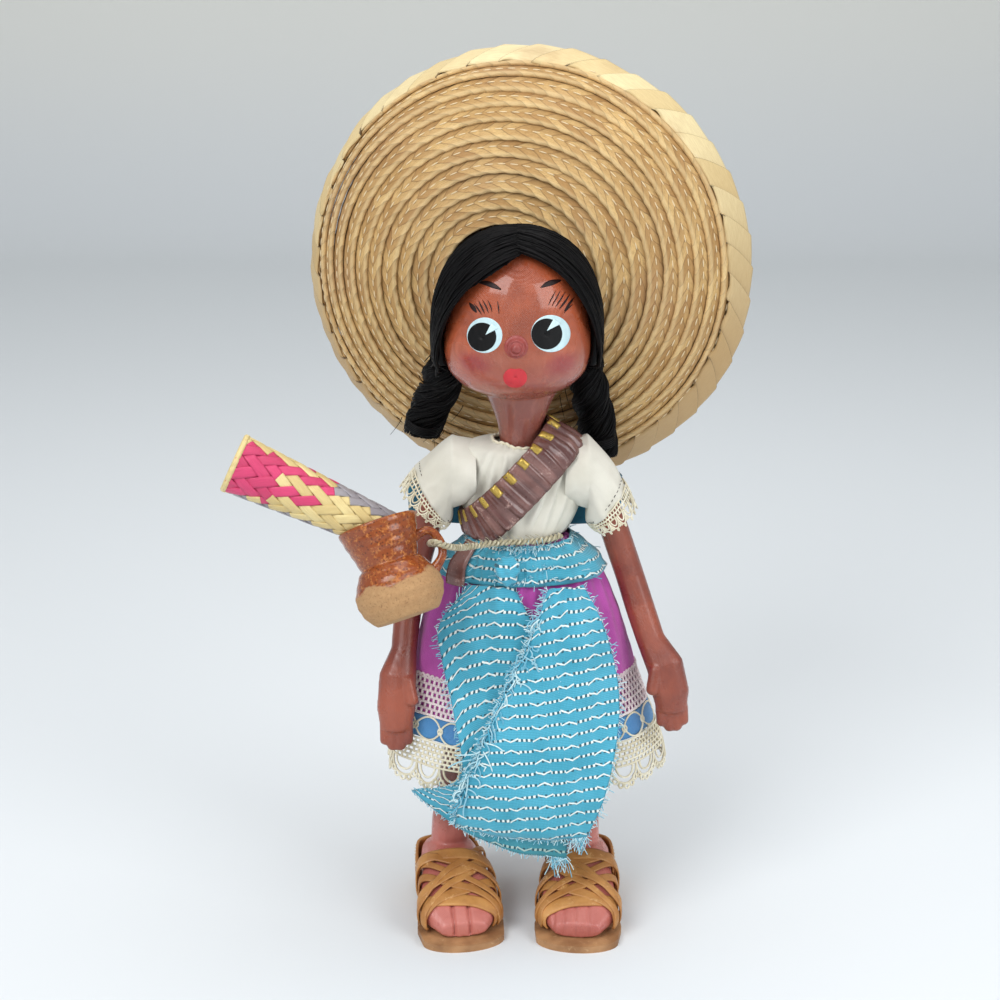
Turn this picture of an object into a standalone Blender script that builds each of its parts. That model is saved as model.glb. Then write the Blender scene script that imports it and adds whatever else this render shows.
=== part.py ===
"""A folk cloth doll with a sewn-braid sombrero, a small clay jug on a twine belt and a rolled palm mat.

Metres, +Z up. The doll stands on the soles of its sandals and looks along -Y, so its right side is at -X.
The clothes are shells over the stuffed body, one layer on the next, each from the section below it.
"""

import math

import bmesh
import bpy
from mathutils import Matrix, Vector

# Clearances
SEAM_GAP = 0.0003
LAYER_GAP = 0.0005
CUT_OVERRUN = 0.03
WELD_DISTANCE = 0.00001

# Stuffed torso
BODY_Y = 0.001
HIP_HEIGHT = 0.1
TORSO_HEIGHT = 0.0735
TORSO_TOP = HIP_HEIGHT + TORSO_HEIGHT
WAIST_DROP = 0.032
WAIST_HEIGHT = TORSO_TOP - WAIST_DROP
SHOULDER_DROP = 0.0095
SHOULDER_HEIGHT = TORSO_TOP - SHOULDER_DROP
SHOULDER_WIDTH = 0.041
CHEST_DEPTH = 0.0225
TORSO_LEVELS = 11
TORSO_SIDES = 20
# Share of the height, then of half the shoulder width and of half the chest depth
TORSO_SHARES = (
    (0.0, 0.74, 0.9),
    (0.2, 0.86, 1.08),
    (0.4, 0.76, 0.98),
    (0.57, 0.68, 0.9),
    (0.75, 0.84, 0.98),
    (0.87, 1.0, 1.0),
    (0.95, 0.98, 1.0),
    (1.0, 0.84, 0.93),
)

# Head, with the neck in one piece
HEAD_WIDTH = 0.0485
HEAD_FRONT = 0.0235
HEAD_BACK = 0.0195
NECK_HEIGHT = 0.021
CHIN_HEIGHT = TORSO_TOP + NECK_HEIGHT
HEAD_HEIGHT = 0.0517
HEAD_TOP = CHIN_HEIGHT + HEAD_HEIGHT
HEAD_X = -0.0012
HEAD_Y = -0.0045
HEAD_LEVELS = 15
HEAD_SIDES = 28
# Share of the head's height, then of its half width and of its depth
HEAD_SHARES = (
    (0.0, 0.5, 0.42),
    (0.05, 0.76, 0.66),
    (0.13, 0.94, 0.87),
    (0.24, 1.0, 0.98),
    (0.5, 0.99, 1.0),
    (0.67, 0.91, 0.96),
    (0.82, 0.74, 0.82),
    (0.93, 0.5, 0.58),
    (1.0, 0.2, 0.24),
)
NECK_RADIUS = 0.0071
NECK_Y = -0.0003
NECK_REACH = 0.007
NECK_LEVELS = 6
NECK_SIDES = 18
# Share of the neck's height, then of its radius at the foot
NECK_SHARES = ((0.0, 1.0), (0.35, 1.08), (0.7, 1.45), (0.85, 1.66), (1.0, 1.5))
NOSE_RADIUS = 0.0041
NOSE_RISE = 0.0213
NOSE_HEIGHT = CHIN_HEIGHT + NOSE_RISE
NOSE_PROUD_SHARE = 0.4
NOSE_SIDES = 12

# Hair: a cap over the skull, open over the face, and two plaits
HAIR_THICKNESS = 0.0032
HAIR_BACK_THICKNESS = 0.0015
HAIR_TOP_THICKNESS = 0.0018
HAIR_RISE = 0.009
HAIR_BOTTOM = CHIN_HEIGHT + HAIR_RISE
HAIR_FRONT_EDGE_SHARE = 0.3
# The hairline round the face, as shares of half the head's width and of its height
HAIRLINE_SHARES = (
    (-1.08, -0.3),
    (-1.08, 0.3),
    (-0.97, 0.46),
    (-0.85, 0.61),
    (-0.69, 0.7),
    (-0.48, 0.77),
    (-0.2, 0.86),
    (0.08, 0.94),
    (0.38, 0.87),
    (0.6, 0.8),
    (0.78, 0.7),
    (0.94, 0.55),
    (1.06, 0.36),
    (1.08, -0.3),
)
PLAIT_RADIUS = 0.0062
PLAIT_WAIST_SHARE = 0.78
PLAIT_END_SHARE = 0.55
PLAIT_LOBES = 7
PLAIT_BACK = 0.0215
PLAIT_TOP_Y = 0.006
PLAIT_BEND_SHARE = 0.85
# Share of the drop, then how far the plait has swung out
PLAIT_SWING_SHARES = ((0.0, 0.0), (0.08, 0.02), (0.35, 0.35), (0.7, 0.8), (1.0, 1.0))
PLAIT_STARTS = {"right": -0.0238, "left": 0.0214}
PLAIT_SWINGS = {"right": -0.0112, "left": 0.0076}
PLAIT_DROPS = {"right": 0.0335, "left": 0.0415}

# Arms, which turn on a wire through the shoulders
WIRE_RADIUS = 0.001
WIRE_BORE_GAP = 0.0004
WIRE_SPAN = 0.059
SHOULDER_X = 0.0266
ARM_RADIUS = 0.0051
ARM_SIDES = 12
FINGER_RADIUS = 0.0019
FINGER_LENGTH = 0.0105
FINGER_COUNT = 4
FINGER_SIDES = 8
FINGER_SPREAD_SHARE = 0.72
FINGER_SHARES = (0, 0.5, 0.9)
THUMB_RADIUS = 0.0023
THUMB_LENGTH = 0.0095
THUMB_ROOT_SHARE = 0.5
THUMB_SPLAY_SHARE = 0.25
# Arm stations: share of the drop, outward, forward, and half sizes as shares of the arm's radius
ARM_LENGTHS = {"right": 0.0955, "left": 0.0875}
ARM_REACH = {"right": 0.0166, "left": 0.0268}
ARM_FORWARD = {"right": 0.0168, "left": 0.0135}
ARM_SHARES = {
    "right": (
        (0.0, 0.0, 0.0, 0.98, 1.0),
        (0.1, 0.14, -0.05, 0.98, 1.0),
        (0.2, 0.34, -0.1, 0.98, 1.0),
        (0.41, 0.66, -0.12, 0.98, 1.0),
        (0.55, 0.78, 0.1, 0.92, 0.95),
        (0.66, 0.84, 0.45, 0.86, 0.86),
        (0.74, 0.96, 0.8, 1.26, 0.86),
        (0.86, 1.0, 0.96, 1.3, 0.8),
        (0.93, 1.0, 1.0, 1.06, 0.7),
    ),
    "left": (
        (0.0, 0.0, 0.0, 0.94, 1.0),
        (0.1, 0.06, -0.05, 0.96, 1.0),
        (0.25, 0.24, -0.1, 0.96, 1.0),
        (0.44, 0.45, -0.12, 0.96, 1.0),
        (0.56, 0.58, 0.1, 0.98, 0.98),
        (0.68, 0.72, 0.5, 0.96, 0.9),
        (0.77, 0.9, 0.85, 1.26, 0.88),
        (0.88, 0.98, 0.98, 1.26, 0.82),
        (0.95, 1.0, 1.0, 1.02, 0.7),
    ),
}

# Legs and feet
LEG_RADIUS = 0.0088
ANKLE_RADIUS = 0.0068
LEG_SPREAD = 0.0108
LEG_SIDES = 14
PEG_RADIUS = 0.002
PEG_DEPTH = 0.0065
NECK_PEG_REACH = 0.016
HIP_PEG_REACH = 0.009
PEG_BORE_GAP = 0.0004
PEG_SIDES = 10
FOOT_LENGTH = 0.052
FOOT_WIDTH = 0.027
INSTEP_HEIGHT = 0.0185
FOOT_INSET = 0.0026
FOOT_SIDES = 16
FOOT_LEVELS = 9
FOOT_SIDE_POWER = 0.8
FOOT_TOP_POWER = 0.7
# Share from the heel to the toes, then of half the foot's width and of the instep's height
FOOT_SHARES = (
    (0.0, 0.36, 0.5),
    (0.06, 0.6, 0.76),
    (0.2, 0.76, 0.98),
    (0.4, 0.82, 1.0),
    (0.6, 0.94, 0.82),
    (0.78, 1.0, 0.62),
    (0.92, 0.92, 0.46),
    (1.0, 0.6, 0.3),
)
ANKLE_SHARE = 0.24
# Share of the way down the leg, then how far it has come over to the ankle
LEG_PATH_SHARES = ((0.0, 0.0), (0.3, 0.36), (0.62, 0.75), (0.85, 0.97), (1.0, 1.0))
LEG_LEVELS = 6

# Sandals
SOLE_LENGTH = 0.06
SOLE_WIDTH = 0.031
SOLE_THICKNESS = 0.0026
# Where each heel stands, across and back, and how far the toes turn out in degrees
HEEL_PLACES = {"right": (-0.0285, 0.0195), "left": (0.0245, 0.0195)}
TOE_TURNS_DEG = {"right": -9.5, "left": 4.5}
SOLE_ARC_POINTS = 9
# Share from the heel to the toes and of half the sole's width
SOLE_SHARES = ((0.18, 0.74), (0.42, 0.72), (0.62, 0.93), (0.76, 1.0), (0.88, 0.94))
STRAP_THICKNESS = 0.0012
STRAP_WIDTH = 0.0046
STRAP_STEP = 0.00022
STRAP_COLUMNS = 9
STRAP_REACH_DEG = 28.0
# Place along the foot, slant along it and width,
# as shares of the foot's length, itself and the strap's width
STRAP_SHARES = (
    (0.86, -0.1, 1.15),
    (0.775, 0.07, 0.9),
    (0.69, -0.16, 1.0),
    (0.66, 0.2, 0.8),
    (0.56, 0.03, 1.25),
)
HEEL_BAND_HEIGHT = 0.0165
HEEL_BAND_REACH_SHARE = 0.4
HEEL_BAND_COLUMNS = 9

# Blouse and sleeves
CLOTH_THICKNESS = 0.0011
BLOUSE_LEVELS = 7
BLOUSE_SIDES = 28
BLOUSE_FOLDS = 7
BLOUSE_FOLD_DEPTH = 0.0007
BLOUSE_SHOULDER_SHARE = 0.93
ARMHOLE_RADIUS = 0.0088
# From and to, as shares of the shoulder's distance from the middle
ARMHOLE_SHARES = (0.55, 2.0)
SLEEVE_X = 0.0232
SLEEVE_RADIUS = 0.0122
SLEEVE_SIDES = 24
SLEEVE_FOLDS = 6
SLEEVE_FOLD_DEPTH = 0.0006
SLEEVE_LEVELS = 4
SLEEVE_LACE_SHARE = 0.38
LACE_THICKNESS = 0.0008
# The hem's top and bottom: outward from the seam and above the shoulder
SLEEVE_HEMS = {
    "right": ((0.0125, 0.0003), (0.0009, -0.0172)),
    "left": ((0.0126, -0.0045), (0.0009, -0.0178)),
}

# Skirt and its trims
SKIRT_SEAT_DROP = 0.0007
SKIRT_TOP = WAIST_HEIGHT - SKIRT_SEAT_DROP
SKIRT_LENGTH = 0.0863
SKIRT_HEM = SKIRT_TOP - SKIRT_LENGTH
SKIRT_WIDTH = 0.098
SKIRT_DEPTH = 0.058
SKIRT_X = 0.0022
SKIRT_Y = 0.0032
SKIRT_FOLDS = 9
SKIRT_FOLD_DEPTH = 0.0016
SKIRT_SIDES = 45
HEM_LACE_WIDTH = 0.016
RIBBON_WIDTH = 0.008
CROCHET_WIDTH = 0.014
RIBBON_BOTTOM = SKIRT_HEM + HEM_LACE_WIDTH
RIBBON_TOP = RIBBON_BOTTOM + RIBBON_WIDTH
CROCHET_TOP = RIBBON_TOP + CROCHET_WIDTH
HEM_SCALLOPS = 12
HEM_SCALLOP_DEPTH = 0.0016
# Share of the height below the waist, then how far the half width and half depth have opened
SKIRT_SHARES = (
    (0.0, 0.0, 0.0),
    (0.06, 0.22, 0.18),
    (0.114, 0.33, 0.29),
    (0.23, 0.45, 0.42),
    (0.345, 0.55, 0.53),
    (0.53, 0.67, 0.67),
    (0.7, 0.8, 0.8),
    (0.91, 0.97, 0.96),
    (1.0, 1.0, 1.0),
)
TRIM_SIDES = 45

# Woven shawl tied round the waist, and the cloth behind the shoulders
WOVEN_THICKNESS = 0.0012
WAIST_BAND_WIDTH = 0.012
WAIST_BAND_TOP = WAIST_HEIGHT - SEAM_GAP
WAIST_BAND_BOTTOM = WAIST_BAND_TOP - WAIST_BAND_WIDTH
WAIST_BAND_FOLDS = 13
WAIST_BAND_FOLD_DEPTH = 0.0004
KNOT_WIDTH = 0.0085
KNOT_HEIGHT = 0.0105
KNOT_DEPTH = 0.005
KNOT_X = -0.0045
KNOT_SAMPLES = 9
KNOT_SIDES = 12
KNOT_LEVELS = 8
KNOT_SEAT_SHARE = 0.8
PANEL_COLUMNS = 12
PANEL_ROWS = 11
PANEL_LAYERS = {"shawl_back_panel": 0.0, "shawl_front_panel": 0.0026}
PANEL_EDGE_DEPTH_SHARE = 0.16
PANEL_FOLD_DEPTH = 0.0009
PANEL_FOLDS = 3
# Left and right edges, from the bottom up, as places across and down from the waist band
PANEL_EDGES = {
    "shawl_back_panel": (
        (
            (-0.038, 0.0772),
            (-0.0208, 0.0672),
            (-0.0228, 0.0462),
            (-0.0268, 0.0282),
            (-0.0278, 0.0155),
            (-0.0178, 0.0004),
        ),
        (
            (0.0165, 0.0977),
            (0.0165, 0.0672),
            (0.015, 0.0462),
            (0.0105, 0.0282),
            (0.0055, 0.0155),
            (-0.0022, 0.0004),
        ),
    ),
    "shawl_front_panel": (
        (
            (-0.0228, 0.0852),
            (-0.0205, 0.0732),
            (-0.0122, 0.0522),
            (-0.0046, 0.0347),
            (0.0035, 0.0167),
            (0.0092, 0.0004),
        ),
        (
            (0.0232, 0.0887),
            (0.0296, 0.0727),
            (0.034, 0.0512),
            (0.0338, 0.0347),
            (0.0288, 0.0157),
            (0.0216, 0.0004),
        ),
    ),
}
PANEL_SAGS = {"shawl_back_panel": 0.0085, "shawl_front_panel": 0.0015}
BACK_CLOTH_WIDTH = 0.0758
BACK_CLOTH_HEIGHT = 0.0205
BACK_CLOTH_X = -0.0016
BACK_CLOTH_DROP = 0.015
BACK_CLOTH_Z = SHOULDER_HEIGHT - BACK_CLOTH_DROP
BACK_CLOTH_COLUMNS = 14
BACK_CLOTH_ROWS = 4
BACK_CLOTH_CORNER_POWER = 8

# Ribbed cartridge belt over the left shoulder
BELT_WIDTH = 0.0148
BELT_THICKNESS = 0.0016
BELT_RIB_HEIGHT = 0.0008
BELT_RIBS = 22
BELT_STEPS_PER_RIB = 3
BELT_ACROSS = 4
BELT_CENTRE_X = -0.002
BELT_CENTRE_DROP = 0.0035
BELT_CENTRE_Z = SHOULDER_HEIGHT - BELT_CENTRE_DROP
BELT_TILT_DEG = 47.0
BELT_REACH = 0.045
BELT_SEARCH_STEPS = 150
BELT_SMOOTHINGS = 3
BELT_END_LIFT = 0.0012

# Waist twine, its points given across, back and above the waist
TWINE_RADIUS = 0.0012
TWINE_POINTS = 34
TWINE_TO_JUG = (
    (0.0142, -0.0074, 0.0023),
    (0.0105, -0.0107, 0.0022),
    (0.004, -0.0134, 0.0021),
    (-0.003, -0.0145, 0.0021),
    (-0.009, -0.0156, 0.0022),
    (-0.0155, -0.0192, 0.0025),
    (-0.0203, -0.0262, 0.0044),
    (-0.0241, -0.0334, 0.0074),
    (-0.028, -0.0346, 0.0092),
)
TWINE_TAIL = (
    (-0.0302, -0.0262, 0.0058),
    (-0.0276, -0.0243, 0.0048),
    (-0.0245, -0.0236, 0.0043),
)

# Clay jug: distances along its own axis from the base, and radii
JUG_HEIGHT = 0.032
JUG_BELLY_RADIUS = 0.0146
# Share of the jug's height, then of its belly's radius
JUG_SHARES = (
    (0.0, 0.719),
    (0.1, 0.906),
    (0.3, 1.0),
    (0.48, 0.853),
    (0.6, 0.705),
    (0.72, 0.762),
    (1.0, 0.932),
)
JUG_WALL = 0.0018
# Across, back and below the waist
JUG_BASE_PLACE = (-0.037, -0.0395, -0.0152)
JUG_LEAN_LEFT_DEG = 20.7
JUG_LEAN_BACK_DEG = 23.4
JUG_STEPS = 26
JUG_FLOOR = 0.0022
JUG_LEVELS = 11
JUG_HANDLE_RADIUS = 0.0014
# Along the jug's height and out from its axis as shares of the belly's radius
JUG_HANDLE_SHARES = (
    (0.745, 0.72),
    (0.77, 0.98),
    (0.72, 1.14),
    (0.6, 1.23),
    (0.48, 1.18),
    (0.385, 0.93),
)
JUG_PIVOT_SHARES = (0.675, 0.93)

# Rolled palm mat, standing in the jug's mouth and leaning on its rim
ROLL_LENGTH = 0.058
ROLL_OUTER_RADIUS = 0.0094
ROLL_INNER_RADIUS = 0.0062
ROLL_WALL = 0.001
ROLL_INSIDE = 0.0075
ROLL_RISE_DEG = 25.6
ROLL_STEPS = 24
ROLL_RIM_SAMPLES = 48

# Sombrero: a spiral of sewn braid, its crown pointing back
HAT_RING_RADIUS = 0.0213
HAT_SLANT = 0.0697
HAT_BINDING_WIDTH = 0.0128
HAT_THICKNESS = 0.0017
HAT_BINDING_THICKNESS = 0.0022
HAT_X = -0.0044
HAT_DROP = 0.0199
HAT_Z = HEAD_TOP - HAT_DROP
HAT_TILT_UP_DEG = 7.9
HAT_TURN_DEG = 7.5
HAT_INNER_SLOPE_DEG = 7.5
HAT_OUTER_SLOPE_DEG = 66.6
HAT_SIDE_SLOPE_DEG = -10.7
HAT_TOP_SLOPE_DEG = 20.9
HAT_CURL_POWER = 1.57
HAT_SIDES = 44
HAT_STEPS = 24
HAT_RINGS = 7
HAT_BINDING_RINGS = 3
HAT_SEAT_SAMPLES = 4
HAT_SEAT_SHARE = 0.25
CROWN_HEIGHT = 0.042
CROWN_STEPS = 24
# Share of the crown's height, then of its radius at the brim
CROWN_SHARES = (
    (1.0, 0.0),
    (0.99, 0.3),
    (0.94, 0.52),
    (0.84, 0.68),
    (0.6, 0.82),
    (0.3, 0.92),
    (0.0, 1.0),
)

# Colour as red, green, blue in linear light, then roughness
FINISHES = {
    "cloth_skin": ((0.3, 0.075, 0.045), 0.35),
    "hair": ((0.006, 0.006, 0.007), 0.55),
    "muslin": ((0.75, 0.72, 0.62), 0.9),
    "magenta_cloth": ((0.34, 0.035, 0.27), 0.75),
    "cotton_lace": ((0.78, 0.74, 0.62), 0.9),
    "satin_ribbon": ((0.03, 0.2, 0.45), 0.4),
    "woven_blue": ((0.06, 0.36, 0.52), 0.85),
    "teal_cloth": ((0.015, 0.16, 0.25), 0.8),
    "leather_belt": ((0.1, 0.035, 0.03), 0.35),
    "twine": ((0.5, 0.48, 0.36), 0.9),
    "clay": ((0.2, 0.045, 0.018), 0.3),
    "palm_mat": ((0.7, 0.55, 0.28), 0.7),
    "palm_straw": ((0.48, 0.3, 0.12), 0.75),
    "leather": ((0.5, 0.24, 0.08), 0.5),
    "sole_leather": ((0.35, 0.2, 0.09), 0.7),
    "wire": ((0.4, 0.4, 0.42), 0.4),
    "wood_peg": ((0.5, 0.33, 0.17), 0.7),
}
METAL_FINISHES = ("wire",)
SIDES = {"right": -1, "left": 1}
TIP_SHARE = 0.45
FULL_TURN = 2 * math.pi
UP = Vector((0, 0, 1))


def clear_scene():
    """Remove every object that the scene starts with."""
    for thing in list(bpy.data.objects):
        bpy.data.objects.remove(thing, do_unlink=True)


def make_collection(name, hidden):
    """A collection under the scene's own, left out of renders when hidden."""
    group = bpy.data.collections.new(name)
    bpy.context.scene.collection.children.link(group)
    group.hide_render = hidden
    return group


def make_material(name):
    """The Principled material of one finish."""
    colour, roughness = FINISHES[name]
    made = bpy.data.materials.new(name)
    made.use_nodes = True
    shader = made.node_tree.nodes["Principled BSDF"]
    shader.inputs["Base Color"].default_value = (*colour, 1)
    shader.inputs["Roughness"].default_value = roughness
    shader.inputs["Metallic"].default_value = float(name in METAL_FINISHES)
    made.diffuse_color = (*colour, 1)
    return made


clear_scene()
PARTS = make_collection("folk_doll", False)
CUTTERS = make_collection("cutters", True)
MATERIALS = {name: make_material(name) for name in FINISHES}
DOLL = bpy.data.objects.new("doll", None)
PARTS.objects.link(DOLL)


def read_table(table, share):
    """Smooth values at one share, from rows that each hold a share and then their values."""
    stops = [row[0] for row in table]
    last = len(table) - 1
    index = min(max(sum(stop <= share for stop in stops) - 1, 0), last - 1)
    before, after = max(index - 1, 0), min(index + 2, last)
    span = stops[index + 1] - stops[index]
    part = min(max((share - stops[index]) / span, 0), 1)
    values = []
    for a, b, c, d in zip(*(table[row][1:] for row in (before, index, index + 1, after))):
        leave = (c - a) * span / (stops[index + 1] - stops[before])
        arrive = (d - b) * span / (stops[after] - stops[index])
        values.append(
            b
            + leave * part
            + (3 * (c - b) - 2 * leave - arrive) * part**2
            + (2 * (b - c) + leave + arrive) * part**3
        )
    return values


def spread(count, start=0.0, end=1.0):
    """Evenly spaced values from start to end, both included."""
    return [start + (end - start) * step / (count - 1) for step in range(count)]


def smooth_route(points, count):
    """Evenly counted points on a smooth curve through the given ones."""
    table = [(place, *point) for place, point in enumerate(points)]
    return [Vector(read_table(table, place)) for place in spread(count, 0, len(points) - 1)]


def add_object(name, mesh, finish=None):
    """Put a mesh or curve in the scene: a part with its material, or a cutter without one."""
    made = bpy.data.objects.new(name, mesh)
    made.parent = DOLL
    if finish:
        PARTS.objects.link(made)
        mesh.materials.append(MATERIALS[finish])
    else:
        CUTTERS.objects.link(made)
        made.hide_render = True
        made.display_type = "WIRE"
    return made


def finish_mesh(name, shape, mesh_smooth=True):
    """Turn a bmesh into a mesh, shaded smooth between its sharp edges."""
    mesh = bpy.data.meshes.new(name)
    shape.to_mesh(mesh)
    shape.free()
    if mesh_smooth:
        mesh.shade_smooth()
        mesh.set_sharp_from_angle(angle=math.radians(45))
    return mesh


def grid_mesh(name, rows, closed_around=True, capped=False):
    """A skin over rows of points; its normals face out where columns turn about the rows' direction."""
    shape = bmesh.new()
    made = [[shape.verts.new(point) for point in row] for row in rows]
    columns = len(rows[0])
    for below, above in zip(made, made[1:]):
        for column in range(columns if closed_around else columns - 1):
            side = (column + 1) % columns
            shape.faces.new((below[column], below[side], above[side], above[column]))
    if capped:
        shape.faces.new(made[0])
        shape.faces.new(made[-1])
        bmesh.ops.recalc_face_normals(shape, faces=shape.faces)
    return finish_mesh(name, shape)


def add_shell(name, rows, wall, finish, closed_around=True):
    """An open skin thickened outwards by its wall."""
    made = add_object(name, grid_mesh(name, rows, closed_around), finish)
    solid = made.modifiers.new("Wall", "SOLIDIFY")
    solid.thickness = wall
    solid.offset = 1
    return made


def add_tube(name, points, radius, finish=None, shares=None, resolution=2):
    """A round bar along points, whose radius may swell by one share at each."""
    curve = bpy.data.curves.new(name, "CURVE")
    curve.dimensions = "3D"
    curve.bevel_depth = radius
    curve.bevel_resolution = resolution
    curve.use_fill_caps = True
    spline = curve.splines.new("POLY")
    spline.points.add(len(points) - 1)
    for place, point in enumerate(points):
        spline.points[place].co = (*point, 1)
        spline.points[place].radius = shares[place] if shares else 1
        spline.points[place].tilt = 0
    return add_object(name, curve, finish)


def tube_to_mesh(tube, finish=None):
    """Replace a curve object by its welded mesh, so that a Boolean can use it."""
    mesh = bpy.data.meshes.new_from_object(tube.evaluated_get(bpy.context.evaluated_depsgraph_get()))
    shape = bmesh.new()
    shape.from_mesh(mesh)
    bmesh.ops.remove_doubles(shape, verts=shape.verts, dist=WELD_DISTANCE)
    bmesh.ops.recalc_face_normals(shape, faces=shape.faces)
    shape.to_mesh(mesh)
    shape.free()
    name = tube.name
    bpy.data.objects.remove(tube, do_unlink=True)
    return add_object(name, mesh, finish)


def boolean(target, tool, operation):
    """Cut a tool out of the target, or join the two."""
    step = target.modifiers.new(operation.title(), "BOOLEAN")
    step.operation = operation
    step.object = tool


def rod_between(name, start, end, radius, sides, finish=None):
    """A straight round bar between two places."""
    start, end = Vector(start), Vector(end)
    shape = bmesh.new()
    bmesh.ops.create_cone(
        shape, cap_ends=True, segments=sides, radius1=radius, radius2=radius, depth=(end - start).length
    )
    turn = (end - start).to_track_quat("Z", "Y").to_matrix().to_4x4()
    shape.transform(Matrix.Translation((start + end) / 2) @ turn)
    return add_object(name, finish_mesh(name, shape), finish)


def limb_rows(stations, sides, axis_hint):
    """Rings square to a path, from its centres and two half sizes at each."""
    rows = []
    for place, (centre, half_width, half_depth) in enumerate(stations):
        before = stations[max(place - 1, 0)][0]
        after = stations[min(place + 1, len(stations) - 1)][0]
        along = (after - before).normalized()
        across = along.cross(axis_hint).normalized()
        deep = across.cross(along)
        rows.append(
            [
                centre + across * half_width * math.cos(turn) + deep * half_depth * math.sin(turn)
                for turn in spread(sides + 1, 0, FULL_TURN)[:-1]
            ]
        )
    return rows


def add_limb(name, stations, sides, axis_hint, finish=None):
    """A closed, swelling bar along a path, its two ends rounded off."""
    first, last = stations[0], stations[-1]
    lead = (first[0] - stations[1][0]).normalized() * min(first[1], first[2])
    tail = (last[0] - stations[-2][0]).normalized() * min(last[1], last[2])
    rounded = [(first[0] + lead * TIP_SHARE, first[1] * TIP_SHARE, first[2] * TIP_SHARE)]
    rounded += stations
    rounded.append((last[0] + tail * TIP_SHARE, last[1] * TIP_SHARE, last[2] * TIP_SHARE))
    rows = limb_rows(rounded, sides, axis_hint)
    return add_object(name, grid_mesh(name, rows, capped=True), finish)


def add_pivot(name, place):
    """An empty that carries a moving piece, on its joint's axis."""
    pivot = bpy.data.objects.new(name, None)
    PARTS.objects.link(pivot)
    pivot.parent = DOLL
    pivot.location = place
    return pivot


def hang_from(thing, pivot):
    """Parent a piece that was made in the doll's frame to a pivot."""
    thing.parent = pivot
    thing.matrix_parent_inverse = Matrix.Translation(-pivot.location)


def oval(centre_x, centre_y, height, half_width, half_depth, sides, ripple=None):
    """A level ring of points, counter-clockwise from above, whose size a ripple may change."""
    points = []
    for turn in spread(sides + 1, 0, FULL_TURN)[:-1]:
        swell = ripple(turn) if ripple else 0
        points.append(
            Vector(
                (
                    centre_x + (half_width + swell) * math.cos(turn),
                    centre_y + (half_depth + swell) * math.sin(turn),
                    height,
                )
            )
        )
    return points


def torso_section(height):
    """Half width and half depth of the stuffed torso at one height."""
    share = (height - HIP_HEIGHT) / (TORSO_TOP - HIP_HEIGHT)
    wide, deep = read_table(TORSO_SHARES, min(max(share, 0), 1))
    return wide * SHOULDER_WIDTH / 2, deep * CHEST_DEPTH / 2


def build_torso():
    """The stuffed torso, bored for the shoulder wire, the neck peg and the two hip pegs."""
    rows = [
        oval(0, BODY_Y, height, *torso_section(height), TORSO_SIDES)
        for height in spread(TORSO_LEVELS, HIP_HEIGHT, TORSO_TOP)
    ]
    torso = add_object("torso", grid_mesh("torso", rows, capped=True), "cloth_skin")
    bore = PEG_RADIUS + PEG_BORE_GAP
    across = Vector((SHOULDER_WIDTH, 0, 0))
    shoulders = Vector((0, BODY_Y, SHOULDER_HEIGHT))
    wire_bore = rod_between(
        "wire_bore", shoulders - across, shoulders + across, WIRE_RADIUS + WIRE_BORE_GAP, PEG_SIDES
    )
    boolean(torso, wire_bore, "DIFFERENCE")
    neck = Vector((0, NECK_Y, TORSO_TOP))
    neck_bore = rod_between(
        "torso_neck_bore", neck - UP * (PEG_DEPTH + SEAM_GAP), neck + UP * CUT_OVERRUN, bore, PEG_SIDES
    )
    boolean(torso, neck_bore, "DIFFERENCE")
    for side, sign in SIDES.items():
        hip = Vector((sign * LEG_SPREAD, BODY_Y, HIP_HEIGHT))
        hip_bore = rod_between(
            f"torso_hip_bore_{side}",
            hip - UP * CUT_OVERRUN,
            hip + UP * (PEG_DEPTH + SEAM_GAP),
            bore,
            PEG_SIDES,
        )
        boolean(torso, hip_bore, "DIFFERENCE")
        reach = UP * (HIP_PEG_REACH - SEAM_GAP)
        start, end = hip - reach, hip + UP * PEG_DEPTH
        rod_between(f"hip_peg_{side}", start, end, PEG_RADIUS, PEG_SIDES, "wood_peg")
    rod_between(
        "neck_peg",
        neck - UP * PEG_DEPTH,
        neck + UP * (NECK_PEG_REACH - SEAM_GAP),
        PEG_RADIUS,
        PEG_SIDES,
        "wood_peg",
    )
    half_wire = Vector((WIRE_SPAN / 2, 0, 0))
    start, end = shoulders - half_wire, shoulders + half_wire
    rod_between("shoulder_wire", start, end, WIRE_RADIUS, PEG_SIDES, "wire")


def head_section(height):
    """Half width, front depth and back depth of the head at one height."""
    share = (height - CHIN_HEIGHT) / (HEAD_TOP - CHIN_HEIGHT)
    wide, deep = read_table(HEAD_SHARES, min(max(share, 0), 1))
    return wide * HEAD_WIDTH / 2, deep * HEAD_FRONT, deep * HEAD_BACK


def head_ring(height, level, grow=0.0, grow_back=0.0):
    """The head's outline at one height, grown by a layer over it, drawn at its own level."""
    half_width, front, back = head_section(height)
    points = []
    for turn in spread(HEAD_SIDES + 1, 0, FULL_TURN)[:-1]:
        depth = back + grow_back if math.sin(turn) > 0 else front + grow
        points.append(
            Vector(
                (
                    HEAD_X + (half_width + grow) * math.cos(turn),
                    HEAD_Y + depth * math.sin(turn),
                    level,
                )
            )
        )
    return points


def neck_radius(height):
    """Radius of the neck at one height."""
    foot = TORSO_TOP + SEAM_GAP
    share = (height - foot) / (CHIN_HEIGHT + NECK_REACH - foot)
    return read_table(NECK_SHARES, min(max(share, 0), 1))[0] * NECK_RADIUS


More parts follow.
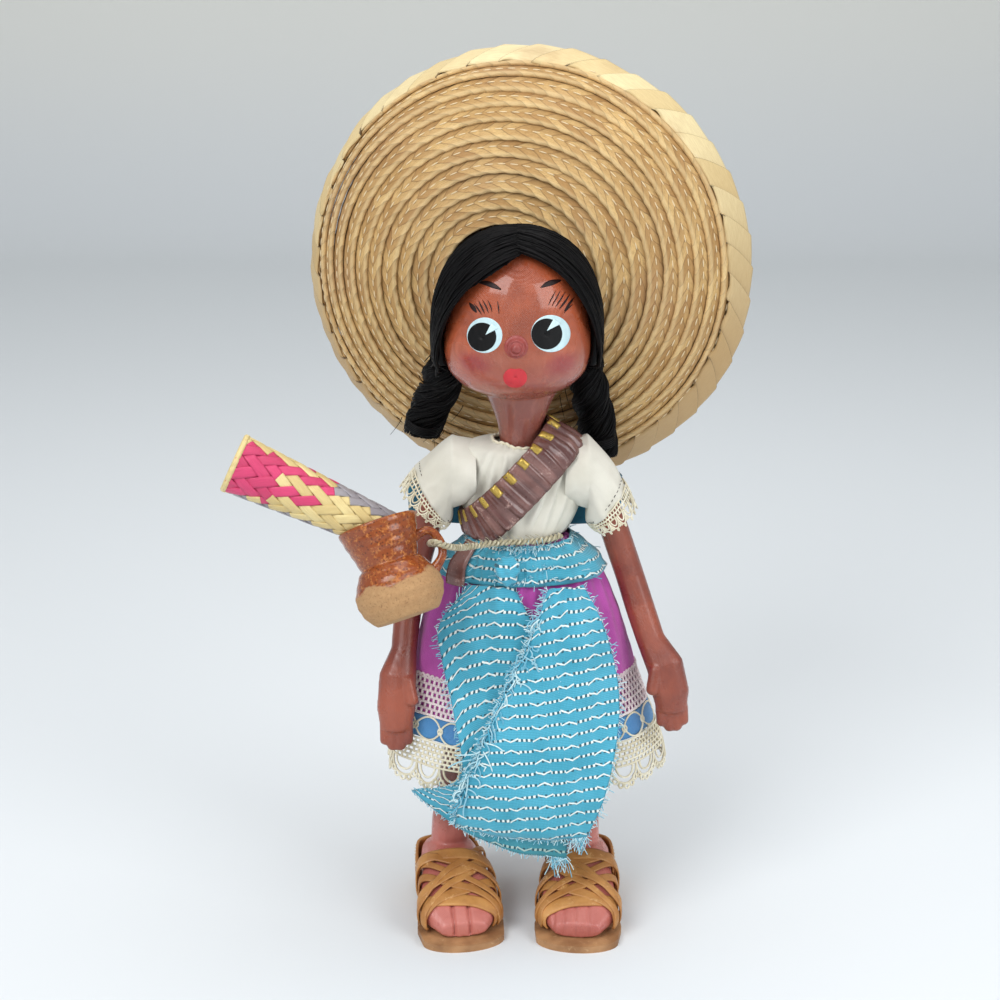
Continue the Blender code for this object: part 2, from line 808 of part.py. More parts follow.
def build_head():
    """The head, its neck and its stitched nose in one, bored for the neck peg."""
    rows = [head_ring(height, height) for height in spread(HEAD_LEVELS, CHIN_HEIGHT, HEAD_TOP)]
    head = add_object("head", grid_mesh("head", rows, capped=True), "cloth_skin")
    neck_rows = [
        oval(0, NECK_Y, height, neck_radius(height), neck_radius(height), NECK_SIDES)
        for height in spread(NECK_LEVELS, TORSO_TOP + SEAM_GAP, CHIN_HEIGHT + NECK_REACH)
    ]
    boolean(head, add_object("neck", grid_mesh("neck", neck_rows, capped=True)), "UNION")
    shape = bmesh.new()
    bmesh.ops.create_uvsphere(shape, u_segments=NOSE_SIDES, v_segments=NOSE_SIDES // 2, radius=NOSE_RADIUS)
    face = HEAD_Y - head_section(NOSE_HEIGHT)[1]
    shape.transform(Matrix.Translation((HEAD_X, face - NOSE_RADIUS * NOSE_PROUD_SHARE, NOSE_HEIGHT)))
    boolean(head, add_object("nose", finish_mesh("nose", shape)), "UNION")
    foot = Vector((0, NECK_Y, TORSO_TOP))
    bore = rod_between(
        "head_neck_bore",
        foot - UP * CUT_OVERRUN,
        foot + UP * NECK_PEG_REACH,
        PEG_RADIUS + PEG_BORE_GAP,
        PEG_SIDES,
    )
    boolean(head, bore, "DIFFERENCE")


def build_hair():
    """The cap of hair, hollow for the head and cut open at the hairline, and the two plaits."""
    levels = [HAIR_BOTTOM]
    levels += [height for height in spread(HEAD_LEVELS, CHIN_HEIGHT, HEAD_TOP) if height > HAIR_BOTTOM]
    outer = [
        head_ring(
            height,
            height + HAIR_TOP_THICKNESS * (height - HAIR_BOTTOM) / (HEAD_TOP - HAIR_BOTTOM),
            HAIR_THICKNESS,
            HAIR_BACK_THICKNESS,
        )
        for height in levels
    ]
    hair = add_object("hair_cap", grid_mesh("hair_cap", outer, capped=True), "hair")
    inner = [head_ring(HAIR_BOTTOM, HAIR_BOTTOM - CUT_OVERRUN, LAYER_GAP, LAYER_GAP)]
    inner += [head_ring(height, height + SEAM_GAP, LAYER_GAP, LAYER_GAP) for height in levels]
    skull_space = add_object("skull_space", grid_mesh("skull_space", inner, capped=True))
    boolean(hair, skull_space, "DIFFERENCE")
    front = HEAD_Y - HEAD_FRONT - CUT_OVERRUN
    back = HEAD_Y - HEAD_FRONT * HAIR_FRONT_EDGE_SHARE
    rows = [
        [
            Vector(
                (
                    HEAD_X + across * HEAD_WIDTH / 2,
                    depth,
                    CHIN_HEIGHT + up * (HEAD_TOP - CHIN_HEIGHT),
                )
            )
            for across, up in HAIRLINE_SHARES
        ]
        for depth in (front, back)
    ]
    boolean(hair, add_object("face_opening", grid_mesh("face_opening", rows, capped=True)), "DIFFERENCE")
    for side in SIDES:
        build_plait(side, skull_space)


def build_plait(side, skull_space):
    """A plait that hangs from the cap's edge, back over the shoulder, thick and thin by turns."""
    points, shares = [], []
    count = 2 * PLAIT_LOBES + 1
    top = HAIR_BOTTOM - SEAM_GAP
    for place, share in enumerate(spread(count)):
        bend = min(share / PLAIT_BEND_SHARE, 1)
        ease = bend * bend * (3 - 2 * bend)
        swing = read_table(PLAIT_SWING_SHARES, share)[0]
        points.append(
            (
                PLAIT_STARTS[side] + swing * PLAIT_SWINGS[side],
                PLAIT_TOP_Y + ease * (PLAIT_BACK - PLAIT_TOP_Y),
                top - share * PLAIT_DROPS[side],
            )
        )
        thin = PLAIT_END_SHARE if place in (0, count - 1) else PLAIT_WAIST_SHARE
        shares.append(1 if place % 2 else thin)
    plait = tube_to_mesh(add_tube(f"plait_{side}", points, PLAIT_RADIUS, shares=shares), "hair")
    boolean(plait, skull_space, "DIFFERENCE")


def shoulder_place(side):
    """Where an arm turns on the shoulder wire."""
    return Vector((SIDES[side] * SHOULDER_X, BODY_Y, SHOULDER_HEIGHT))


def arm_stations(side):
    """The arm's centres and half sizes, from the shoulder to the palm's end."""
    stations = []
    for down, out, ahead, wide, deep in ARM_SHARES[side]:
        offset = Vector(
            (SIDES[side] * ARM_REACH[side] * out, -ARM_FORWARD[side] * ahead, -ARM_LENGTHS[side] * down)
        )
        stations.append((shoulder_place(side) + offset, ARM_RADIUS * wide, ARM_RADIUS * deep))
    return stations


def build_arm(side, pivot):
    """An arm with its palm, fingers and thumb, bored at the shoulder for the wire."""
    hint = Vector((0, 1, 0))
    stations = arm_stations(side)
    arm = add_limb(f"arm_{side}", stations, ARM_SIDES, hint, "cloth_skin")
    palm, half_width = stations[-1][0], stations[-1][1]
    along = (palm - stations[-2][0]).normalized()
    across = along.cross(hint).normalized()
    for finger, aside in enumerate(spread(FINGER_COUNT, -1, 1)):
        offset = aside * half_width * FINGER_SPREAD_SHARE
        root = palm + across * offset - along * FINGER_RADIUS
        reach = FINGER_LENGTH * math.cos(offset / half_width)
        places = [(root + along * reach * share, FINGER_RADIUS, FINGER_RADIUS) for share in FINGER_SHARES]
        tool = add_limb(f"finger_{side}_{finger}", places, FINGER_SIDES, hint)
        boolean(arm, tool, "UNION")
    wrist = stations[-3][0]
    inward = Vector((-SIDES[side], 0, 0))
    ahead = Vector((0, -1, 0))
    start = wrist + (ahead * stations[-3][2] + inward * stations[-3][1]) * THUMB_ROOT_SHARE
    thumb_way = (along + (ahead + inward) * THUMB_SPLAY_SHARE).normalized()
    places = [
        (start + thumb_way * THUMB_LENGTH * share, THUMB_RADIUS, THUMB_RADIUS) for share in FINGER_SHARES
    ]
    boolean(arm, add_limb(f"thumb_{side}", places, FINGER_SIDES, hint), "UNION")
    inner_end = Vector((0, BODY_Y, SHOULDER_HEIGHT))
    outer_end = inner_end + Vector((SIDES[side] * (WIRE_SPAN / 2 + LAYER_GAP), 0, 0))
    bore = rod_between(f"arm_bore_{side}", inner_end, outer_end, WIRE_RADIUS + WIRE_BORE_GAP, PEG_SIDES)
    boolean(arm, bore, "DIFFERENCE")
    hang_from(arm, pivot)


def sleeve_ring(side, share):
    """The sleeve's inner outline from the seam, 0, to the hem, 1, and the lace's on past the hem."""
    sign = SIDES[side]
    top, bottom = (Vector(place) for place in SLEEVE_HEMS[side])
    hem_up = (top - bottom).normalized()
    centre = (top + bottom) / 2 * share
    lift = Vector((0, 1)).lerp(hem_up, share).normalized()
    half_length = SLEEVE_RADIUS + ((top - bottom).length / 2 - SLEEVE_RADIUS) * share
    points = []
    for turn in spread(SLEEVE_SIDES + 1, 0, FULL_TURN)[:-1]:
        gather = SLEEVE_FOLD_DEPTH * min(share, 1) * (1 + math.cos(SLEEVE_FOLDS * turn)) / 2
        across = lift * (half_length + gather) * math.sin(turn)
        points.append(
            Vector(
                (
                    sign * (SLEEVE_X + centre.x + across.x),
                    BODY_Y + sign * (SLEEVE_RADIUS + gather) * math.cos(turn),
                    SHOULDER_HEIGHT + centre.y + across.y,
                )
            )
        )
    return points


def build_sleeve(side, pivot):
    """The short wide sleeve and the lace along its slanted hem; both turn with the arm."""
    rows = [sleeve_ring(side, share) for share in spread(SLEEVE_LEVELS)]
    hang_from(add_shell(f"sleeve_{side}", rows, CLOTH_THICKNESS, "muslin"), pivot)
    hem_gap_share = SEAM_GAP / SLEEVE_RADIUS
    rows = [sleeve_ring(side, share) for share in spread(2, 1 + hem_gap_share, 1 + SLEEVE_LACE_SHARE)]
    hang_from(add_shell(f"sleeve_lace_{side}", rows, LACE_THICKNESS, "cotton_lace"), pivot)


def cover_half_sizes(height):
    """Half width and half depth of the blouse's outer face at one height."""
    wide, deep = torso_section(max(height, WAIST_HEIGHT))
    layer = LAYER_GAP + CLOTH_THICKNESS + BLOUSE_FOLD_DEPTH
    return wide + layer, deep + layer


def build_blouse():
    """The blouse's body from the waist to the neckline, with round armholes under the sleeves."""

    def ripple(turn):
        return LAYER_GAP + BLOUSE_FOLD_DEPTH * (1 + math.cos(BLOUSE_FOLDS * turn)) / 2

    heights = spread(BLOUSE_LEVELS, WAIST_HEIGHT + SEAM_GAP, TORSO_TOP - SEAM_GAP)
    rows = [oval(0, BODY_Y, height, *torso_section(height), BLOUSE_SIDES, ripple) for height in heights]
    wide, deep = torso_section(TORSO_TOP)
    wide, deep = wide * BLOUSE_SHOULDER_SHARE, deep * BLOUSE_SHOULDER_SHARE
    rows.append(oval(0, BODY_Y, TORSO_TOP + LAYER_GAP, wide, deep, BLOUSE_SIDES))
    neckline = NECK_RADIUS + LAYER_GAP * 2
    rows.append(oval(0, NECK_Y, TORSO_TOP + LAYER_GAP * 2, neckline, neckline, BLOUSE_SIDES))
    blouse = add_shell("blouse", rows, CLOTH_THICKNESS, "muslin")
    for side in SIDES:
        place = shoulder_place(side)
        inner, outer = (Vector((place.x * share, place.y, place.z)) for share in ARMHOLE_SHARES)
        hole = rod_between(f"armhole_{side}", inner, outer, ARMHOLE_RADIUS, BLOUSE_SIDES // 2)
        boolean(blouse, hole, "DIFFERENCE")


def skirt_section(height):
    """Centre across, centre back, half width and half depth of the skirt's inner face."""
    share = min((SKIRT_TOP - height) / (SKIRT_TOP - SKIRT_HEM), 1)
    wide, deep = read_table(SKIRT_SHARES, share)
    waist_wide, waist_deep = (size + LAYER_GAP for size in torso_section(SKIRT_TOP))
    return (
        SKIRT_X * share,
        BODY_Y + (SKIRT_Y - BODY_Y) * share,
        waist_wide + (SKIRT_WIDTH / 2 - waist_wide) * wide,
        waist_deep + (SKIRT_DEPTH / 2 - waist_deep) * deep,
    )


def skirt_fold(height):
    """Depth of the skirt's gathers at one height."""
    return SKIRT_FOLD_DEPTH * min((SKIRT_TOP - height) / (SKIRT_TOP - SKIRT_HEM), 1)


def skirt_ring(height, layer=0.0, drop=None):
    """The skirt's gathered outline at one height, grown by a layer, its points lowered by a rule."""
    centre_x, centre_y, half_width, half_depth = skirt_section(height)
    fold = skirt_fold(height)

    def ripple(turn):
        return layer + fold * (1 + math.cos(SKIRT_FOLDS * turn)) / 2

    ring = oval(centre_x, centre_y, height, half_width, half_depth, SKIRT_SIDES, ripple)
    if drop:
        for place, point in enumerate(ring):
            point.z -= drop(FULL_TURN * place / SKIRT_SIDES)
    return ring


def build_skirt():
    """The skirt and its trims: crochet, ribbon and a scalloped hem of lace."""

    def scallop(turn):
        return HEM_SCALLOP_DEPTH * math.cos(HEM_SCALLOPS * turn)

    trims = (
        ("skirt", SKIRT_TOP, CROCHET_TOP + SEAM_GAP, 6, CLOTH_THICKNESS, "magenta_cloth"),
        ("crochet_band", CROCHET_TOP, RIBBON_TOP + SEAM_GAP, 2, LACE_THICKNESS, "cotton_lace"),
        ("skirt_ribbon", RIBBON_TOP, RIBBON_BOTTOM + SEAM_GAP, 2, LACE_THICKNESS, "satin_ribbon"),
        ("hem_lace", RIBBON_BOTTOM, SKIRT_HEM + HEM_SCALLOP_DEPTH, 3, LACE_THICKNESS, "cotton_lace"),
    )
    for name, top, bottom, levels, wall, finish in trims:
        heights = spread(levels, bottom, top)
        rows = [skirt_ring(height) for height in heights]
        if name == "hem_lace":
            rows[0] = skirt_ring(bottom, drop=scallop)
        add_shell(name, rows, wall, finish)


def shawl_layer(height):
    """How far the shawl's inner face lies off the skirt's inner face at one height."""
    return skirt_fold(height) + CLOTH_THICKNESS + LAYER_GAP


def build_waist_band():
    """The shawl's turn round the waist, pleated, and its knot in front."""
    rows = []
    for height in spread(3, WAIST_BAND_BOTTOM, WAIST_BAND_TOP - SEAM_GAP):
        centre_x, centre_y, half_width, half_depth = skirt_section(min(height, SKIRT_TOP))

        def ripple(turn, grow=shawl_layer(height) + SEAM_GAP):
            return grow + WAIST_BAND_FOLD_DEPTH * (1 + math.cos(WAIST_BAND_FOLDS * turn)) / 2

        rows.append(oval(centre_x, centre_y, height, half_width, half_depth, TRIM_SIDES, ripple))
    add_shell("shawl_waist", rows, WOVEN_THICKNESS, "woven_blue")
    shape = bmesh.new()
    bmesh.ops.create_uvsphere(shape, u_segments=KNOT_SIDES, v_segments=KNOT_LEVELS, radius=1)
    middle = (WAIST_BAND_TOP + WAIST_BAND_BOTTOM) / 2
    cover = WOVEN_THICKNESS + WAIST_BAND_FOLD_DEPTH + SEAM_GAP
    face = BODY_Y
    for up in spread(KNOT_SAMPLES, -KNOT_SEAT_SHARE, KNOT_SEAT_SHARE):
        height = max(middle + up * KNOT_HEIGHT / 2, WAIST_BAND_BOTTOM)
        recess = KNOT_DEPTH / 2 * (1 - math.sqrt(1 - up * up))
        face = min(face, front_of_skirt(KNOT_X, height) - shawl_layer(height) - cover + recess)
    size = Matrix.Diagonal((KNOT_WIDTH / 2, KNOT_DEPTH / 2, KNOT_HEIGHT / 2, 1))
    shape.transform(Matrix.Translation((KNOT_X, face - KNOT_DEPTH / 2, middle)) @ size)
    add_object("shawl_knot", finish_mesh("shawl_knot", shape), "woven_blue")


def front_of_skirt(across, height):
    """The skirt's inner face in front, at one place across and up."""
    centre_x, centre_y, half_width, half_depth = skirt_section(min(max(height, SKIRT_HEM), SKIRT_TOP))
    side = (across - centre_x) / half_width
    return centre_y - half_depth * math.sqrt(max(1 - side * side, PANEL_EDGE_DEPTH_SHARE))


def build_shawl_panel(name):
    """One loose end of the shawl, draped down the skirt's front in soft folds."""
    left_edge, right_edge = PANEL_EDGES[name]
    left = smooth_route([Vector((*place, 0)) for place in left_edge], PANEL_ROWS)
    right = smooth_route([Vector((*place, 0)) for place in right_edge], PANEL_ROWS)
    rows = []
    for low, (start, end) in zip(spread(PANEL_ROWS, 1, 0), zip(left, right)):
        row = []
        for share in spread(PANEL_COLUMNS):
            across = start.x + (end.x - start.x) * share
            height = WAIST_BAND_BOTTOM - start.y - (end.y - start.y) * share
            height -= PANEL_SAGS[name] * low**2 * math.sin(math.pi * share)
            fold = PANEL_FOLD_DEPTH * (1 + math.cos(FULL_TURN * PANEL_FOLDS * share)) / 2
            layer = shawl_layer(max(height, SKIRT_HEM)) + PANEL_LAYERS[name] + fold
            row.append(Vector((across, front_of_skirt(across, height) - layer, height)))
        rows.append(row)
    add_shell(name, rows, WOVEN_THICKNESS, "woven_blue", closed_around=False)


def build_back_cloth():
    """The plain cloth behind the shoulders, its corners rounded."""
    depth = BODY_Y + CHEST_DEPTH / 2 + CLOTH_THICKNESS + BLOUSE_FOLD_DEPTH + LAYER_GAP * 3
    depth += BELT_RIB_HEIGHT + BELT_THICKNESS
    rows = []
    for up in spread(BACK_CLOTH_ROWS, -1, 1):
        row = []
        for across in spread(BACK_CLOTH_COLUMNS, 1, -1):
            half_height = BACK_CLOTH_HEIGHT / 2 * (1 - abs(across) ** BACK_CLOTH_CORNER_POWER / 2)
            place = BACK_CLOTH_X + across * BACK_CLOTH_WIDTH / 2
            row.append(Vector((place, depth, BACK_CLOTH_Z + up * half_height)))
        rows.append(row)
    add_shell("back_cloth", rows, WOVEN_THICKNESS, "teal_cloth", closed_around=False)


def inside_dressed_body(point):
    """Whether a point lies in the blouse or in the neck."""
    if point.z <= TORSO_TOP + LAYER_GAP + CLOTH_THICKNESS + BLOUSE_FOLD_DEPTH:
        wide, deep = cover_half_sizes(min(point.z, TORSO_TOP))
        if (point.x / wide) ** 2 + ((point.y - BODY_Y) / deep) ** 2 < 1:
            return True
    if TORSO_TOP < point.z < CHIN_HEIGHT:
        reach = neck_radius(point.z) + LAYER_GAP
        return point.x**2 + (point.y - NECK_Y) ** 2 < reach**2
    return False


def belt_distance(origin, way):
    """How far from its origin a ray leaves the dressed body for the last time."""
    last = 0
    for distance in spread(BELT_SEARCH_STEPS, 0, BELT_REACH):
        if inside_dressed_body(origin + way * distance):
            last = distance
    return last + BELT_REACH / (BELT_SEARCH_STEPS - 1)


def bridge(values):
    """Values lifted to the straight lines between the highest of them, as a stiff strap lies."""
    lifted = []
    for place, value in enumerate(values):
        best = value
        for before in range(place):
            for after in range(place + 1, len(values)):
                part = (place - before) / (after - before)
                best = max(best, values[before] + (values[after] - values[before]) * part)
        lifted.append(best)
    return lifted


def build_belt():
    """The ribbed cartridge belt, from the waist in front over the left shoulder to the waist behind."""
    tilt = math.radians(BELT_TILT_DEG)
    rise = Vector((math.cos(tilt), 0, math.sin(tilt)))
    across = Vector((-math.sin(tilt), 0, math.cos(tilt)))
    centre = Vector((BELT_CENTRE_X, BODY_Y, BELT_CENTRE_Z))
    steps = BELT_RIBS * BELT_STEPS_PER_RIB
    turns = spread(steps + 1, 0, FULL_TURN)[:-1]
    offsets = spread(BELT_ACROSS, -BELT_WIDTH / 2, BELT_WIDTH / 2)
    ways = [rise * math.cos(turn) + Vector((0, math.sin(turn), 0)) for turn in turns]
    reaches = []
    for way in ways:
        reaches.append(bridge([belt_distance(centre + across * offset, way) for offset in offsets]))
    for _ in range(BELT_SMOOTHINGS):
        evened = []
        for place, column in enumerate(reaches):
            sides = zip(reaches[place - 1], column, reaches[(place + 1) % steps])
            evened.append([max(here, (before + after) / 2) for before, here, after in sides])
        reaches = evened
    rows = []
    for row, offset in enumerate(offsets):
        points = []
        for place, way in enumerate(ways):
            rib = BELT_RIB_HEIGHT * (1 - math.cos(FULL_TURN * place / BELT_STEPS_PER_RIB)) / 2
            points.append(centre + across * offset + way * (reaches[place][row] + LAYER_GAP + rib))
        rows.append(points)
    belt = add_shell("cartridge_belt", rows, BELT_THICKNESS, "leather_belt")
    size = SHOULDER_WIDTH * 2
    floor = WAIST_BAND_TOP + BELT_END_LIFT
    shape = bmesh.new()
    bmesh.ops.create_cube(shape, size=size)
    shape.transform(Matrix.Translation((0, 0, floor - size / 2)))
    boolean(belt, add_object("belt_ends", finish_mesh("belt_ends", shape, False)), "DIFFERENCE")


def foot_frame(side):
    """The heel's place on the sole, and the ways forward and sideways."""
    turn = math.radians(TOE_TURNS_DEG[side])
    heel = Vector((*HEEL_PLACES[side], 0))
    forward = Vector((-math.sin(turn), -math.cos(turn), 0))
    return heel, forward, forward.cross(UP)


def foot_sizes(share):
    """Half width and height of the foot, from its heel, 0, to its toes, 1."""
    wide, high = read_table(FOOT_SHARES, min(max(share, 0), 1))
    return wide * FOOT_WIDTH / 2, high * INSTEP_HEIGHT


def rounded_power(value, power):
    """A sine or cosine pushed towards a squarer outline."""
    return math.copysign(abs(value) ** power, value)


def foot_point(side, share, turn, grow=0.0):
    """A point on the foot's outline, square to it, grown by a layer."""
    heel, forward, sideways = foot_frame(side)
    half_width, height = foot_sizes(share)
    base = SOLE_THICKNESS + SEAM_GAP
    reach = FOOT_INSET + share * FOOT_LENGTH
    across = (half_width + grow) * rounded_power(math.cos(turn), FOOT_SIDE_POWER)
    up = base + height / 2 + (height / 2 + grow) * rounded_power(math.sin(turn), FOOT_TOP_POWER)
    return heel + forward * reach + sideways * across + UP * max(up, base)


def build_leg(side):
    """A leg and its foot in one piece, bored at the hip for its peg."""
    rows = [
        [foot_point(side, share, turn) for turn in spread(FOOT_SIDES + 1, 0, FULL_TURN)[:-1]]
        for share in spread(FOOT_LEVELS)
    ]
    leg = add_object(f"leg_{side}", grid_mesh(f"leg_{side}", rows, capped=True), "cloth_skin")
    heel, forward, _ = foot_frame(side)
    hip = Vector((SIDES[side] * LEG_SPREAD, BODY_Y, HIP_HEIGHT - SEAM_GAP))
    ankle = heel + forward * (FOOT_INSET + ANKLE_SHARE * FOOT_LENGTH)
    ankle.z = SOLE_THICKNESS + INSTEP_HEIGHT / 2
    shin_rows = []
    for share in spread(LEG_LEVELS):
        over = read_table(LEG_PATH_SHARES, share)[0]
        centre = hip.lerp(ankle, over)
        radius = LEG_RADIUS + (ANKLE_RADIUS - LEG_RADIUS) * over
        height = hip.z + (ankle.z - hip.z) * share
        shin_rows.append(oval(centre.x, centre.y, height, radius, radius, LEG_SIDES))
    shin_name = f"shin_{side}"
    boolean(leg, add_object(shin_name, grid_mesh(shin_name, shin_rows, capped=True)), "UNION")
    bore = rod_between(
        f"leg_bore_{side}",
        hip - UP * HIP_PEG_REACH,
        hip + UP * CUT_OVERRUN,
        PEG_RADIUS + PEG_BORE_GAP,
        PEG_SIDES,
    )
    boolean(leg, bore, "DIFFERENCE")


def sole_outline(side):
    """The sole's outline, heel and toe rounded, with its waist between."""
    heel, forward, sideways = foot_frame(side)
    half = SOLE_WIDTH / 2
    heel_share, toe_share = SOLE_SHARES[0], SOLE_SHARES[-1]
    places = []
    for turn in spread(SOLE_ARC_POINTS, math.pi / 2, 0):
        places.append((heel_share[0] * (1 - math.sin(turn)), heel_share[1] * math.cos(turn)))
    places += SOLE_SHARES[1:-1]
    for turn in spread(SOLE_ARC_POINTS, 0, math.pi / 2):
        places.append((toe_share[0] + (1 - toe_share[0]) * math.sin(turn), toe_share[1] * math.cos(turn)))
    loop = places + [(along, -across) for along, across in places[-2:0:-1]]
    return [heel + forward * SOLE_LENGTH * along + sideways * half * across for along, across in loop]


def build_sandal(side):
    """A sandal: the sole, its woven instep straps fused where they cross, and the heel band."""
    name = f"sandal_sole_{side}"
    curve = bpy.data.curves.new(name, "CURVE")
    curve.dimensions = "2D"
    curve.fill_mode = "BOTH"
    curve.extrude = SOLE_THICKNESS / 2
    outline = sole_outline(side)
    spline = curve.splines.new("POLY")
    spline.points.add(len(outline) - 1)
    spline.use_cyclic_u = True
    for place, point in enumerate(outline):
        spline.points[place].co = (point.x, point.y, 0, 1)
    sole = add_object(name, curve, "sole_leather")
    sole.location.z = SOLE_THICKNESS / 2
    build_instep_straps(side)
    build_heel_band(side)


def build_instep_straps(side):
    """Crossing straps over the instep, each a little higher than the one before."""
    straps = []
    reach = math.radians(STRAP_REACH_DEG)
    for number, (place, slant, width) in enumerate(STRAP_SHARES):
        half = width * STRAP_WIDTH / FOOT_LENGTH / 2
        grow = LAYER_GAP + number * STRAP_STEP
        rows = []
        for edge in (half, -half):
            row = []
            for turn in spread(STRAP_COLUMNS, -reach, math.pi + reach):
                share = place + edge - SIDES[side] * slant * math.cos(turn)
                row.append(foot_point(side, min(share, 1), turn, grow))
            rows.append(row)
        last = number == len(STRAP_SHARES) - 1
        name = f"sandal_straps_{side}" if last else f"strap_{side}_{number}"
        straps.append(add_shell(name, rows, STRAP_THICKNESS, "leather", closed_around=False))
    woven = straps.pop()
    for strap in straps:
        PARTS.objects.unlink(strap)
        CUTTERS.objects.link(strap)
        strap.hide_render = True
        strap.display_type = "WIRE"
        boolean(woven, strap, "UNION")


def build_heel_band(side):
    """The band that stands round the heel on the sole."""
    heel, forward, sideways = foot_frame(side)
    grow = LAYER_GAP
    edge = []
    for share in spread(HEEL_BAND_COLUMNS, HEEL_BAND_REACH_SHARE, 0):
        half_width = foot_sizes(share)[0]
        ahead = FOOT_INSET + share * FOOT_LENGTH - grow * (1 - share / HEEL_BAND_REACH_SHARE)
        edge.append((ahead, half_width + grow))
    loop = [(ahead, -across) for ahead, across in edge] + list(reversed(edge))
    rows = []
    for height in (SOLE_THICKNESS + SEAM_GAP, HEEL_BAND_HEIGHT):
        rows.append([heel + forward * ahead + sideways * across + UP * height for ahead, across in loop])
    add_shell(f"heel_band_{side}", rows, STRAP_THICKNESS, "leather", closed_around=False)


def from_waist(place):
    """A place given across, back and above the waist."""
    return Vector(place) + UP * WAIST_HEIGHT


def jug_axes():
    """The jug's own way up and the way out to its handle."""
    left = math.radians(JUG_LEAN_LEFT_DEG)
    back = math.radians(JUG_LEAN_BACK_DEG)
    up = Vector((-math.tan(left), math.tan(back), 1)).normalized()
    out = Vector((1, 0, 0))
    return up, (out - up * out.dot(up)).normalized()


def jug_place(along, out):
    """A place in the jug's middle plane, along its axis and out towards the handle."""
    up, handle_way = jug_axes()
    return from_waist(JUG_BASE_PLACE) + up * along + handle_way * out


def jug_radius(share):
    """The jug's outer radius at a share of its height."""
    return read_table(JUG_SHARES, share)[0] * JUG_BELLY_RADIUS


def build_jug(pivot):
    """The jug, turned hollow, with its loop handle fused to the neck and the belly."""
    outer = [(jug_radius(share), share * JUG_HEIGHT) for share in spread(JUG_LEVELS, 1, 0)]
    inner = [
        (jug_radius(share) - JUG_WALL, share * JUG_HEIGHT)
        for share in spread(JUG_LEVELS, JUG_FLOOR / JUG_HEIGHT, 1)
    ]
    profile = [(0, JUG_FLOOR), *inner, *outer, (0, 0)]
    jug = add_turned("jug", profile, JUG_STEPS, "clay")
    up, handle_way = jug_axes()
    turn = Matrix((handle_way, up.cross(handle_way), up)).transposed().to_4x4()
    jug.matrix_local = Matrix.Translation(jug_place(0, 0)) @ turn
    route = [
        Vector((along * JUG_HEIGHT, out * JUG_BELLY_RADIUS, 0)) for along, out in JUG_HANDLE_SHARES
    ]
    points = [jug_place(point.x, point.y) for point in smooth_route(route, 2 * len(route) - 1)]
    handle = add_tube("jug_handle", points, JUG_HANDLE_RADIUS)
    boolean(jug, tube_to_mesh(handle), "UNION")
    hang_from(jug, pivot)


def add_turned(name, profile, steps, finish):
    """A turned piece about its own Z axis, its profile's outer side given from top to bottom."""
    mesh = bpy.data.meshes.new(name)
    points = [(radius, 0, height) for radius, height in profile]
    mesh.from_pydata(points, [(place, place + 1) for place in range(len(points) - 1)], [])
    made = add_object(name, mesh, finish)
    screw = made.modifiers.new("Turn", "SCREW")
    screw.steps = steps
    screw.render_steps = steps
    screw.use_merge_vertices = True
    screw.merge_threshold = WELD_DISTANCE
    screw.use_smooth_shade = True
    return made


def jug_pivot():
    """Where the twine carries the handle, just under the loop's top."""
    along, out = JUG_PIVOT_SHARES
    return jug_place(along * JUG_HEIGHT, out * JUG_BELLY_RADIUS)


def roll_axis():
    """The place where the mat's axis crosses the mouth, and its way out, so that it rests on the rim."""
    rise = math.radians(ROLL_RISE_DEG)
    way = Vector((-math.cos(rise), 0, math.sin(rise)))
    up, handle_way = jug_axes()
    mouth = jug_place(JUG_HEIGHT, 0)
    lift = (up - way * up.dot(way)).normalized()
    across = up.cross(handle_way)
    share = ROLL_INSIDE / ROLL_LENGTH
    radius = ROLL_INNER_RADIUS + (ROLL_OUTER_RADIUS - ROLL_INNER_RADIUS) * share
    clear = radius + LAYER_GAP + SEAM_GAP
    rim_radius = jug_radius(1)
    needed = -rim_radius
    for turn in spread(ROLL_RIM_SAMPLES + 1, 0, FULL_TURN)[:-1]:
        for rim in (rim_radius - JUG_WALL, rim_radius):
            point = handle_way * math.cos(turn) * rim + across * math.sin(turn) * rim
            if point.dot(handle_way) > 0:
                continue
            aside = point - way * point.dot(way)
            height = aside.dot(lift)
            room = clear**2 - (aside.length_squared - height**2)
            if room > 0:
                needed = max(needed, height + math.sqrt(room))
    centre = mouth + lift * needed
    along_way = (mouth - centre).dot(up) / way.dot(up)
    return centre + way * along_way, way


def build_roll(pivot):
    """The rolled palm mat, wider at its open outer end."""
    crossing, way = roll_axis()
    profile = [
        (ROLL_OUTER_RADIUS, ROLL_LENGTH),
        (ROLL_INNER_RADIUS, 0),
        (ROLL_INNER_RADIUS - ROLL_WALL, 0),
        (ROLL_OUTER_RADIUS - ROLL_WALL, ROLL_LENGTH),
        (ROLL_OUTER_RADIUS, ROLL_LENGTH),
    ]
    roll = add_turned("palm_roll", profile, ROLL_STEPS, "palm_mat")
    turn = way.to_track_quat("Z", "Y").to_matrix().to_4x4()
    roll.matrix_local = Matrix.Translation(crossing - way * ROLL_INSIDE) @ turn
    hang_from(roll, pivot)


def build_twine():
    """The twine from the waist through the jug's handle and back behind it."""
    route = [from_waist(place) for place in TWINE_TO_JUG]
    route.append(jug_pivot())
    route += [from_waist(place) for place in TWINE_TAIL]
    add_tube("waist_twine", smooth_route(route, TWINE_POINTS), TWINE_RADIUS, "twine")


def hat_axes():
    """The hat's way to its crown, and its ways right and up across the brim."""
    tilt, turn = math.radians(HAT_TILT_UP_DEG), math.radians(HAT_TURN_DEG)
    crown = Vector((math.sin(turn) * math.cos(tilt), math.cos(turn) * math.cos(tilt), math.sin(tilt)))
    right = Vector((math.cos(turn), -math.sin(turn), 0))
    return crown, right, right.cross(crown)


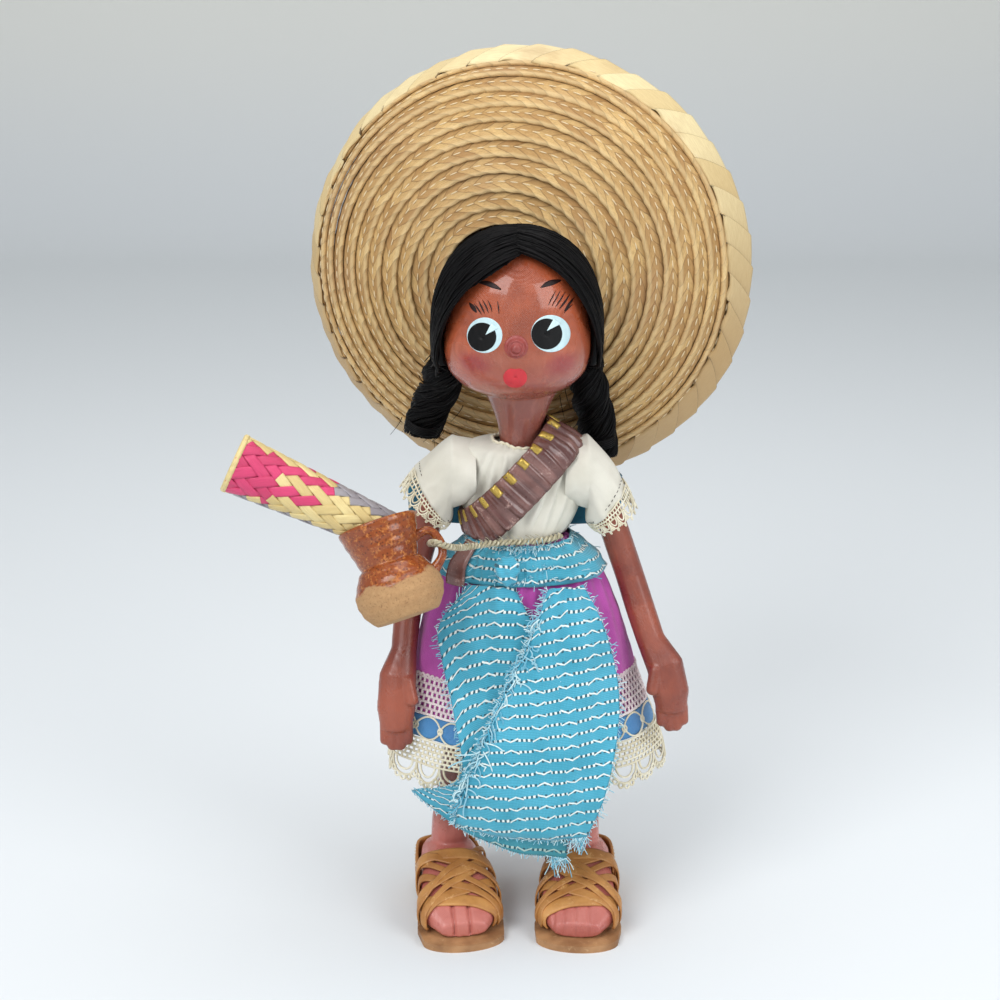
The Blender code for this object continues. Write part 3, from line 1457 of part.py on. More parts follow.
def brim_offset(turn, length):
    """How far out and how far back the brim has run, a length along its slant from the inner ring."""
    top = HAT_TOP_SLOPE_DEG * math.sin(turn) + HAT_SIDE_SLOPE_DEG * math.cos(turn)
    inner, outer = HAT_INNER_SLOPE_DEG, HAT_OUTER_SLOPE_DEG + top
    step = length / HAT_STEPS
    out, back = HAT_RING_RADIUS, 0
    for place in range(HAT_STEPS):
        share = (place + 0.5) * step / HAT_SLANT
        slope = math.radians(inner + (outer - inner) * share**HAT_CURL_POWER)
        out += step * math.cos(slope)
        back += step * math.sin(slope)
    return out, back


def brim_point(turn, length, centre):
    """A place on the brim's front face."""
    crown, right, up = hat_axes()
    out, back = brim_offset(turn, length)
    return centre + right * out * math.cos(turn) + up * out * math.sin(turn) + crown * back


def hat_centre():
    """The middle of the hat's opening, so far back that the brim's ring just meets the hair."""
    centre = Vector((HAT_X, 0, HAT_Z))
    needed = HEAD_Y
    for turn in spread(HAT_SIDES + 1, 0, FULL_TURN)[:-1]:
        for length in spread(HAT_SEAT_SAMPLES, 0, HAT_SLANT * HAT_SEAT_SHARE):
            point = brim_point(turn, length, centre)
            half_width, _, back = head_section(min(point.z, HEAD_TOP))
            side = (point.x - HEAD_X) / (half_width + HAIR_THICKNESS)
            if abs(side) < 1 and point.z < HEAD_TOP + HAIR_TOP_THICKNESS:
                surface = HEAD_Y + (back + HAIR_BACK_THICKNESS) * math.sqrt(1 - side * side)
                needed = max(needed, surface + LAYER_GAP - point.y)
    return Vector((HAT_X, needed, HAT_Z))


def build_hat():
    """The sombrero: the brim, the wide binding round its edge and the crown behind."""
    centre = hat_centre()
    turns = spread(HAT_SIDES + 1, 0, FULL_TURN)[:-1]
    seam = HAT_SLANT - HAT_BINDING_WIDTH
    bands = (
        ("hat_brim", 0, seam - 2 * SEAM_GAP, HAT_RINGS, HAT_THICKNESS),
        ("hat_binding", seam, HAT_SLANT, HAT_BINDING_RINGS, HAT_BINDING_THICKNESS),
    )
    for name, start, end, rings, wall in bands:
        lengths = spread(rings, start, end)
        rows = [[brim_point(turn, length, centre) for turn in turns] for length in lengths]
        add_shell(name, rows, wall, "palm_straw")
    base_radius = HAT_RING_RADIUS + HAT_THICKNESS / 2
    outer = [(share * base_radius, along * CROWN_HEIGHT) for along, share in CROWN_SHARES]
    inner = []
    for radius, height in reversed(outer):
        inner.append((max(radius - HAT_THICKNESS, 0), max(height - HAT_THICKNESS, 0)))
    inner[0] = (base_radius - HAT_THICKNESS, 0)
    crown = add_turned("hat_crown", [*outer, *inner], CROWN_STEPS, "palm_straw")
    crown_way, _, _ = hat_axes()
    turn = crown_way.to_track_quat("Z", "Y").to_matrix().to_4x4()
    lift = crown_way * (HAT_THICKNESS + LAYER_GAP)
    crown.matrix_local = Matrix.Translation(centre + lift) @ turn


def box_of_parts():
    """The lowest and highest corners of every part as it stands."""
    graph = bpy.context.evaluated_depsgraph_get()
    corners = []
    for part in PARTS.objects:
        if part.type == "EMPTY":
            continue
        evaluated = part.evaluated_get(graph)
        mesh = evaluated.to_mesh()
        corners += [evaluated.matrix_world @ vertex.co for vertex in mesh.vertices]
        evaluated.to_mesh_clear()
    lowest = Vector(min(corner[axis] for corner in corners) for axis in range(3))
    highest = Vector(max(corner[axis] for corner in corners) for axis in range(3))
    return lowest, highest


def stand_on_origin():
    """Move the whole doll so that the origin is under the middle of its box."""
    bpy.context.view_layer.update()
    lowest, highest = box_of_parts()
    middle = (lowest + highest) / 2
    DOLL.location = (-middle.x, -middle.y, -lowest.z)


def report_places(pivots):
    """Print where the joints lie, for whoever records them."""
    bpy.context.view_layer.update()
    print("doll frame", [round(value, 6) for value in DOLL.location])
    for name, pivot in pivots.items():
        print(name, [round(value, 6) for value in pivot.matrix_world.translation])
    up, handle_way = jug_axes()
    print("jug up", [round(value, 6) for value in up])
    print("jug swing axis", [round(value, 6) for value in up.cross(handle_way)])
    print("mat way out", [round(value, 6) for value in roll_axis()[1]])
    print("hat centre", [round(value, 6) for value in hat_centre() + DOLL.location])


def main():
    """Build every piece of the doll and stand it on the origin."""
    pivots = {}
    for side in SIDES:
        pivots[f"shoulder_{side}"] = add_pivot(f"shoulder_pivot_{side}", shoulder_place(side))
    pivots["jug"] = add_pivot("jug_pivot", jug_pivot())
    build_torso()
    build_head()
    build_hair()
    build_blouse()
    build_skirt()
    build_waist_band()
    for name in PANEL_EDGES:
        build_shawl_panel(name)
    build_back_cloth()
    build_belt()
    for side in SIDES:
        build_leg(side)
        build_sandal(side)
        build_arm(side, pivots[f"shoulder_{side}"])
        build_sleeve(side, pivots[f"shoulder_{side}"])
    build_jug(pivots["jug"])
    build_roll(pivots["jug"])
    build_twine()
    build_hat()
    stand_on_origin()
    report_places(pivots)


main()
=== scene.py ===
"""The looks of a folk cloth doll: painted head, woven shawl, sewn-braid sombrero, clay jug and palm roll.

Metres, +Z up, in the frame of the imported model, so each piece lies where its CAD node lies.
The doll looks along -Y, and its right side is at -X.
"""

import logging
import math
from collections.abc import Callable, Iterable, Sequence
from dataclasses import dataclass, field
from enum import Enum

import bmesh
import bpy
import numpy as np
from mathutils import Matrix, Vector
from mathutils.bvhtree import BVHTree

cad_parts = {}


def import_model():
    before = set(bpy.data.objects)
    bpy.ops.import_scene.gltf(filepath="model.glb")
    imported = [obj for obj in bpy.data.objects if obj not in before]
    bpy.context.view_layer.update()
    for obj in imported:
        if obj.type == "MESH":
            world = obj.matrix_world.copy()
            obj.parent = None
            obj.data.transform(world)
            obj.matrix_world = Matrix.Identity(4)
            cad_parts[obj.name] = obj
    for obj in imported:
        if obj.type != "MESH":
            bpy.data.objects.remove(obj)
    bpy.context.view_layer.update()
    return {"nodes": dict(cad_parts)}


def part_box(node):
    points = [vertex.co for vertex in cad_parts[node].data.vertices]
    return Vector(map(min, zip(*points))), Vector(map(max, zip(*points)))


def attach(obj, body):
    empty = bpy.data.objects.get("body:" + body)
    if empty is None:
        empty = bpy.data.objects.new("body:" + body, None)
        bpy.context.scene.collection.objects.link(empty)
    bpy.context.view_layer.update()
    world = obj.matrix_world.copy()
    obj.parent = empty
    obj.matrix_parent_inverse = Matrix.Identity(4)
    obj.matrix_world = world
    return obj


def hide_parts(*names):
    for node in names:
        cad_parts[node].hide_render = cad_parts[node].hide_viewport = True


LOG = logging.getLogger("folk_doll")
MM = 0.001
TURN = 2 * math.pi
# The doll's own middle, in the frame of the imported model
DOLL = np.array((0.008587, -0.005984, 0.0))
PHOTO_PIXELS = 1000
# How far from the axis a ray starts that looks inwards for a surface
FAR = 0.06
UP = np.array((0, 0, 1.0))
Table = Sequence[Sequence[float]]
Colour = tuple[float, ...]


class Body(Enum):
    """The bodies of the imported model."""

    DOLL = "doll"
    RIGHT_ARM = "right_arm"
    LEFT_ARM = "left_arm"
    JUG = "jug"
    ROLL = "roll"


class Side(Enum):
    """The doll's own right and left, with their signs along X."""

    RIGHT = -1
    LEFT = 1

    @property
    def word(self) -> str:
        """The side as it stands in the CAD nodes' names."""
        return self.name.lower()

    @property
    def arm(self) -> Body:
        """The body that carries this side's arm."""
        return Body.RIGHT_ARM if self is Side.RIGHT else Body.LEFT_ARM


class Where(Enum):
    """What a pattern follows."""

    OBJECT = "Object"
    SURFACE = "UV"


def tone(red: float, green: float, blue: float) -> Colour:
    """A colour written as 0 to 255 on screen, in linear light."""
    made = []
    for value in (red, green, blue):
        share = value / 255
        made.append(share / 12.92 if share <= 0.04045 else ((share + 0.055) / 1.055) ** 2.4)
    return (*made, 1.0)


def smooth_table(table: Table, shares: Iterable[float]) -> np.ndarray:
    """Smooth values at shares, from rows that each hold a share and then their values.

    Args:
        table: The rows, with rising shares.
        shares: Where to read.

    Returns:
        One row of values for each share.
    """
    rows = np.array(table, float)
    stops, values = rows[:, 0], rows[:, 1:]
    slopes = np.gradient(values, stops, axis=0)
    wanted = np.clip(np.atleast_1d(np.asarray(shares, float)), stops[0], stops[-1])
    index = np.clip(np.searchsorted(stops, wanted, side="right") - 1, 0, len(stops) - 2)
    span = (stops[index + 1] - stops[index])[:, None]
    part = (wanted - stops[index])[:, None] / span
    low, high = values[index], values[index + 1]
    leave, arrive = slopes[index] * span, slopes[index + 1] * span
    return (
        low
        + leave * part
        + (3 * (high - low) - 2 * leave - arrive) * part**2
        + (2 * (low - high) + leave + arrive) * part**3
    )


def run_along(line: np.ndarray) -> np.ndarray:
    """The length from a line's start to each of its points."""
    return np.concatenate(([0], np.cumsum(np.linalg.norm(np.diff(line, axis=0), axis=1))))


def all_round(count: int) -> np.ndarray:
    """Even turns right round, without the last, which is the first again."""
    return np.linspace(0, TURN, count, endpoint=False)


def looped(ring: np.ndarray) -> np.ndarray:
    """A ring of points with its start laid over its end."""
    return np.concatenate((ring, ring[:2]))


def between(places: np.ndarray, known: Sequence[float], points: np.ndarray) -> np.ndarray:
    """Points at places along a line, from its points at the known places."""
    return np.stack([np.interp(places, known, points[:, axis]) for axis in range(points.shape[1])], axis=1)


def route(points: Table, count: int) -> np.ndarray:
    """Evenly spaced points on a smooth curve through the given ones."""
    table = [(place, *point) for place, point in enumerate(points)]
    fine = smooth_table(table, np.linspace(0, len(points) - 1, count * 6))
    run = run_along(fine)
    even = np.linspace(0, run[-1], count)
    return between(even, run, fine)


def unit(ways: np.ndarray) -> np.ndarray:
    """Vectors at length one."""
    return ways / np.maximum(np.linalg.norm(ways, axis=-1, keepdims=True), 1e-12)


def blur(values: np.ndarray, reach: float, axis: int, around: bool) -> np.ndarray:
    """Values evened out along one axis.

    Args:
        values: The values.
        reach: The blur's standard deviation, in steps.
        axis: The axis to blur along.
        around: Whether the axis closes on itself.

    Returns:
        The blurred values.
    """
    if reach <= 0:
        return values
    width = max(int(3 * reach), 1)
    steps = np.arange(-width, width + 1)
    weights = np.exp(-(steps**2) / (2 * reach**2))
    weights /= weights.sum()
    pads = [(0, 0)] * values.ndim
    pads[axis] = (width, width)
    padded = np.pad(values, pads, mode="wrap" if around else "edge")
    count = values.shape[axis]
    return sum(weight * np.take(padded, range(step, step + count), axis) for step, weight in enumerate(weights))


def lumps(shape: tuple[int, ...], seed: int, reach: float, around: bool = False) -> np.ndarray:
    """Smooth random values of about one, the same at each run."""
    made = np.random.default_rng(seed).normal(size=shape)
    for axis in range(len(shape)):
        made = blur(made, reach, axis, around and axis == 1)
    return made / max(made.std(), 1e-9)


@dataclass
class Shape:
    """Points and faces gathered for one mesh, with a place on the surface and a tint for each."""

    points: list[np.ndarray] = field(default_factory=list)
    faces: list[np.ndarray] = field(default_factory=list)
    places: list[np.ndarray] = field(default_factory=list)
    tints: list[np.ndarray] = field(default_factory=list)
    count: int = 0

    def take(self, points: np.ndarray, tint: float | np.ndarray) -> int:
        """Add points, and return the number of the first."""
        flat = points.reshape(-1, 3)
        first = self.count
        self.points.append(flat)
        self.tints.append(np.broadcast_to(np.asarray(tint, float).ravel(), (len(flat),)))
        self.count += len(flat)
        return first

    def quads(self, corners: Sequence[np.ndarray], places: Sequence[np.ndarray]) -> None:
        """Add faces from four arrays of corner numbers and four of surface places."""
        self.faces.append(np.stack([corner.ravel() for corner in corners], axis=1))
        self.places.append(np.stack([place.reshape(-1, 2) for place in places], axis=1))

    def sheet(
        self,
        grid: np.ndarray,
        wall: float,
        around: bool = False,
        places: np.ndarray | None = None,
        lean: float = 1.0,
        tint: float | np.ndarray = 0.0,
    ) -> None:
        """Add a sheet with a wall and closed rims.

        Args:
            grid: Rows of points. Columns cross rows points outwards.
            wall: The sheet's thickness.
            around: Whether the columns close on themselves.
            places: The surface place of each point, in millimetres, with one more column when around.
            lean: The share of the wall that lies inside the grid.
            tint: One tint, or one for each point of the grid.
        """
        rows, columns = grid.shape[:2]
        down = np.gradient(grid, axis=0)
        if around:
            wide = np.concatenate((grid[:, -1:], grid, grid[:, :1]), axis=1)
            side = np.gradient(wide, axis=1)[:, 1:-1]
        else:
            side = np.gradient(grid, axis=1)
        normal = unit(np.cross(side, down))
        outer = grid + normal * wall * (1 - lean)
        inner = grid - normal * wall * lean
        if places is None:
            places = surface_places(grid, around)
        tints = np.broadcast_to(np.asarray(tint, float), (rows, columns))
        first = self.take(outer, tints)
        second = self.take(inner, tints)
        number = np.arange(rows * columns).reshape(rows, columns)
        if around:
            number = np.concatenate((number, number[:, :1]), axis=1)
        here, right = number[:-1, :-1], number[:-1, 1:]
        above, across = number[1:, :-1], number[1:, 1:]
        spots = (places[:-1, :-1], places[:-1, 1:], places[1:, 1:], places[1:, :-1])
        self.quads([first + corner for corner in (here, right, across, above)], spots)
        self.quads([second + corner for corner in (above, across, right, here)], spots[::-1])
        rims = [(number[0], places[0], False), (number[-1], places[-1], True)]
        if not around:
            rims += [(number[:, 0], places[:, 0], True), (number[:, -1], places[:, -1], False)]
        for edge, spot, turned in rims:
            before, after = (edge[1:], edge[:-1]) if turned else (edge[:-1], edge[1:])
            start, end = (spot[1:], spot[:-1]) if turned else (spot[:-1], spot[1:])
            self.quads((second + before, second + after, first + after, first + before), (start, end, end, start))

    def bar(self, sections: np.ndarray, places: np.ndarray | None = None, tint: float | np.ndarray = 0.0) -> None:
        """Add a closed bar from its sections, each a loop of points, with its two ends closed."""
        count, sides = sections.shape[:2]
        if places is None:
            places = surface_places(sections, True)
        tints = np.broadcast_to(np.asarray(tint, float), (count, sides))
        first = self.take(sections, tints)
        number = first + np.arange(count * sides).reshape(count, sides)
        loop = np.concatenate((number, number[:, :1]), axis=1)
        corners = (loop[:-1, :-1], loop[:-1, 1:], loop[1:, 1:], loop[1:, :-1])
        spots = (places[:-1, :-1], places[:-1, 1:], places[1:, 1:], places[1:, :-1])
        self.quads(corners, spots)
        for end, spot, turned in ((number[0], places[0], True), (number[-1], places[-1], False)):
            middle = self.take(sections[0 if turned else -1].mean(axis=0), tints[0 if turned else -1, 0])
            ring = np.append(end, end[0])
            a, b = (ring[1:], ring[:-1]) if turned else (ring[:-1], ring[1:])
            hub = np.full(sides, middle)
            edge = spot[:sides]
            self.quads((a, b, hub, hub), (edge, edge, edge, edge))

    def mesh(self, name: str) -> bpy.types.Mesh:
        """The finished mesh, shaded smooth, with its surface places as a UV map and its tints."""
        faces = np.concatenate(self.faces)
        places = np.concatenate(self.places)
        fans = faces[:, 2] == faces[:, 3]
        sizes = np.where(fans, 3, 4)
        keep = np.ones(faces.shape, bool)
        keep[fans, 3] = False
        made = bpy.data.meshes.new(name)
        made.vertices.add(self.count)
        made.vertices.foreach_set("co", np.concatenate(self.points).ravel().astype(np.float32))
        made.loops.add(int(sizes.sum()))
        made.loops.foreach_set("vertex_index", faces[keep].astype(np.int32))
        made.polygons.add(len(faces))
        made.polygons.foreach_set("loop_start", np.concatenate(([0], np.cumsum(sizes)[:-1])).astype(np.int32))
        made.update(calc_edges=True)
        spots = made.uv_layers.new(name="UVMap")
        spots.uv.foreach_set("vector", places[keep].ravel().astype(np.float32))
        tints = made.attributes.new("tint", "FLOAT", "POINT")
        tints.data.foreach_set("value", np.concatenate(self.tints).astype(np.float32))
        made.shade_smooth()
        made.validate()
        return made


def surface_places(grid: np.ndarray, around: bool) -> np.ndarray:
    """Places on a grid's surface, in millimetres along its columns and rows."""
    loop = np.concatenate((grid, grid[:, :1]), axis=1) if around else grid
    along = np.linalg.norm(np.diff(loop, axis=1), axis=2).mean(axis=0)
    down = np.linalg.norm(np.diff(loop, axis=0), axis=2).mean(axis=1)
    across = np.concatenate(([0], np.cumsum(along))) / MM
    up = np.concatenate(([0], np.cumsum(down))) / MM
    return np.stack(np.meshgrid(across, up), axis=2)


@dataclass
class Skin:
    """The outside of some solids, found by casting rays."""

    tree: BVHTree

    @classmethod
    def over(cls, things: Sequence[bpy.types.Object]) -> "Skin":
        """The outside of these objects."""
        points: list[Vector] = []
        faces: list[list[int]] = []
        for thing in things:
            first = len(points)
            points += [vertex.co.copy() for vertex in thing.data.vertices]
            faces += [[first + number for number in face.vertices] for face in thing.data.polygons]
        return cls(BVHTree.FromPolygons(points, faces))

    def from_outside(self, origins: np.ndarray, ways: np.ndarray, far: float = 0.2) -> np.ndarray:
        """How far out along each way the outermost surface lies, not a number where there is none."""
        flat_origins = np.broadcast_to(origins, ways.shape).reshape(-1, 3)
        flat_ways = ways.reshape(-1, 3)
        found = np.full(len(flat_ways), np.nan)
        for place, (origin, way) in enumerate(zip(flat_origins, flat_ways)):
            hit = self.tree.ray_cast(Vector(origin + way * far), Vector(-way), far)
            if hit[0] is not None:
                found[place] = far - hit[3]
        return found.reshape(ways.shape[:-1])


def fill_gaps(values: np.ndarray) -> np.ndarray:
    """Values with each missing one taken from its neighbours along its row, or else its column."""
    filled = values.copy()
    for axis in (1, 0):
        lines = filled if axis else filled.T
        for line in lines:
            known = ~np.isnan(line)
            if known.any() and not known.all():
                spots = np.arange(len(line))
                line[~known] = np.interp(spots[~known], spots[known], line[known])
    return filled


class Recipe:
    """A node material, mixed step by step. Each step gives the socket that its result comes from."""

    def __init__(self, name: str) -> None:
        """Start from a plain Principled surface."""
        self.material = bpy.data.materials.new(name)
        self.material.use_nodes = True
        self.tree = self.material.node_tree
        self.shader = self.tree.nodes["Principled BSDF"]

    def feed(self, socket: bpy.types.NodeSocket, value: object) -> None:
        """Set a socket, or link another to it."""
        if isinstance(value, bpy.types.NodeSocket):
            self.tree.links.new(value, socket)
        elif value is not None:
            socket.default_value = value

    def add(self, kind: str, *values: object, result: int | str = 0, **settings: object) -> bpy.types.NodeSocket:
        """Add a shader node with its inputs in order.

        Args:
            kind: The node's type, without its ShaderNode prefix.
            values: Its inputs, None for one that is left alone.
            result: Which output to give.
            settings: Its properties.

        Returns:
            The output.
        """
        node = self.tree.nodes.new("ShaderNode" + kind)
        for key, value in settings.items():
            setattr(node, key, value)
        for socket, value in zip(node.inputs, values):
            self.feed(socket, value)
        return node.outputs[result]

    def math(self, operation: str, a: object, b: object = None, clamp: bool = False) -> bpy.types.NodeSocket:
        """A Math node."""
        return self.add("Math", a, b, operation=operation, use_clamp=clamp)

    def plus(self, a: object, b: object) -> bpy.types.NodeSocket:
        """Two values added."""
        return self.math("ADD", a, b)

    def minus(self, a: object, b: object, clamp: bool = False) -> bpy.types.NodeSocket:
        """One value less another, kept from 0 to 1 if clamped."""
        return self.math("SUBTRACT", a, b, clamp)

    def times(self, a: object, b: object) -> bpy.types.NodeSocket:
        """Two values multiplied."""
        return self.math("MULTIPLY", a, b)

    def place(self, source: Where, scale: Sequence[float] = (1, 1, 1), turn: float = 0.0) -> bpy.types.NodeSocket:
        """Coordinates on the piece, scaled and turned about Z."""
        found = self.add("TexCoord", result=source.value)
        return self.add("Mapping", found, None, (0, 0, turn), tuple(scale))

    def axes(self, source: Where) -> list[bpy.types.NodeSocket]:
        """The coordinates one by one: millimetres along and up on a surface, metres on an object."""
        found = self.add("TexCoord", result=source.value)
        split = self.tree.nodes.new("ShaderNodeSeparateXYZ")
        self.feed(split.inputs[0], found)
        return list(split.outputs)

    def noise(self, where: object, scale: float, detail: float = 3, rough: float = 0.55) -> bpy.types.NodeSocket:
        """Soft noise from 0 to 1."""
        return self.add("TexNoise", where, None, scale, detail, rough)

    def stretch(
        self, value: object, low: float, high: float, start: float = 0.0, end: float = 1.0
    ) -> bpy.types.NodeSocket:
        """A value's range laid smoothly on another."""
        return self.add("MapRange", value, low, high, start, end, interpolation_type="SMOOTHSTEP")

    def mix(self, share: object, a: object, b: object, kind: str = "MIX") -> bpy.types.NodeSocket:
        """Two colours mixed."""
        node = self.tree.nodes.new("ShaderNodeMix")
        node.data_type, node.blend_type = "RGBA", kind
        for place, value in ((0, share), (6, a), (7, b)):
            self.feed(node.inputs[place], value)
        return node.outputs[2]

    def wave(self, value: object, pitch: float) -> bpy.types.NodeSocket:
        """A wave from -1 to 1, one for each pitch."""
        return self.math("SINE", self.times(value, TURN / pitch))

    def ripple(self, value: object, pitch: float) -> bpy.types.NodeSocket:
        """A wave from 0 to 1, one for each pitch."""
        return self.math("MULTIPLY_ADD", self.wave(value, pitch), 0.5)

    def weave(self, pitch: float) -> bpy.types.NodeSocket:
        """The height of a plain weave in the surface's own millimetres."""
        across, along, _ = self.axes(Where.SURFACE)
        return self.times(self.wave(across, pitch), self.wave(along, pitch))

    def canvas(self, pitch: float) -> bpy.types.NodeSocket:
        """The height of a plain weave on a rounded piece, from whichever two axes face it."""
        waves = [self.wave(axis, pitch * MM) for axis in self.axes(Where.OBJECT)]
        normal = self.tree.nodes.new("ShaderNodeSeparateXYZ")
        self.feed(normal.inputs[0], self.add("NewGeometry", result="Normal"))
        total: object = 0.0
        for facing, (a, b) in enumerate(((1, 2), (0, 2), (0, 1))):
            share = self.math("POWER", self.math("ABSOLUTE", normal.outputs[facing]), 2.0)
            total = self.plus(self.times(self.times(waves[a], waves[b]), share), total)
        return total

    def tint(self) -> bpy.types.NodeSocket:
        """The tint that each thread, strip or point was given."""
        return self.add("Attribute", result="Fac", attribute_name="tint")

    def finish(
        self,
        colour: object,
        roughness: object,
        height: object = None,
        depth: float = 0.0,
        **values: object,
    ) -> bpy.types.Material:
        """Wire the surface.

        Args:
            colour: Its colour.
            roughness: Its roughness.
            height: The height of its relief, if any.
            depth: How deep the relief is, in millimetres.
            values: Other sockets of the shader, with their names' spaces left out.

        Returns:
            The material.
        """
        self.feed(self.shader.inputs["Base Color"], colour)
        self.feed(self.shader.inputs["Roughness"], roughness)
        if height is not None:
            relief = self.tree.nodes.new("ShaderNodeBump")
            relief.inputs["Distance"].default_value = depth * MM
            self.feed(relief.inputs["Height"], height)
            self.feed(self.shader.inputs["Normal"], relief.outputs[0])
        for socket in self.shader.inputs:
            if socket.name.replace(" ", "") in values:
                self.feed(socket, values[socket.name.replace(" ", "")])
        return self.material


@dataclass(frozen=True)
class Finish:
    """A surface with a name and two colours that run into each other."""

    name: str
    colour: Colour
    shadow: Colour


@dataclass(frozen=True)
class PaintedCloth(Finish):
    """Canvas under glossy paint."""

    weave: float = 0.62
    depth: float = 0.05

    def make(self) -> bpy.types.Material:
        """The material."""
        mix = Recipe(self.name)
        where = mix.place(Where.OBJECT)
        patches = mix.stretch(mix.noise(where, 55, 4), 0.3, 0.72)
        colour = mix.mix(patches, self.colour, self.shadow)
        fine = mix.noise(where, 900, 2)
        colour = mix.mix(mix.times(fine, 0.25), colour, self.shadow)
        height = mix.plus(mix.canvas(self.weave), mix.times(mix.noise(where, 240, 3), 1.2))
        rough = mix.stretch(mix.noise(where, 130, 3), 0.3, 0.7, 0.2, 0.46)
        return mix.finish(colour, rough, height, self.depth, CoatWeight=0.35, CoatRoughness=0.22)


@dataclass(frozen=True)
class WovenCloth(Finish):
    """Plain woven cloth: two close colours, a weave with painted shade in its grooves, and a little fuzz."""

    weave: float = 0.5
    depth: float = 0.06
    sheen: float = 0.25
    roughness: float = 0.85

    def make(self) -> bpy.types.Material:
        """The material."""
        mix = Recipe(self.name)
        where = mix.place(Where.OBJECT)
        weave = mix.weave(self.weave)
        patches = mix.stretch(mix.noise(where, 70, 4), 0.3, 0.75)
        colour = mix.mix(mix.times(patches, 0.6), self.colour, self.shadow)
        # Painted shade: the weave's grooves are darkened towards the second colour.
        groove_shade = mix.stretch(weave, -1, 0.2, 0.4, 0.0)
        colour = mix.mix(groove_shade, colour, self.shadow)
        slubs = mix.noise(mix.place(Where.SURFACE, (0.25, 4, 1)), 1.0, 2)
        height = mix.plus(weave, mix.times(slubs, 1.4))
        return mix.finish(colour, self.roughness, height, self.depth, SheenWeight=self.sheen)


@dataclass(frozen=True)
class StripedShawl:
    """Blue plain weave with raised rows of white waves and of white and dark dots, painted shade between its weft
    threads, and painted shade where its tint is high.
    """

    name: str = "woven_shawl"
    row: float = 4.3
    motif: float = 10.3
    dot: float = 1.65

    def make(self) -> bpy.types.Material:
        """The material."""
        mix = Recipe(self.name)
        across, along, _ = mix.axes(Where.SURFACE)
        where = mix.place(Where.OBJECT)
        wobble = mix.times(mix.minus(mix.noise(where, 420, 2), 0.5), 0.7)
        rows = mix.math("DIVIDE", mix.plus(along, wobble), self.row)
        up = mix.times(mix.minus(mix.math("FRACT", rows), 0.5), self.row)
        side = mix.plus(across, mix.times(wobble, 0.6))
        motifs = mix.math("DIVIDE", side, self.motif)
        motif = mix.math("FRACT", motifs)
        in_wave = mix.math("LESS_THAN", motif, 0.52)
        odd = mix.math("FRACT", mix.times(mix.plus(mix.math("FLOOR", rows), mix.math("FLOOR", motifs)), 0.5))
        flip = mix.minus(mix.times(mix.math("GREATER_THAN", odd, 0.25), 2.0), 1.0)
        peak = mix.math("ABSOLUTE", mix.minus(mix.math("DIVIDE", motif, 0.26), 1.0))
        line = mix.times(mix.times(mix.minus(peak, 0.5), flip), 1.25)
        from_line = mix.math("ABSOLUTE", mix.minus(up, line))
        wave = mix.times(mix.stretch(from_line, 0.4, 0.2), in_wave)
        in_row = mix.stretch(mix.math("ABSOLUTE", up), 0.6, 0.4)
        dots = mix.math("FRACT", mix.math("DIVIDE", side, self.dot))
        white_dot = mix.times(mix.math("LESS_THAN", dots, 0.52), mix.minus(1.0, in_wave))
        white = mix.math("MAXIMUM", wave, mix.times(white_dot, in_row), True)
        dark = mix.times(mix.minus(in_row, white, True), mix.math("GREATER_THAN", dots, 0.45))
        weft = mix.ripple(along, 0.62)
        warp = mix.ripple(across, 0.5)
        patches = mix.stretch(mix.noise(where, 60, 4), 0.3, 0.75)
        blue = mix.mix(patches, tone(86, 184, 212), tone(60, 158, 184))
        # Painted shade: the blue is darkened between the weft threads.
        blue = mix.mix(mix.times(mix.minus(1.0, weft), 0.4), blue, tone(38, 128, 156))
        # Painted shade: the tint darkens the blue here and the white below, most at the bottom of the back panel.
        blue = mix.mix(mix.times(mix.tint(), 0.75), blue, tone(48, 120, 122))
        colour = mix.mix(mix.times(dark, 0.8), blue, tone(24, 52, 62))
        pale = mix.mix(mix.tint(), tone(236, 244, 240), tone(150, 186, 178))
        colour = mix.mix(white, colour, pale)
        relief = mix.plus(mix.times(mix.times(weft, warp), 0.6), white)
        return mix.finish(colour, 0.88, relief, 0.14, SheenWeight=0.3)


@dataclass(frozen=True)
class Thread(Finish):
    """Spun thread or hair: each one a little lighter or darker than the next."""

    roughness: float = 0.85
    fuzz: float = 1500.0
    sheen: float = 0.2

    def make(self) -> bpy.types.Material:
        """The material."""
        mix = Recipe(self.name)
        where = mix.place(Where.OBJECT)
        fibre = mix.noise(where, self.fuzz, 2)
        colour = mix.mix(mix.tint(), self.colour, self.shadow)
        colour = mix.mix(mix.stretch(fibre, 0.45, 0.8, 0, 0.5), colour, self.shadow)
        return mix.finish(colour, self.roughness, fibre, 0.08, SheenWeight=self.sheen)


@dataclass(frozen=True)
class Hairs(Finish):
    """Black hair with a low gloss, each strand a little different."""

    def make(self) -> bpy.types.Material:
        """The material."""
        mix = Recipe(self.name)
        fibre = mix.noise(mix.place(Where.OBJECT, (1, 1, 0.3)), 800, 2)
        colour = mix.mix(mix.tint(), self.colour, self.shadow)
        rough = mix.stretch(fibre, 0.3, 0.7, 0.42, 0.6)
        return mix.finish(colour, rough, fibre, 0.06, SpecularIORLevel=0.12)


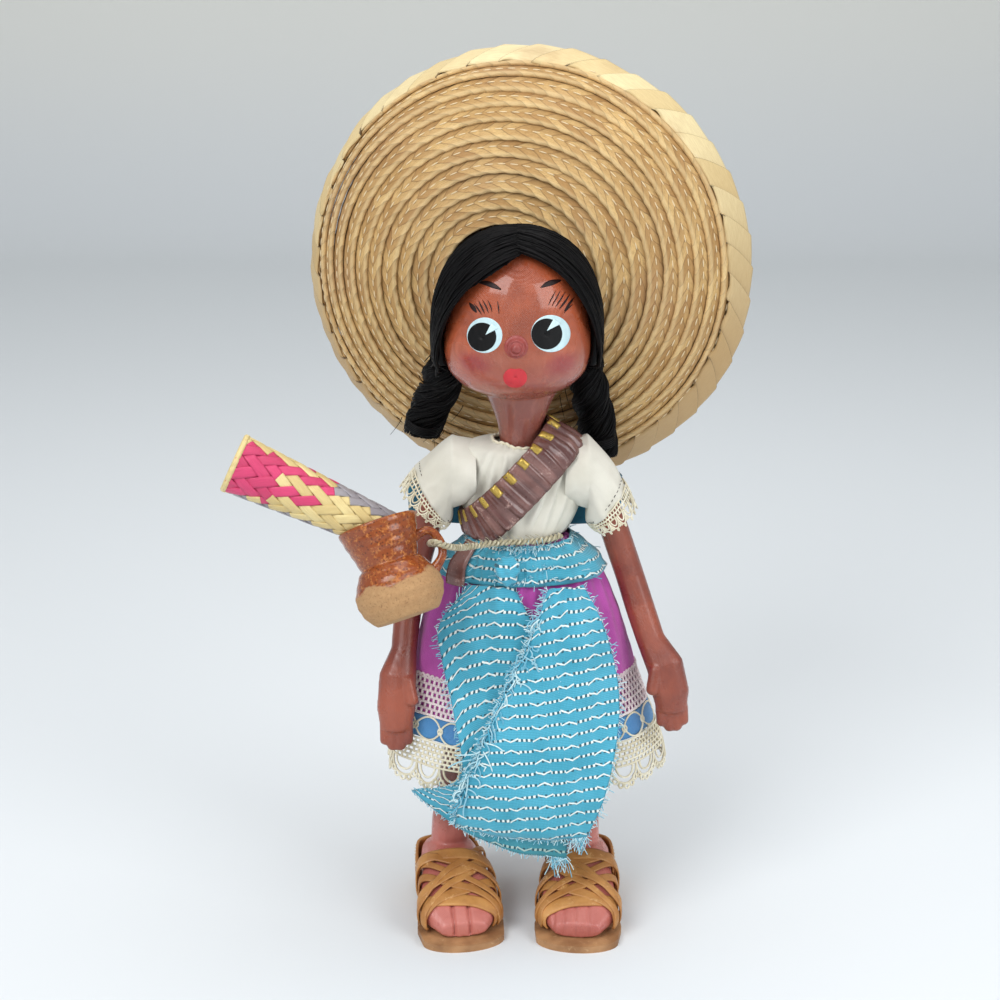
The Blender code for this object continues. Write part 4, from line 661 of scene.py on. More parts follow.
@dataclass(frozen=True)
class PalmBraid:
    """Palm leaf folded into a flat braid: slanted strands on both sides of its middle, with painted shade between
    strands and under the next row, and a painted highlight on its raised inner edge.
    """

    name: str = "palm_braid"
    strand: float = 5.2
    slant: float = 1.9

    def make(self) -> bpy.types.Material:
        """The material."""
        mix = Recipe(self.name)
        along, across, _ = mix.axes(Where.SURFACE)
        where = mix.place(Where.OBJECT)
        sway = mix.times(mix.noise(where, 90, 3), 6.0)
        fold = mix.math("ABSOLUTE", mix.plus(across, 0.4))
        run = mix.plus(mix.plus(along, mix.times(fold, self.slant)), sway)
        strand = mix.math("DIVIDE", run, self.strand)
        number = mix.plus(mix.math("FLOOR", strand), mix.times(mix.math("SIGN", across), 0.37))
        chance = mix.add("TexWhiteNoise", None, number, noise_dimensions="1D")
        part = mix.math("FRACT", strand)
        crest = mix.math("SINE", mix.times(part, math.pi))
        fibre = mix.noise(mix.place(Where.SURFACE, (0.55, 3.4, 1)), 1.0, 5, 0.75)
        straw = mix.mix(chance, tone(226, 190, 128), tone(182, 140, 84))
        straw = mix.mix(mix.stretch(fibre, 0.4, 0.72, 0, 0.7), straw, tone(158, 120, 72))
        warm = mix.stretch(mix.noise(where, 26, 4), 0.45, 0.72, 0, 0.55)
        straw = mix.mix(warm, straw, tone(170, 128, 92))
        # Painted shade: the braid is darkened between its strands.
        edge = mix.stretch(crest, 0.0, 0.3, 0.62, 0.0)
        straw = mix.mix(edge, straw, tone(118, 84, 48))
        # Painted shade: the braid's outer edge, which lies under the next row, is darkened.
        tucked = mix.stretch(across, 1.5, 2.7, 0, 0.9)
        straw = mix.mix(tucked, straw, tone(72, 48, 26))
        # Painted highlight: the braid's raised inner edge is made paler.
        lip = mix.stretch(across, -2.0, -3.0, 0, 0.4)
        straw = mix.mix(lip, straw, tone(238, 212, 160))
        height = mix.plus(crest, mix.times(fibre, 1.1))
        return mix.finish(straw, mix.stretch(fibre, 0.2, 0.8, 0.5, 0.8), height, 0.3)


@dataclass(frozen=True)
class PalmLeaf:
    """A flat strip of dry palm leaf, with fibres along it and stained patches across it, and, if asked, painted shade
    that darkens it towards the bottom.
    """

    name: str
    colours: tuple[Colour, Colour]
    aged: Colour
    turn: float = 0.0
    painted_shade_below: bool = False

    def make(self) -> bpy.types.Material:
        """The material."""
        mix = Recipe(self.name)
        where = mix.place(Where.OBJECT)
        fibre = mix.noise(mix.place(Where.SURFACE, (0.22, 7, 1), self.turn), 1.0, 4, 0.65)
        colour = mix.mix(mix.tint(), *self.colours)
        colour = mix.mix(mix.stretch(fibre, 0.3, 0.75, 0, 0.45), colour, self.aged)
        stains_and_shade = mix.stretch(mix.noise(where, 40, 4), 0.45, 0.8, 0, 0.6)
        # Painted shade: the leaf is darkened lower down, together with its stains.
        if self.painted_shade_below:
            height = mix.stretch(mix.axes(Where.OBJECT)[2], 0.285, 0.19, 0, 0.75)
            stains_and_shade = mix.math("MAXIMUM", stains_and_shade, height)
        colour = mix.mix(stains_and_shade, colour, self.aged)
        # Painted shade: a tint above 1.2, as at the binding's fold lines, darkens the leaf to dark brown.
        colour = mix.mix(mix.stretch(mix.tint(), 1.2, 1.8, 0, 0.85), colour, tone(74, 52, 30))
        return mix.finish(colour, mix.stretch(fibre, 0.2, 0.8, 0.38, 0.62), fibre, 0.12, CoatWeight=0.08)


@dataclass(frozen=True)
class Clay:
    """Low-fired clay, tan and sandy below, with a speckled brown glaze that runs down from the rim."""

    name: str = "glazed_clay"
    belly: float = 0.40

    def make(self) -> bpy.types.Material:
        """The material. The surface's second place is the share of the jug's height."""
        mix = Recipe(self.name)
        where = mix.place(Where.OBJECT)
        _, level, _ = mix.axes(Where.SURFACE)
        runs = mix.times(mix.noise(where, 120, 3), 0.34)
        glaze = mix.stretch(mix.plus(level, runs), self.belly + 0.14, self.belly + 0.19)
        specks = mix.add("TexVoronoi", where, None, 900.0)
        speck = mix.stretch(specks, 0.42, 0.15)
        spots = mix.stretch(mix.noise(where, 620, 3, 0.7), 0.5, 0.68)
        brown = mix.mix(mix.noise(where, 150, 3), tone(120, 52, 26), tone(158, 84, 40))
        brown = mix.mix(mix.times(speck, 0.6), brown, tone(64, 30, 18))
        brown = mix.mix(mix.times(spots, 0.7), brown, tone(206, 132, 66))
        sand = mix.mix(mix.noise(where, 700, 4, 0.7), tone(196, 158, 112), tone(158, 116, 76))
        sand = mix.mix(mix.stretch(mix.noise(where, 1500, 2), 0.55, 0.75, 0, 0.6), sand, tone(110, 74, 48))
        colour = mix.mix(glaze, sand, brown)
        rough = mix.stretch(glaze, 0, 1, 0.85, 0.16)
        height = mix.plus(mix.noise(where, 800, 3), mix.times(glaze, 0.8))
        return mix.finish(colour, rough, height, 0.12)


@dataclass(frozen=True)
class Leather(Finish):
    """Leather with grain and scuffs, darkened by its tint, which on the belt paints shade in the hollows and a
    highlight on the smaller ribs.
    """

    scuff: Colour
    roughness: tuple[float, float] = (0.35, 0.65)
    coat: float = 0.0

    def make(self) -> bpy.types.Material:
        """The material."""
        mix = Recipe(self.name)
        where = mix.place(Where.OBJECT)
        patches = mix.stretch(mix.noise(where, 90, 4), 0.3, 0.72)
        colour = mix.mix(patches, self.colour, self.shadow)
        # The tint darkens the leather; on the belt it paints shade in the hollows and leaves the smaller ribs light as
        # a painted highlight.
        colour = mix.mix(mix.times(mix.tint(), 0.6), colour, self.shadow)
        scuffs = mix.stretch(mix.noise(where, 260, 4, 0.75), 0.58, 0.72, 0, 0.8)
        colour = mix.mix(scuffs, colour, self.scuff)
        grain = mix.plus(mix.noise(where, 1100, 3, 0.7), mix.times(scuffs, 0.4))
        rough = mix.stretch(mix.noise(where, 200, 3), 0.3, 0.7, *self.roughness)
        return mix.finish(colour, rough, grain, 0.07, CoatWeight=self.coat, CoatRoughness=0.2)


@dataclass(frozen=True)
class Paint(Finish):
    """Brushed enamel, nearly even, with faint strokes."""

    roughness: float = 0.3
    coat: float = 0.3
    gloss: float = 0.5

    def make(self) -> bpy.types.Material:
        """The material."""
        mix = Recipe(self.name)
        where = mix.place(Where.OBJECT)
        strokes = mix.noise(mix.place(Where.OBJECT, (1, 1, 0.25)), 700, 3)
        colour = mix.mix(mix.stretch(strokes, 0.35, 0.75, 0, 0.5), self.colour, self.shadow)
        height = mix.plus(mix.canvas(0.62), mix.noise(where, 300, 2))
        shine = {"CoatWeight": self.coat, "CoatRoughness": 0.2, "SpecularIORLevel": self.gloss}
        return mix.finish(colour, self.roughness, height, 0.035, **shine)


@dataclass(frozen=True)
class Metal(Finish):
    """Drawn metal with fine scratches."""

    metallic: float = 1.0

    def make(self) -> bpy.types.Material:
        """The material."""
        mix = Recipe(self.name)
        scratches = mix.noise(mix.place(Where.OBJECT, (1, 6, 1)), 900, 3)
        colour = mix.mix(scratches, self.colour, self.shadow)
        rough = mix.stretch(scratches, 0.3, 0.7, 0.25, 0.45)
        return mix.finish(colour, rough, scratches, 0.03, Metallic=self.metallic)


FINISHES = {
    finish.name: finish
    for finish in (
        PaintedCloth("painted_arms", tone(164, 82, 56), tone(118, 52, 38)),
        PaintedCloth("nose_paint", tone(170, 74, 66), tone(126, 46, 42)),
        PaintedCloth("painted_feet", tone(196, 116, 104), tone(172, 92, 82)),
        Hairs("hair_strands", tone(5, 5, 6), tone(15, 13, 14)),
        WovenCloth("blouse_muslin", tone(236, 233, 220), tone(206, 202, 186), 0.42, 0.05),
        WovenCloth("magenta_cotton", tone(204, 84, 184), tone(158, 52, 142), 0.6, 0.09),
        # Painted shade: the shawl's blue, darkened, for the cloth behind the shoulders.
        WovenCloth("shaded_shawl_blue", tone(38, 122, 150), tone(22, 84, 110), 0.5, 0.07),
        WovenCloth("satin_ribbon", tone(74, 144, 200), tone(44, 104, 164), 0.2, 0.02, 0.1, 0.36),
        StripedShawl(),
        Thread("lace_cream", tone(240, 235, 214), tone(212, 202, 172)),
        Thread("crochet_white", tone(244, 234, 232), tone(214, 196, 200)),
        Thread("fringe_blue", tone(214, 238, 240), tone(70, 170, 200)),
        Thread("twine_natural", tone(214, 208, 182), tone(160, 150, 120)),
        Thread("hat_thread", tone(232, 214, 176), tone(206, 180, 134)),
        PalmBraid(),
        # The binding leaf gets painted shade towards the bottom of the hat.
        PalmLeaf("binding_leaf", (tone(244, 228, 178), tone(226, 202, 146)), tone(172, 134, 84), 0.9, True),
        PalmLeaf("roll_cream", (tone(240, 222, 160), tone(214, 190, 126)), tone(180, 146, 92)),
        PalmLeaf("roll_pink", (tone(226, 68, 120), tone(206, 58, 104)), tone(166, 44, 80)),
        PalmLeaf("roll_grey", (tone(168, 164, 168), tone(146, 140, 146)), tone(112, 104, 108)),
        Clay(),
        Leather("belt_leather", tone(142, 102, 94), tone(88, 50, 46), tone(186, 152, 142), (0.18, 0.4), 0.5),
        Leather("strap_leather", tone(206, 150, 86), tone(164, 108, 54), tone(226, 182, 124)),
        Leather("sole_leather", tone(186, 140, 96), tone(138, 96, 60), tone(206, 168, 124), (0.5, 0.8)),
        Leather("wood_peg", tone(196, 158, 110), tone(150, 112, 70), tone(214, 184, 140), (0.5, 0.7)),
        Paint("eye_ring", tone(206, 232, 236), tone(176, 208, 216)),
        Paint("eye_dark", tone(5, 5, 6), tone(20, 18, 20), 0.42, 0.0, 0.22),
        Paint("eye_glint", tone(214, 238, 242), tone(186, 216, 224)),
        Paint("lash_brown", tone(30, 18, 18), tone(64, 34, 30), 0.45, 0.0, 0.3),
        Paint("mouth_red", tone(212, 38, 50), tone(168, 24, 38), 0.3, 0.15),
        Metal("tip_gold", tone(214, 186, 96), tone(168, 136, 58), 0.6),
        Metal("shoulder_steel", tone(150, 150, 154), tone(112, 112, 116)),
    )
}


@dataclass
class PathTree:
    """A Geometry Nodes tree that makes something solid along paths.

    Its group takes the paths as edge chains, and has one input for each name in `inputs`. Each node has a word
    that the links and the presets call it by.
    """

    name: str
    inputs: dict[str, str]
    nodes: dict[str, str]
    links: tuple[str, ...]
    presets: dict[tuple[str, int | str], object]
    modes: dict[str, str] = field(default_factory=dict)
    group: bpy.types.NodeTree | None = None
    keys: dict[str, str] = field(default_factory=dict)

    def build(self) -> bpy.types.NodeTree:
        """The node group, made once."""
        if self.group:
            return self.group
        tree = self.group = bpy.data.node_groups.new(self.name, "GeometryNodeTree")
        face = tree.interface
        face.new_socket("Geometry", in_out="INPUT", socket_type="NodeSocketGeometry")
        for name, kind in self.inputs.items():
            self.keys[name] = face.new_socket(name, in_out="INPUT", socket_type="NodeSocket" + kind).identifier
        face.new_socket("Geometry", in_out="OUTPUT", socket_type="NodeSocketGeometry")
        made = {"start": tree.nodes.new("NodeGroupInput"), "end": tree.nodes.new("NodeGroupOutput")}
        made.update((word, tree.nodes.new("GeometryNode" + kind)) for word, kind in self.nodes.items())
        for (word, socket), value in self.presets.items():
            made[word].inputs[socket].default_value = value
        for word, mode in self.modes.items():
            made[word].mode = mode
        for link in self.links:
            (a, out), (b, into) = (end.split(".") for end in link.split(" > "))
            tree.links.new(made[a].outputs[out], made[b].inputs[into])
        return tree

    def grow(
        self,
        name: str,
        paths: Sequence[np.ndarray],
        values: dict[str, object],
        layers: dict[str, np.ndarray] | None = None,
    ) -> bpy.types.Mesh:
        """The mesh that the tree makes along paths.

        Args:
            name: The mesh's name.
            paths: The points of each path.
            values: What each input of the tree is set to.
            layers: Numbers to give to the points of all the paths, by name.

        Returns:
            The mesh.
        """
        tree = self.build()
        counts = [len(path) for path in paths]
        starts = np.concatenate(([0], np.cumsum(counts)[:-1]))
        edges = np.concatenate([first + np.arange(count - 1) for first, count in zip(starts, counts)])
        guide = bpy.data.meshes.new(name + "_guide")
        guide.from_pydata(np.concatenate(paths), np.stack([edges, edges + 1], axis=1).tolist(), [])
        for key, numbers in (layers or {}).items():
            layer = guide.attributes.new(key, "FLOAT", "POINT")
            layer.data.foreach_set("value", np.asarray(numbers, np.float32))
        thing = bpy.data.objects.new(name + "_guide", guide)
        bpy.context.scene.collection.objects.link(thing)
        step = thing.modifiers.new("Grow", "NODES")
        step.node_group = tree
        for key, value in values.items():
            step[self.keys[key]] = value
        thing.update_tag()
        made = evaluated(thing)
        bpy.data.meshes.remove(guide)
        made.name = name
        return made


def evaluated(thing: bpy.types.Object) -> bpy.types.Mesh:
    """The mesh that an object's modifiers make. The object itself is taken away."""
    made = bpy.data.meshes.new_from_object(thing.evaluated_get(bpy.context.evaluated_depsgraph_get()))
    bpy.data.objects.remove(thing, do_unlink=True)
    return made


# Round threads: a section swept along each path, swelled by an attribute
THREADS = PathTree(
    "threads_along_paths",
    {"Thread Radius": "Float", "Sides": "Int", "Finish": "Material"},
    {
        "curve": "MeshToCurve",
        "circle": "CurvePrimitiveCircle",
        "sweep": "CurveToMesh",
        "swell": "InputNamedAttribute",
        "smooth": "SetShadeSmooth",
        "real": "RealizeInstances",
        "finish": "SetMaterial",
    },
    (
        "start.Geometry > curve.Mesh",
        "start.Thread Radius > circle.Radius",
        "start.Sides > circle.Resolution",
        "curve.Curve > sweep.Curve",
        "circle.Curve > sweep.Profile Curve",
        "swell.Attribute > sweep.Scale",
        "sweep.Mesh > smooth.Geometry",
        "smooth.Geometry > real.Geometry",
        "real.Geometry > finish.Geometry",
        "start.Finish > finish.Material",
        "finish.Geometry > end.Geometry",
    ),
    {("swell", 0): "swell", ("sweep", "Fill Caps"): True},
)
# Small rounded studs, such as stitches and tips, set at even steps along each path and in line with it
STUDS = PathTree(
    "studs_along_paths",
    {"Step": "Float", "Size": "Vector", "Finish": "Material"},
    {
        "curve": "MeshToCurve",
        "walk": "CurveToPoints",
        "stud": "MeshUVSphere",
        "set": "InstanceOnPoints",
        "smooth": "SetShadeSmooth",
        "real": "RealizeInstances",
        "finish": "SetMaterial",
    },
    (
        "start.Geometry > curve.Mesh",
        "curve.Curve > walk.Curve",
        "start.Step > walk.Length",
        "walk.Points > set.Points",
        "walk.Rotation > set.Rotation",
        "stud.Mesh > set.Instance",
        "start.Size > set.Scale",
        "set.Instances > real.Geometry",
        "real.Geometry > smooth.Geometry",
        "smooth.Geometry > finish.Geometry",
        "start.Finish > finish.Material",
        "finish.Geometry > end.Geometry",
    ),
    {("stud", "Segments"): 6, ("stud", "Rings"): 5, ("stud", "Radius"): 1.0},
    {"walk": "LENGTH"},
)


@dataclass
class Workshop:
    """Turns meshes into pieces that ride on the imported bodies."""

    nodes: dict[str, bpy.types.Object]
    materials: dict[str, bpy.types.Material] = field(default_factory=dict)

    def finish(self, name: str) -> bpy.types.Material:
        """The material of one finish, made once."""
        if name not in self.materials:
            self.materials[name] = FINISHES[name].make()
        return self.materials[name]

    def piece(
        self,
        name: str,
        mesh: bpy.types.Mesh | Shape,
        finish: str,
        body: Body = Body.DOLL,
        slot: str | None = None,
        replaces: Sequence[str] = (),
    ) -> bpy.types.Object:
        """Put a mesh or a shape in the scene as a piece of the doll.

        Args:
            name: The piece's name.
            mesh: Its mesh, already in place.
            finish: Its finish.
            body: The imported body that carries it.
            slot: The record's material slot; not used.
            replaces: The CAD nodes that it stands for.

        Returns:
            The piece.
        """
        if isinstance(mesh, Shape):
            mesh = mesh.mesh(name)
        made = bpy.data.objects.new(name, mesh)
        bpy.context.scene.collection.objects.link(made)
        if not mesh.materials or mesh.materials[0] is None:
            mesh.materials.clear()
            mesh.materials.append(self.finish(finish))
        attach(made, body.value)
        if replaces:
            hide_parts(*replaces)
        LOG.info("%s: %d faces, on %s", name, len(mesh.polygons), body.value)
        return made

    def dress(self, node: str, finish: str) -> None:
        """Give a CAD node that is shown as it is a finish on all its slots."""
        thing = self.nodes[node]
        if not thing.material_slots:
            thing.data.materials.append(self.finish(finish))
        for place in thing.material_slots:
            place.material = self.finish(finish)

    def cloth(self, piece: bpy.types.Object, wide: float, held: str, rests_on: Sequence[str]) -> None:
        """Log the cut of a piece of cloth: a known width, and as long as its area needs."""
        area = sum(face.area for face in piece.data.polygons) / 2
        LOG.info("%s: cut %.0f x %.0f mm", piece.name, wide / MM, area / wide / MM)

    def threads(
        self,
        name: str,
        paths: Sequence[np.ndarray],
        radius: float,
        finish: str,
        body: Body = Body.DOLL,
        slot: str | None = None,
        replaces: Sequence[str] = (),
        sides: int = 5,
        swells: Sequence[np.ndarray] | None = None,
        tints: Sequence[float] | None = None,
    ) -> bpy.types.Object:
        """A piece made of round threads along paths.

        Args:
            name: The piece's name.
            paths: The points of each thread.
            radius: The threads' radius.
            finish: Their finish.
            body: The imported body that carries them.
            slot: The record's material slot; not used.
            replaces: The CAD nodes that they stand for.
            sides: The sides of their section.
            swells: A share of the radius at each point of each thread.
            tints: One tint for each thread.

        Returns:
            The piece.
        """
        counts = [len(path) for path in paths]
        if tints is None:
            tints = np.random.default_rng(len(paths)).random(len(paths))
        swell = np.ones(sum(counts)) if swells is None else np.concatenate(swells)
        values = {"Thread Radius": radius, "Sides": sides, "Finish": self.finish(finish)}
        mesh = THREADS.grow(name, paths, values, {"swell": swell, "tint": np.repeat(tints, counts)})
        return self.piece(name, mesh, finish, body, slot, replaces)

    def stitches(
        self,
        name: str,
        paths: Sequence[np.ndarray],
        step: float,
        size: tuple[float, float],
        finish: str,
        body: Body = Body.DOLL,
        slot: str | None = None,
    ) -> None:
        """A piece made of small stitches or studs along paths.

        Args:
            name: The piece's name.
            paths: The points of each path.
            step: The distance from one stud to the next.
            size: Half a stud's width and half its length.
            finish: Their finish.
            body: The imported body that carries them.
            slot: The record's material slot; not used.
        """
        half_width, half_length = size
        values = {"Step": step, "Size": (half_width, half_width, half_length), "Finish": self.finish(finish)}
        self.piece(name, STUDS.grow(name, paths, values), finish, body, slot)

    def stuffed(self, name: str, source: bpy.types.Mesh, voxel: float, passes: int, swell: float) -> bpy.types.Mesh:
        """One smooth, closed skin over a solid, as of cloth stuffed tight.

        Args:
            name: The mesh's name.
            source: The solid.
            voxel: The size of the skin's cells.
            passes: How often it is smoothed.
            swell: How far it is pushed out again afterwards.

        Returns:
            The mesh.
        """
        shape = bmesh.new()
        shape.from_mesh(source)
        bmesh.ops.remove_doubles(shape, verts=shape.verts, dist=0.01 * MM)
        mesh = bpy.data.meshes.new(name)
        shape.to_mesh(mesh)
        shape.free()
        thing = bpy.data.objects.new(name, mesh)
        bpy.context.scene.collection.objects.link(thing)
        step = thing.modifiers.new("Skin", "REMESH")
        step.mode, step.voxel_size = "VOXEL", voxel
        even = thing.modifiers.new("Even", "SMOOTH")
        even.factor, even.iterations = 0.5, passes
        made = evaluated(thing)
        set_points(made, vectors(made, "co") + vectors(made, "normal") * swell)
        made.materials.clear()
        made.shade_smooth()
        made.update()
        return made


@dataclass
class PhotoRays:
    """Rays of the photograph's camera, which put painted marks onto a surface."""

    skin: Skin
    place: np.ndarray
    tilt: float
    lens: float
    sensor: float = 36.0

    def onto(self, spots: np.ndarray, proud: float) -> np.ndarray:
        """Where pixels meet the surface.

        Args:
            spots: Pixels across and down, in any grid.
            proud: How far the points stand off the surface, towards the camera.

        Returns:
            The points, in the same grid.
        """
        pixels = self.lens / self.sensor * PHOTO_PIXELS
        ahead = np.array((0.0, math.cos(self.tilt), -math.sin(self.tilt)))
        up = np.array((0.0, math.sin(self.tilt), math.cos(self.tilt)))
        right = np.array((1.0, 0.0, 0.0))
        half = PHOTO_PIXELS / 2
        across, down = (spots[..., :1] - half) / pixels, (half - spots[..., 1:]) / pixels
        ways = unit(ahead + right * across + up * down)
        flat = ways.reshape(-1, 3)
        found = np.full(len(flat), np.nan)
        for number, way in enumerate(flat):
            hit = self.skin.tree.ray_cast(Vector(self.place), Vector(way))
            if hit[0] is not None:
                found[number] = hit[3]
        grid = fill_gaps(found.reshape(spots.shape[0], -1))
        return self.place + ways * (grid.reshape(spots.shape[:-1])[..., None] - proud)


def vectors(mesh: bpy.types.Mesh, kind: str) -> np.ndarray:
    """The places ("co") or the normals ("normal") of a mesh's points."""
    found = np.empty(len(mesh.vertices) * 3, np.float32)
    mesh.vertices.foreach_get(kind, found)
    return found.reshape(-1, 3)


def set_points(mesh: bpy.types.Mesh, points: np.ndarray) -> None:
    """Move a mesh's points."""
    mesh.vertices.foreach_set("co", points.astype(np.float32).ravel())


def node_points(node: bpy.types.Object) -> np.ndarray:
    """The points of a CAD node."""
    return vectors(node.data, "co").astype(float)


def circle(centre: np.ndarray, ways: tuple[np.ndarray, np.ndarray], radius: float, sides: int) -> np.ndarray:
    """Points of a circle round a centre, in the plane of two ways."""
    turns = all_round(sides)[:, None]
    return centre + ways[0] * np.cos(turns) * radius + ways[1] * np.sin(turns) * radius


def tube(path: np.ndarray, radii: np.ndarray, sides: int) -> np.ndarray:
    """Sections of a round tube along a path, turned as little as possible from one to the next."""
    ahead = unit(np.gradient(path, axis=0))
    side = unit(np.cross(ahead[0], (0.3, 0.2, 1.0)))
    made = []
    for point, way, radius in zip(path, ahead, radii):
        side = unit(side - way * np.dot(side, way))
        made.append(circle(point, (side, np.cross(way, side)), radius, sides))
    return np.array(made)


@dataclass
class Sombrero:
    """A hat of palm braid sewn in a spiral, with its brim curled and its edge bound in leaf."""

    centre: np.ndarray
    ring: float = 21.3 * MM
    slant: float = 69.7 * MM
    row: float = 5.69 * MM
    binding: float = 12.8 * MM
    lap: float = 1.3
    braid: float = 1.3 * MM
    station: float = 0.88 * MM
    tilt_up: float = math.radians(7.9)
    turn: float = math.radians(7.5)
    inner_slope: float = 7.5
    outer_slope: float = 66.6
    side_slope: float = -10.7
    top_slope: float = 20.9
    curl: float = 1.57
    crown_radius: float = 22.15 * MM
    crown_height: float = 42.0 * MM
    crown_gap: float = 2.2 * MM
    crown_shape: Table = (
        (0.0, 1.0), (0.3, 0.92), (0.6, 0.82), (0.84, 0.68), (0.94, 0.52), (0.99, 0.3), (1.0, 0.0),
    )  # fmt: skip

    def ways(self) -> tuple[np.ndarray, np.ndarray, np.ndarray]:
        """The ways to the crown, right and up across the brim."""
        flat = math.cos(self.tilt_up)
        crown = np.array((math.sin(self.turn) * flat, math.cos(self.turn) * flat, math.sin(self.tilt_up)))
        right = np.array((math.cos(self.turn), -math.sin(self.turn), 0.0))
        return crown, right, np.cross(right, crown)

    def about_axis(self, turns: np.ndarray, out: np.ndarray, back: np.ndarray) -> np.ndarray:
        """Places at turns round the hat's axis, from how far out and how far back they are."""
        crown, right, up = self.ways()
        round_way = right * np.cos(turns)[..., None] + up * np.sin(turns)[..., None]
        return self.centre + round_way * out[..., None] + crown * back[..., None]

    def brim(self, turns: np.ndarray, lengths: np.ndarray, proud: np.ndarray) -> np.ndarray:
        """Places on the brim.

        Args:
            turns: The turn round the head of each place.
            lengths: Its distance from the inner ring, along the slant.
            proud: How far it stands in front of the brim's face.

        Returns:
            The points.
        """
        outer = self.outer_slope + self.top_slope * np.sin(turns) + self.side_slope * np.cos(turns)
        steps = (np.arange(20) + 0.5) / 20
        shares = np.clip(lengths[..., None] * steps / self.slant, 0, 1.05) ** self.curl
        slopes = np.radians(self.inner_slope + (outer[..., None] - self.inner_slope) * shares)
        out = self.ring + lengths * np.cos(slopes).mean(axis=-1)
        back = lengths * np.sin(slopes).mean(axis=-1)
        last = np.clip(lengths / self.slant, 0, 1.05) ** self.curl
        slope = np.radians(self.inner_slope + (outer - self.inner_slope) * last)
        return self.about_axis(turns, out + np.sin(slope) * proud, back - np.cos(slope) * proud)

    def crown_profile(self) -> tuple[np.ndarray, np.ndarray]:
        """Even places down the crown's side, from the middle of its top: how far out and how far back."""
        shares = np.linspace(1, 0, 200)
        table = np.array(self.crown_shape)
        out = smooth_table(self.crown_shape, shares)[:, 0].clip(0) * self.crown_radius
        out[shares > 0.985] = np.interp(shares[shares > 0.985], table[-2:, 0], table[-2:, 1]) * self.crown_radius
        line = np.stack([out, shares * self.crown_height + self.crown_gap], axis=1)
        run = run_along(line)
        even = np.linspace(0, run[-1], 160)
        return even, between(even, run, line)

    def crown(self, turns: np.ndarray, lengths: np.ndarray, proud: np.ndarray) -> np.ndarray:
        """Places on the crown, a length from the middle of its top."""
        even, line = self.crown_profile()
        slope = unit(np.gradient(line, axis=0))
        normal = np.stack([-slope[:, 1], slope[:, 0]], axis=1)
        clipped = np.clip(lengths, 0, even[-1])
        out, back, nout, nback = (
            np.interp(clipped, even, values) for values in (line[:, 0], line[:, 1], normal[:, 0], normal[:, 1])
        )
        return self.about_axis(turns, out + nout * proud, back + nback * proud)

    def strip(
        self,
        surface: Callable[[np.ndarray, np.ndarray, np.ndarray], np.ndarray],
        reach: tuple[float, float],
        seed: int,
    ) -> tuple[Shape, np.ndarray]:
        """One braid wound in a spiral, each turn lapping the last, and the line that it is sewn along.

        Args:
            surface: Gives places from turns, lengths and distances proud.
            reach: Where the spiral starts and ends, along the slant.
            seed: The seed of its small unevenness.

        Returns:
            The braid's shape, and the path of its seam.
        """
        low, high = reach
        turns = [-math.pi / 2]
        span = high - low
        while (turns[-1] + math.pi / 2) / TURN * self.row < span + 0.4 * self.row:
            length = low + (turns[-1] + math.pi / 2) / TURN * self.row
            here = surface(np.array([0.0]), np.array([np.clip(length, 0.002, high)]), np.zeros(1))
            radius = max(np.linalg.norm(here[0] - self.axis_point(here[0])), 2 * MM)
            turns.append(turns[-1] + self.station / radius)
        turn = np.array(turns)
        inner = low + (turn + math.pi / 2) / TURN * self.row - 0.62 * self.row
        shares = np.array((0, 0.015, 0.06, 0.14, 0.24, 0.34, 0.44, 0.58, 0.74, 0.9, 0.985, 1.0))
        mids = 0.35 + 0.65 * np.sqrt(np.clip(1 - ((shares - 0.5) * 2) ** 8, 0, 1))
        roll = 0.55 * MM * np.exp(-(((shares - 0.13) / 0.13) ** 2))
        front = self.braid * 0.5 * mids
        run = run_along(surface(turn, np.clip(inner, low, high), 0 * turn))
        tooth = np.abs((run / (5.2 * MM)) % 1 - 0.5) * 2
        wave = lumps((1, len(turn)), seed, 14)[0] * 0.2 * MM + tooth * 0.3 * MM
        width = self.row * self.lap
        lengths = inner[:, None] + shares[None] * width + wave[:, None] * (shares[None] - 0.5) * 2
        lengths = np.clip(lengths, low, high)
        lean = (0.62 - shares) * 1.35 * self.braid
        rise = lumps((1, len(turn)), seed + 5, 20)[0] * 0.14 * MM + (tooth - 0.5) * 0.16 * MM
        faces = []
        for sign in (1, -1):
            proud = lean + sign * front + (roll if sign > 0 else 0)
            high_up = proud[None] + rise[:, None] * (1 - shares[None]) ** 2
            settle = np.interp(lengths, (high - 3.4 * MM, high), (1.0, 0.2))
            high_up = np.where(high_up > 0, high_up * settle, high_up)
            faces.append(surface(np.broadcast_to(turn[:, None], lengths.shape), lengths, high_up))
        loop = np.concatenate((faces[1], faces[0][:, ::-1]), axis=1)
        across = (shares - 0.5) * width / MM
        places = np.meshgrid(run / MM, np.concatenate((across, across[::-1], across[:1])), indexing="ij")
        shape = Shape()
        shape.bar(loop, np.stack(places, axis=2))
        above = 0 * turn + lean[6] + front[6] + roll[6] + 0.12 * MM
        return shape, surface(turn, np.clip(inner + width * 0.44, low, high), above)

    def close_middle(self, shape: Shape) -> None:
        """Add the tucked end of the braid, a small dome over the middle of the crown's top."""
        reach, share = np.meshgrid(np.linspace(0, 1, 9), np.linspace(0, TURN, 33), indexing="ij")
        lengths = reach * 2.8 * MM + 0.02 * MM
        dome = np.sqrt(np.clip(1 - reach**2, 0, 1)) * 1.0 * MM + 0.35 * MM
        grid = self.crown(share, lengths, dome)[:, :-1]
        shape.sheet(grid, 0.6 * MM, True, np.stack([share * 2, reach * 2.8], axis=2))

    def axis_point(self, point: np.ndarray) -> np.ndarray:
        """The place on the hat's axis beside a point."""
        crown = self.ways()[0]
        return self.centre + crown * np.dot(point - self.centre, crown)

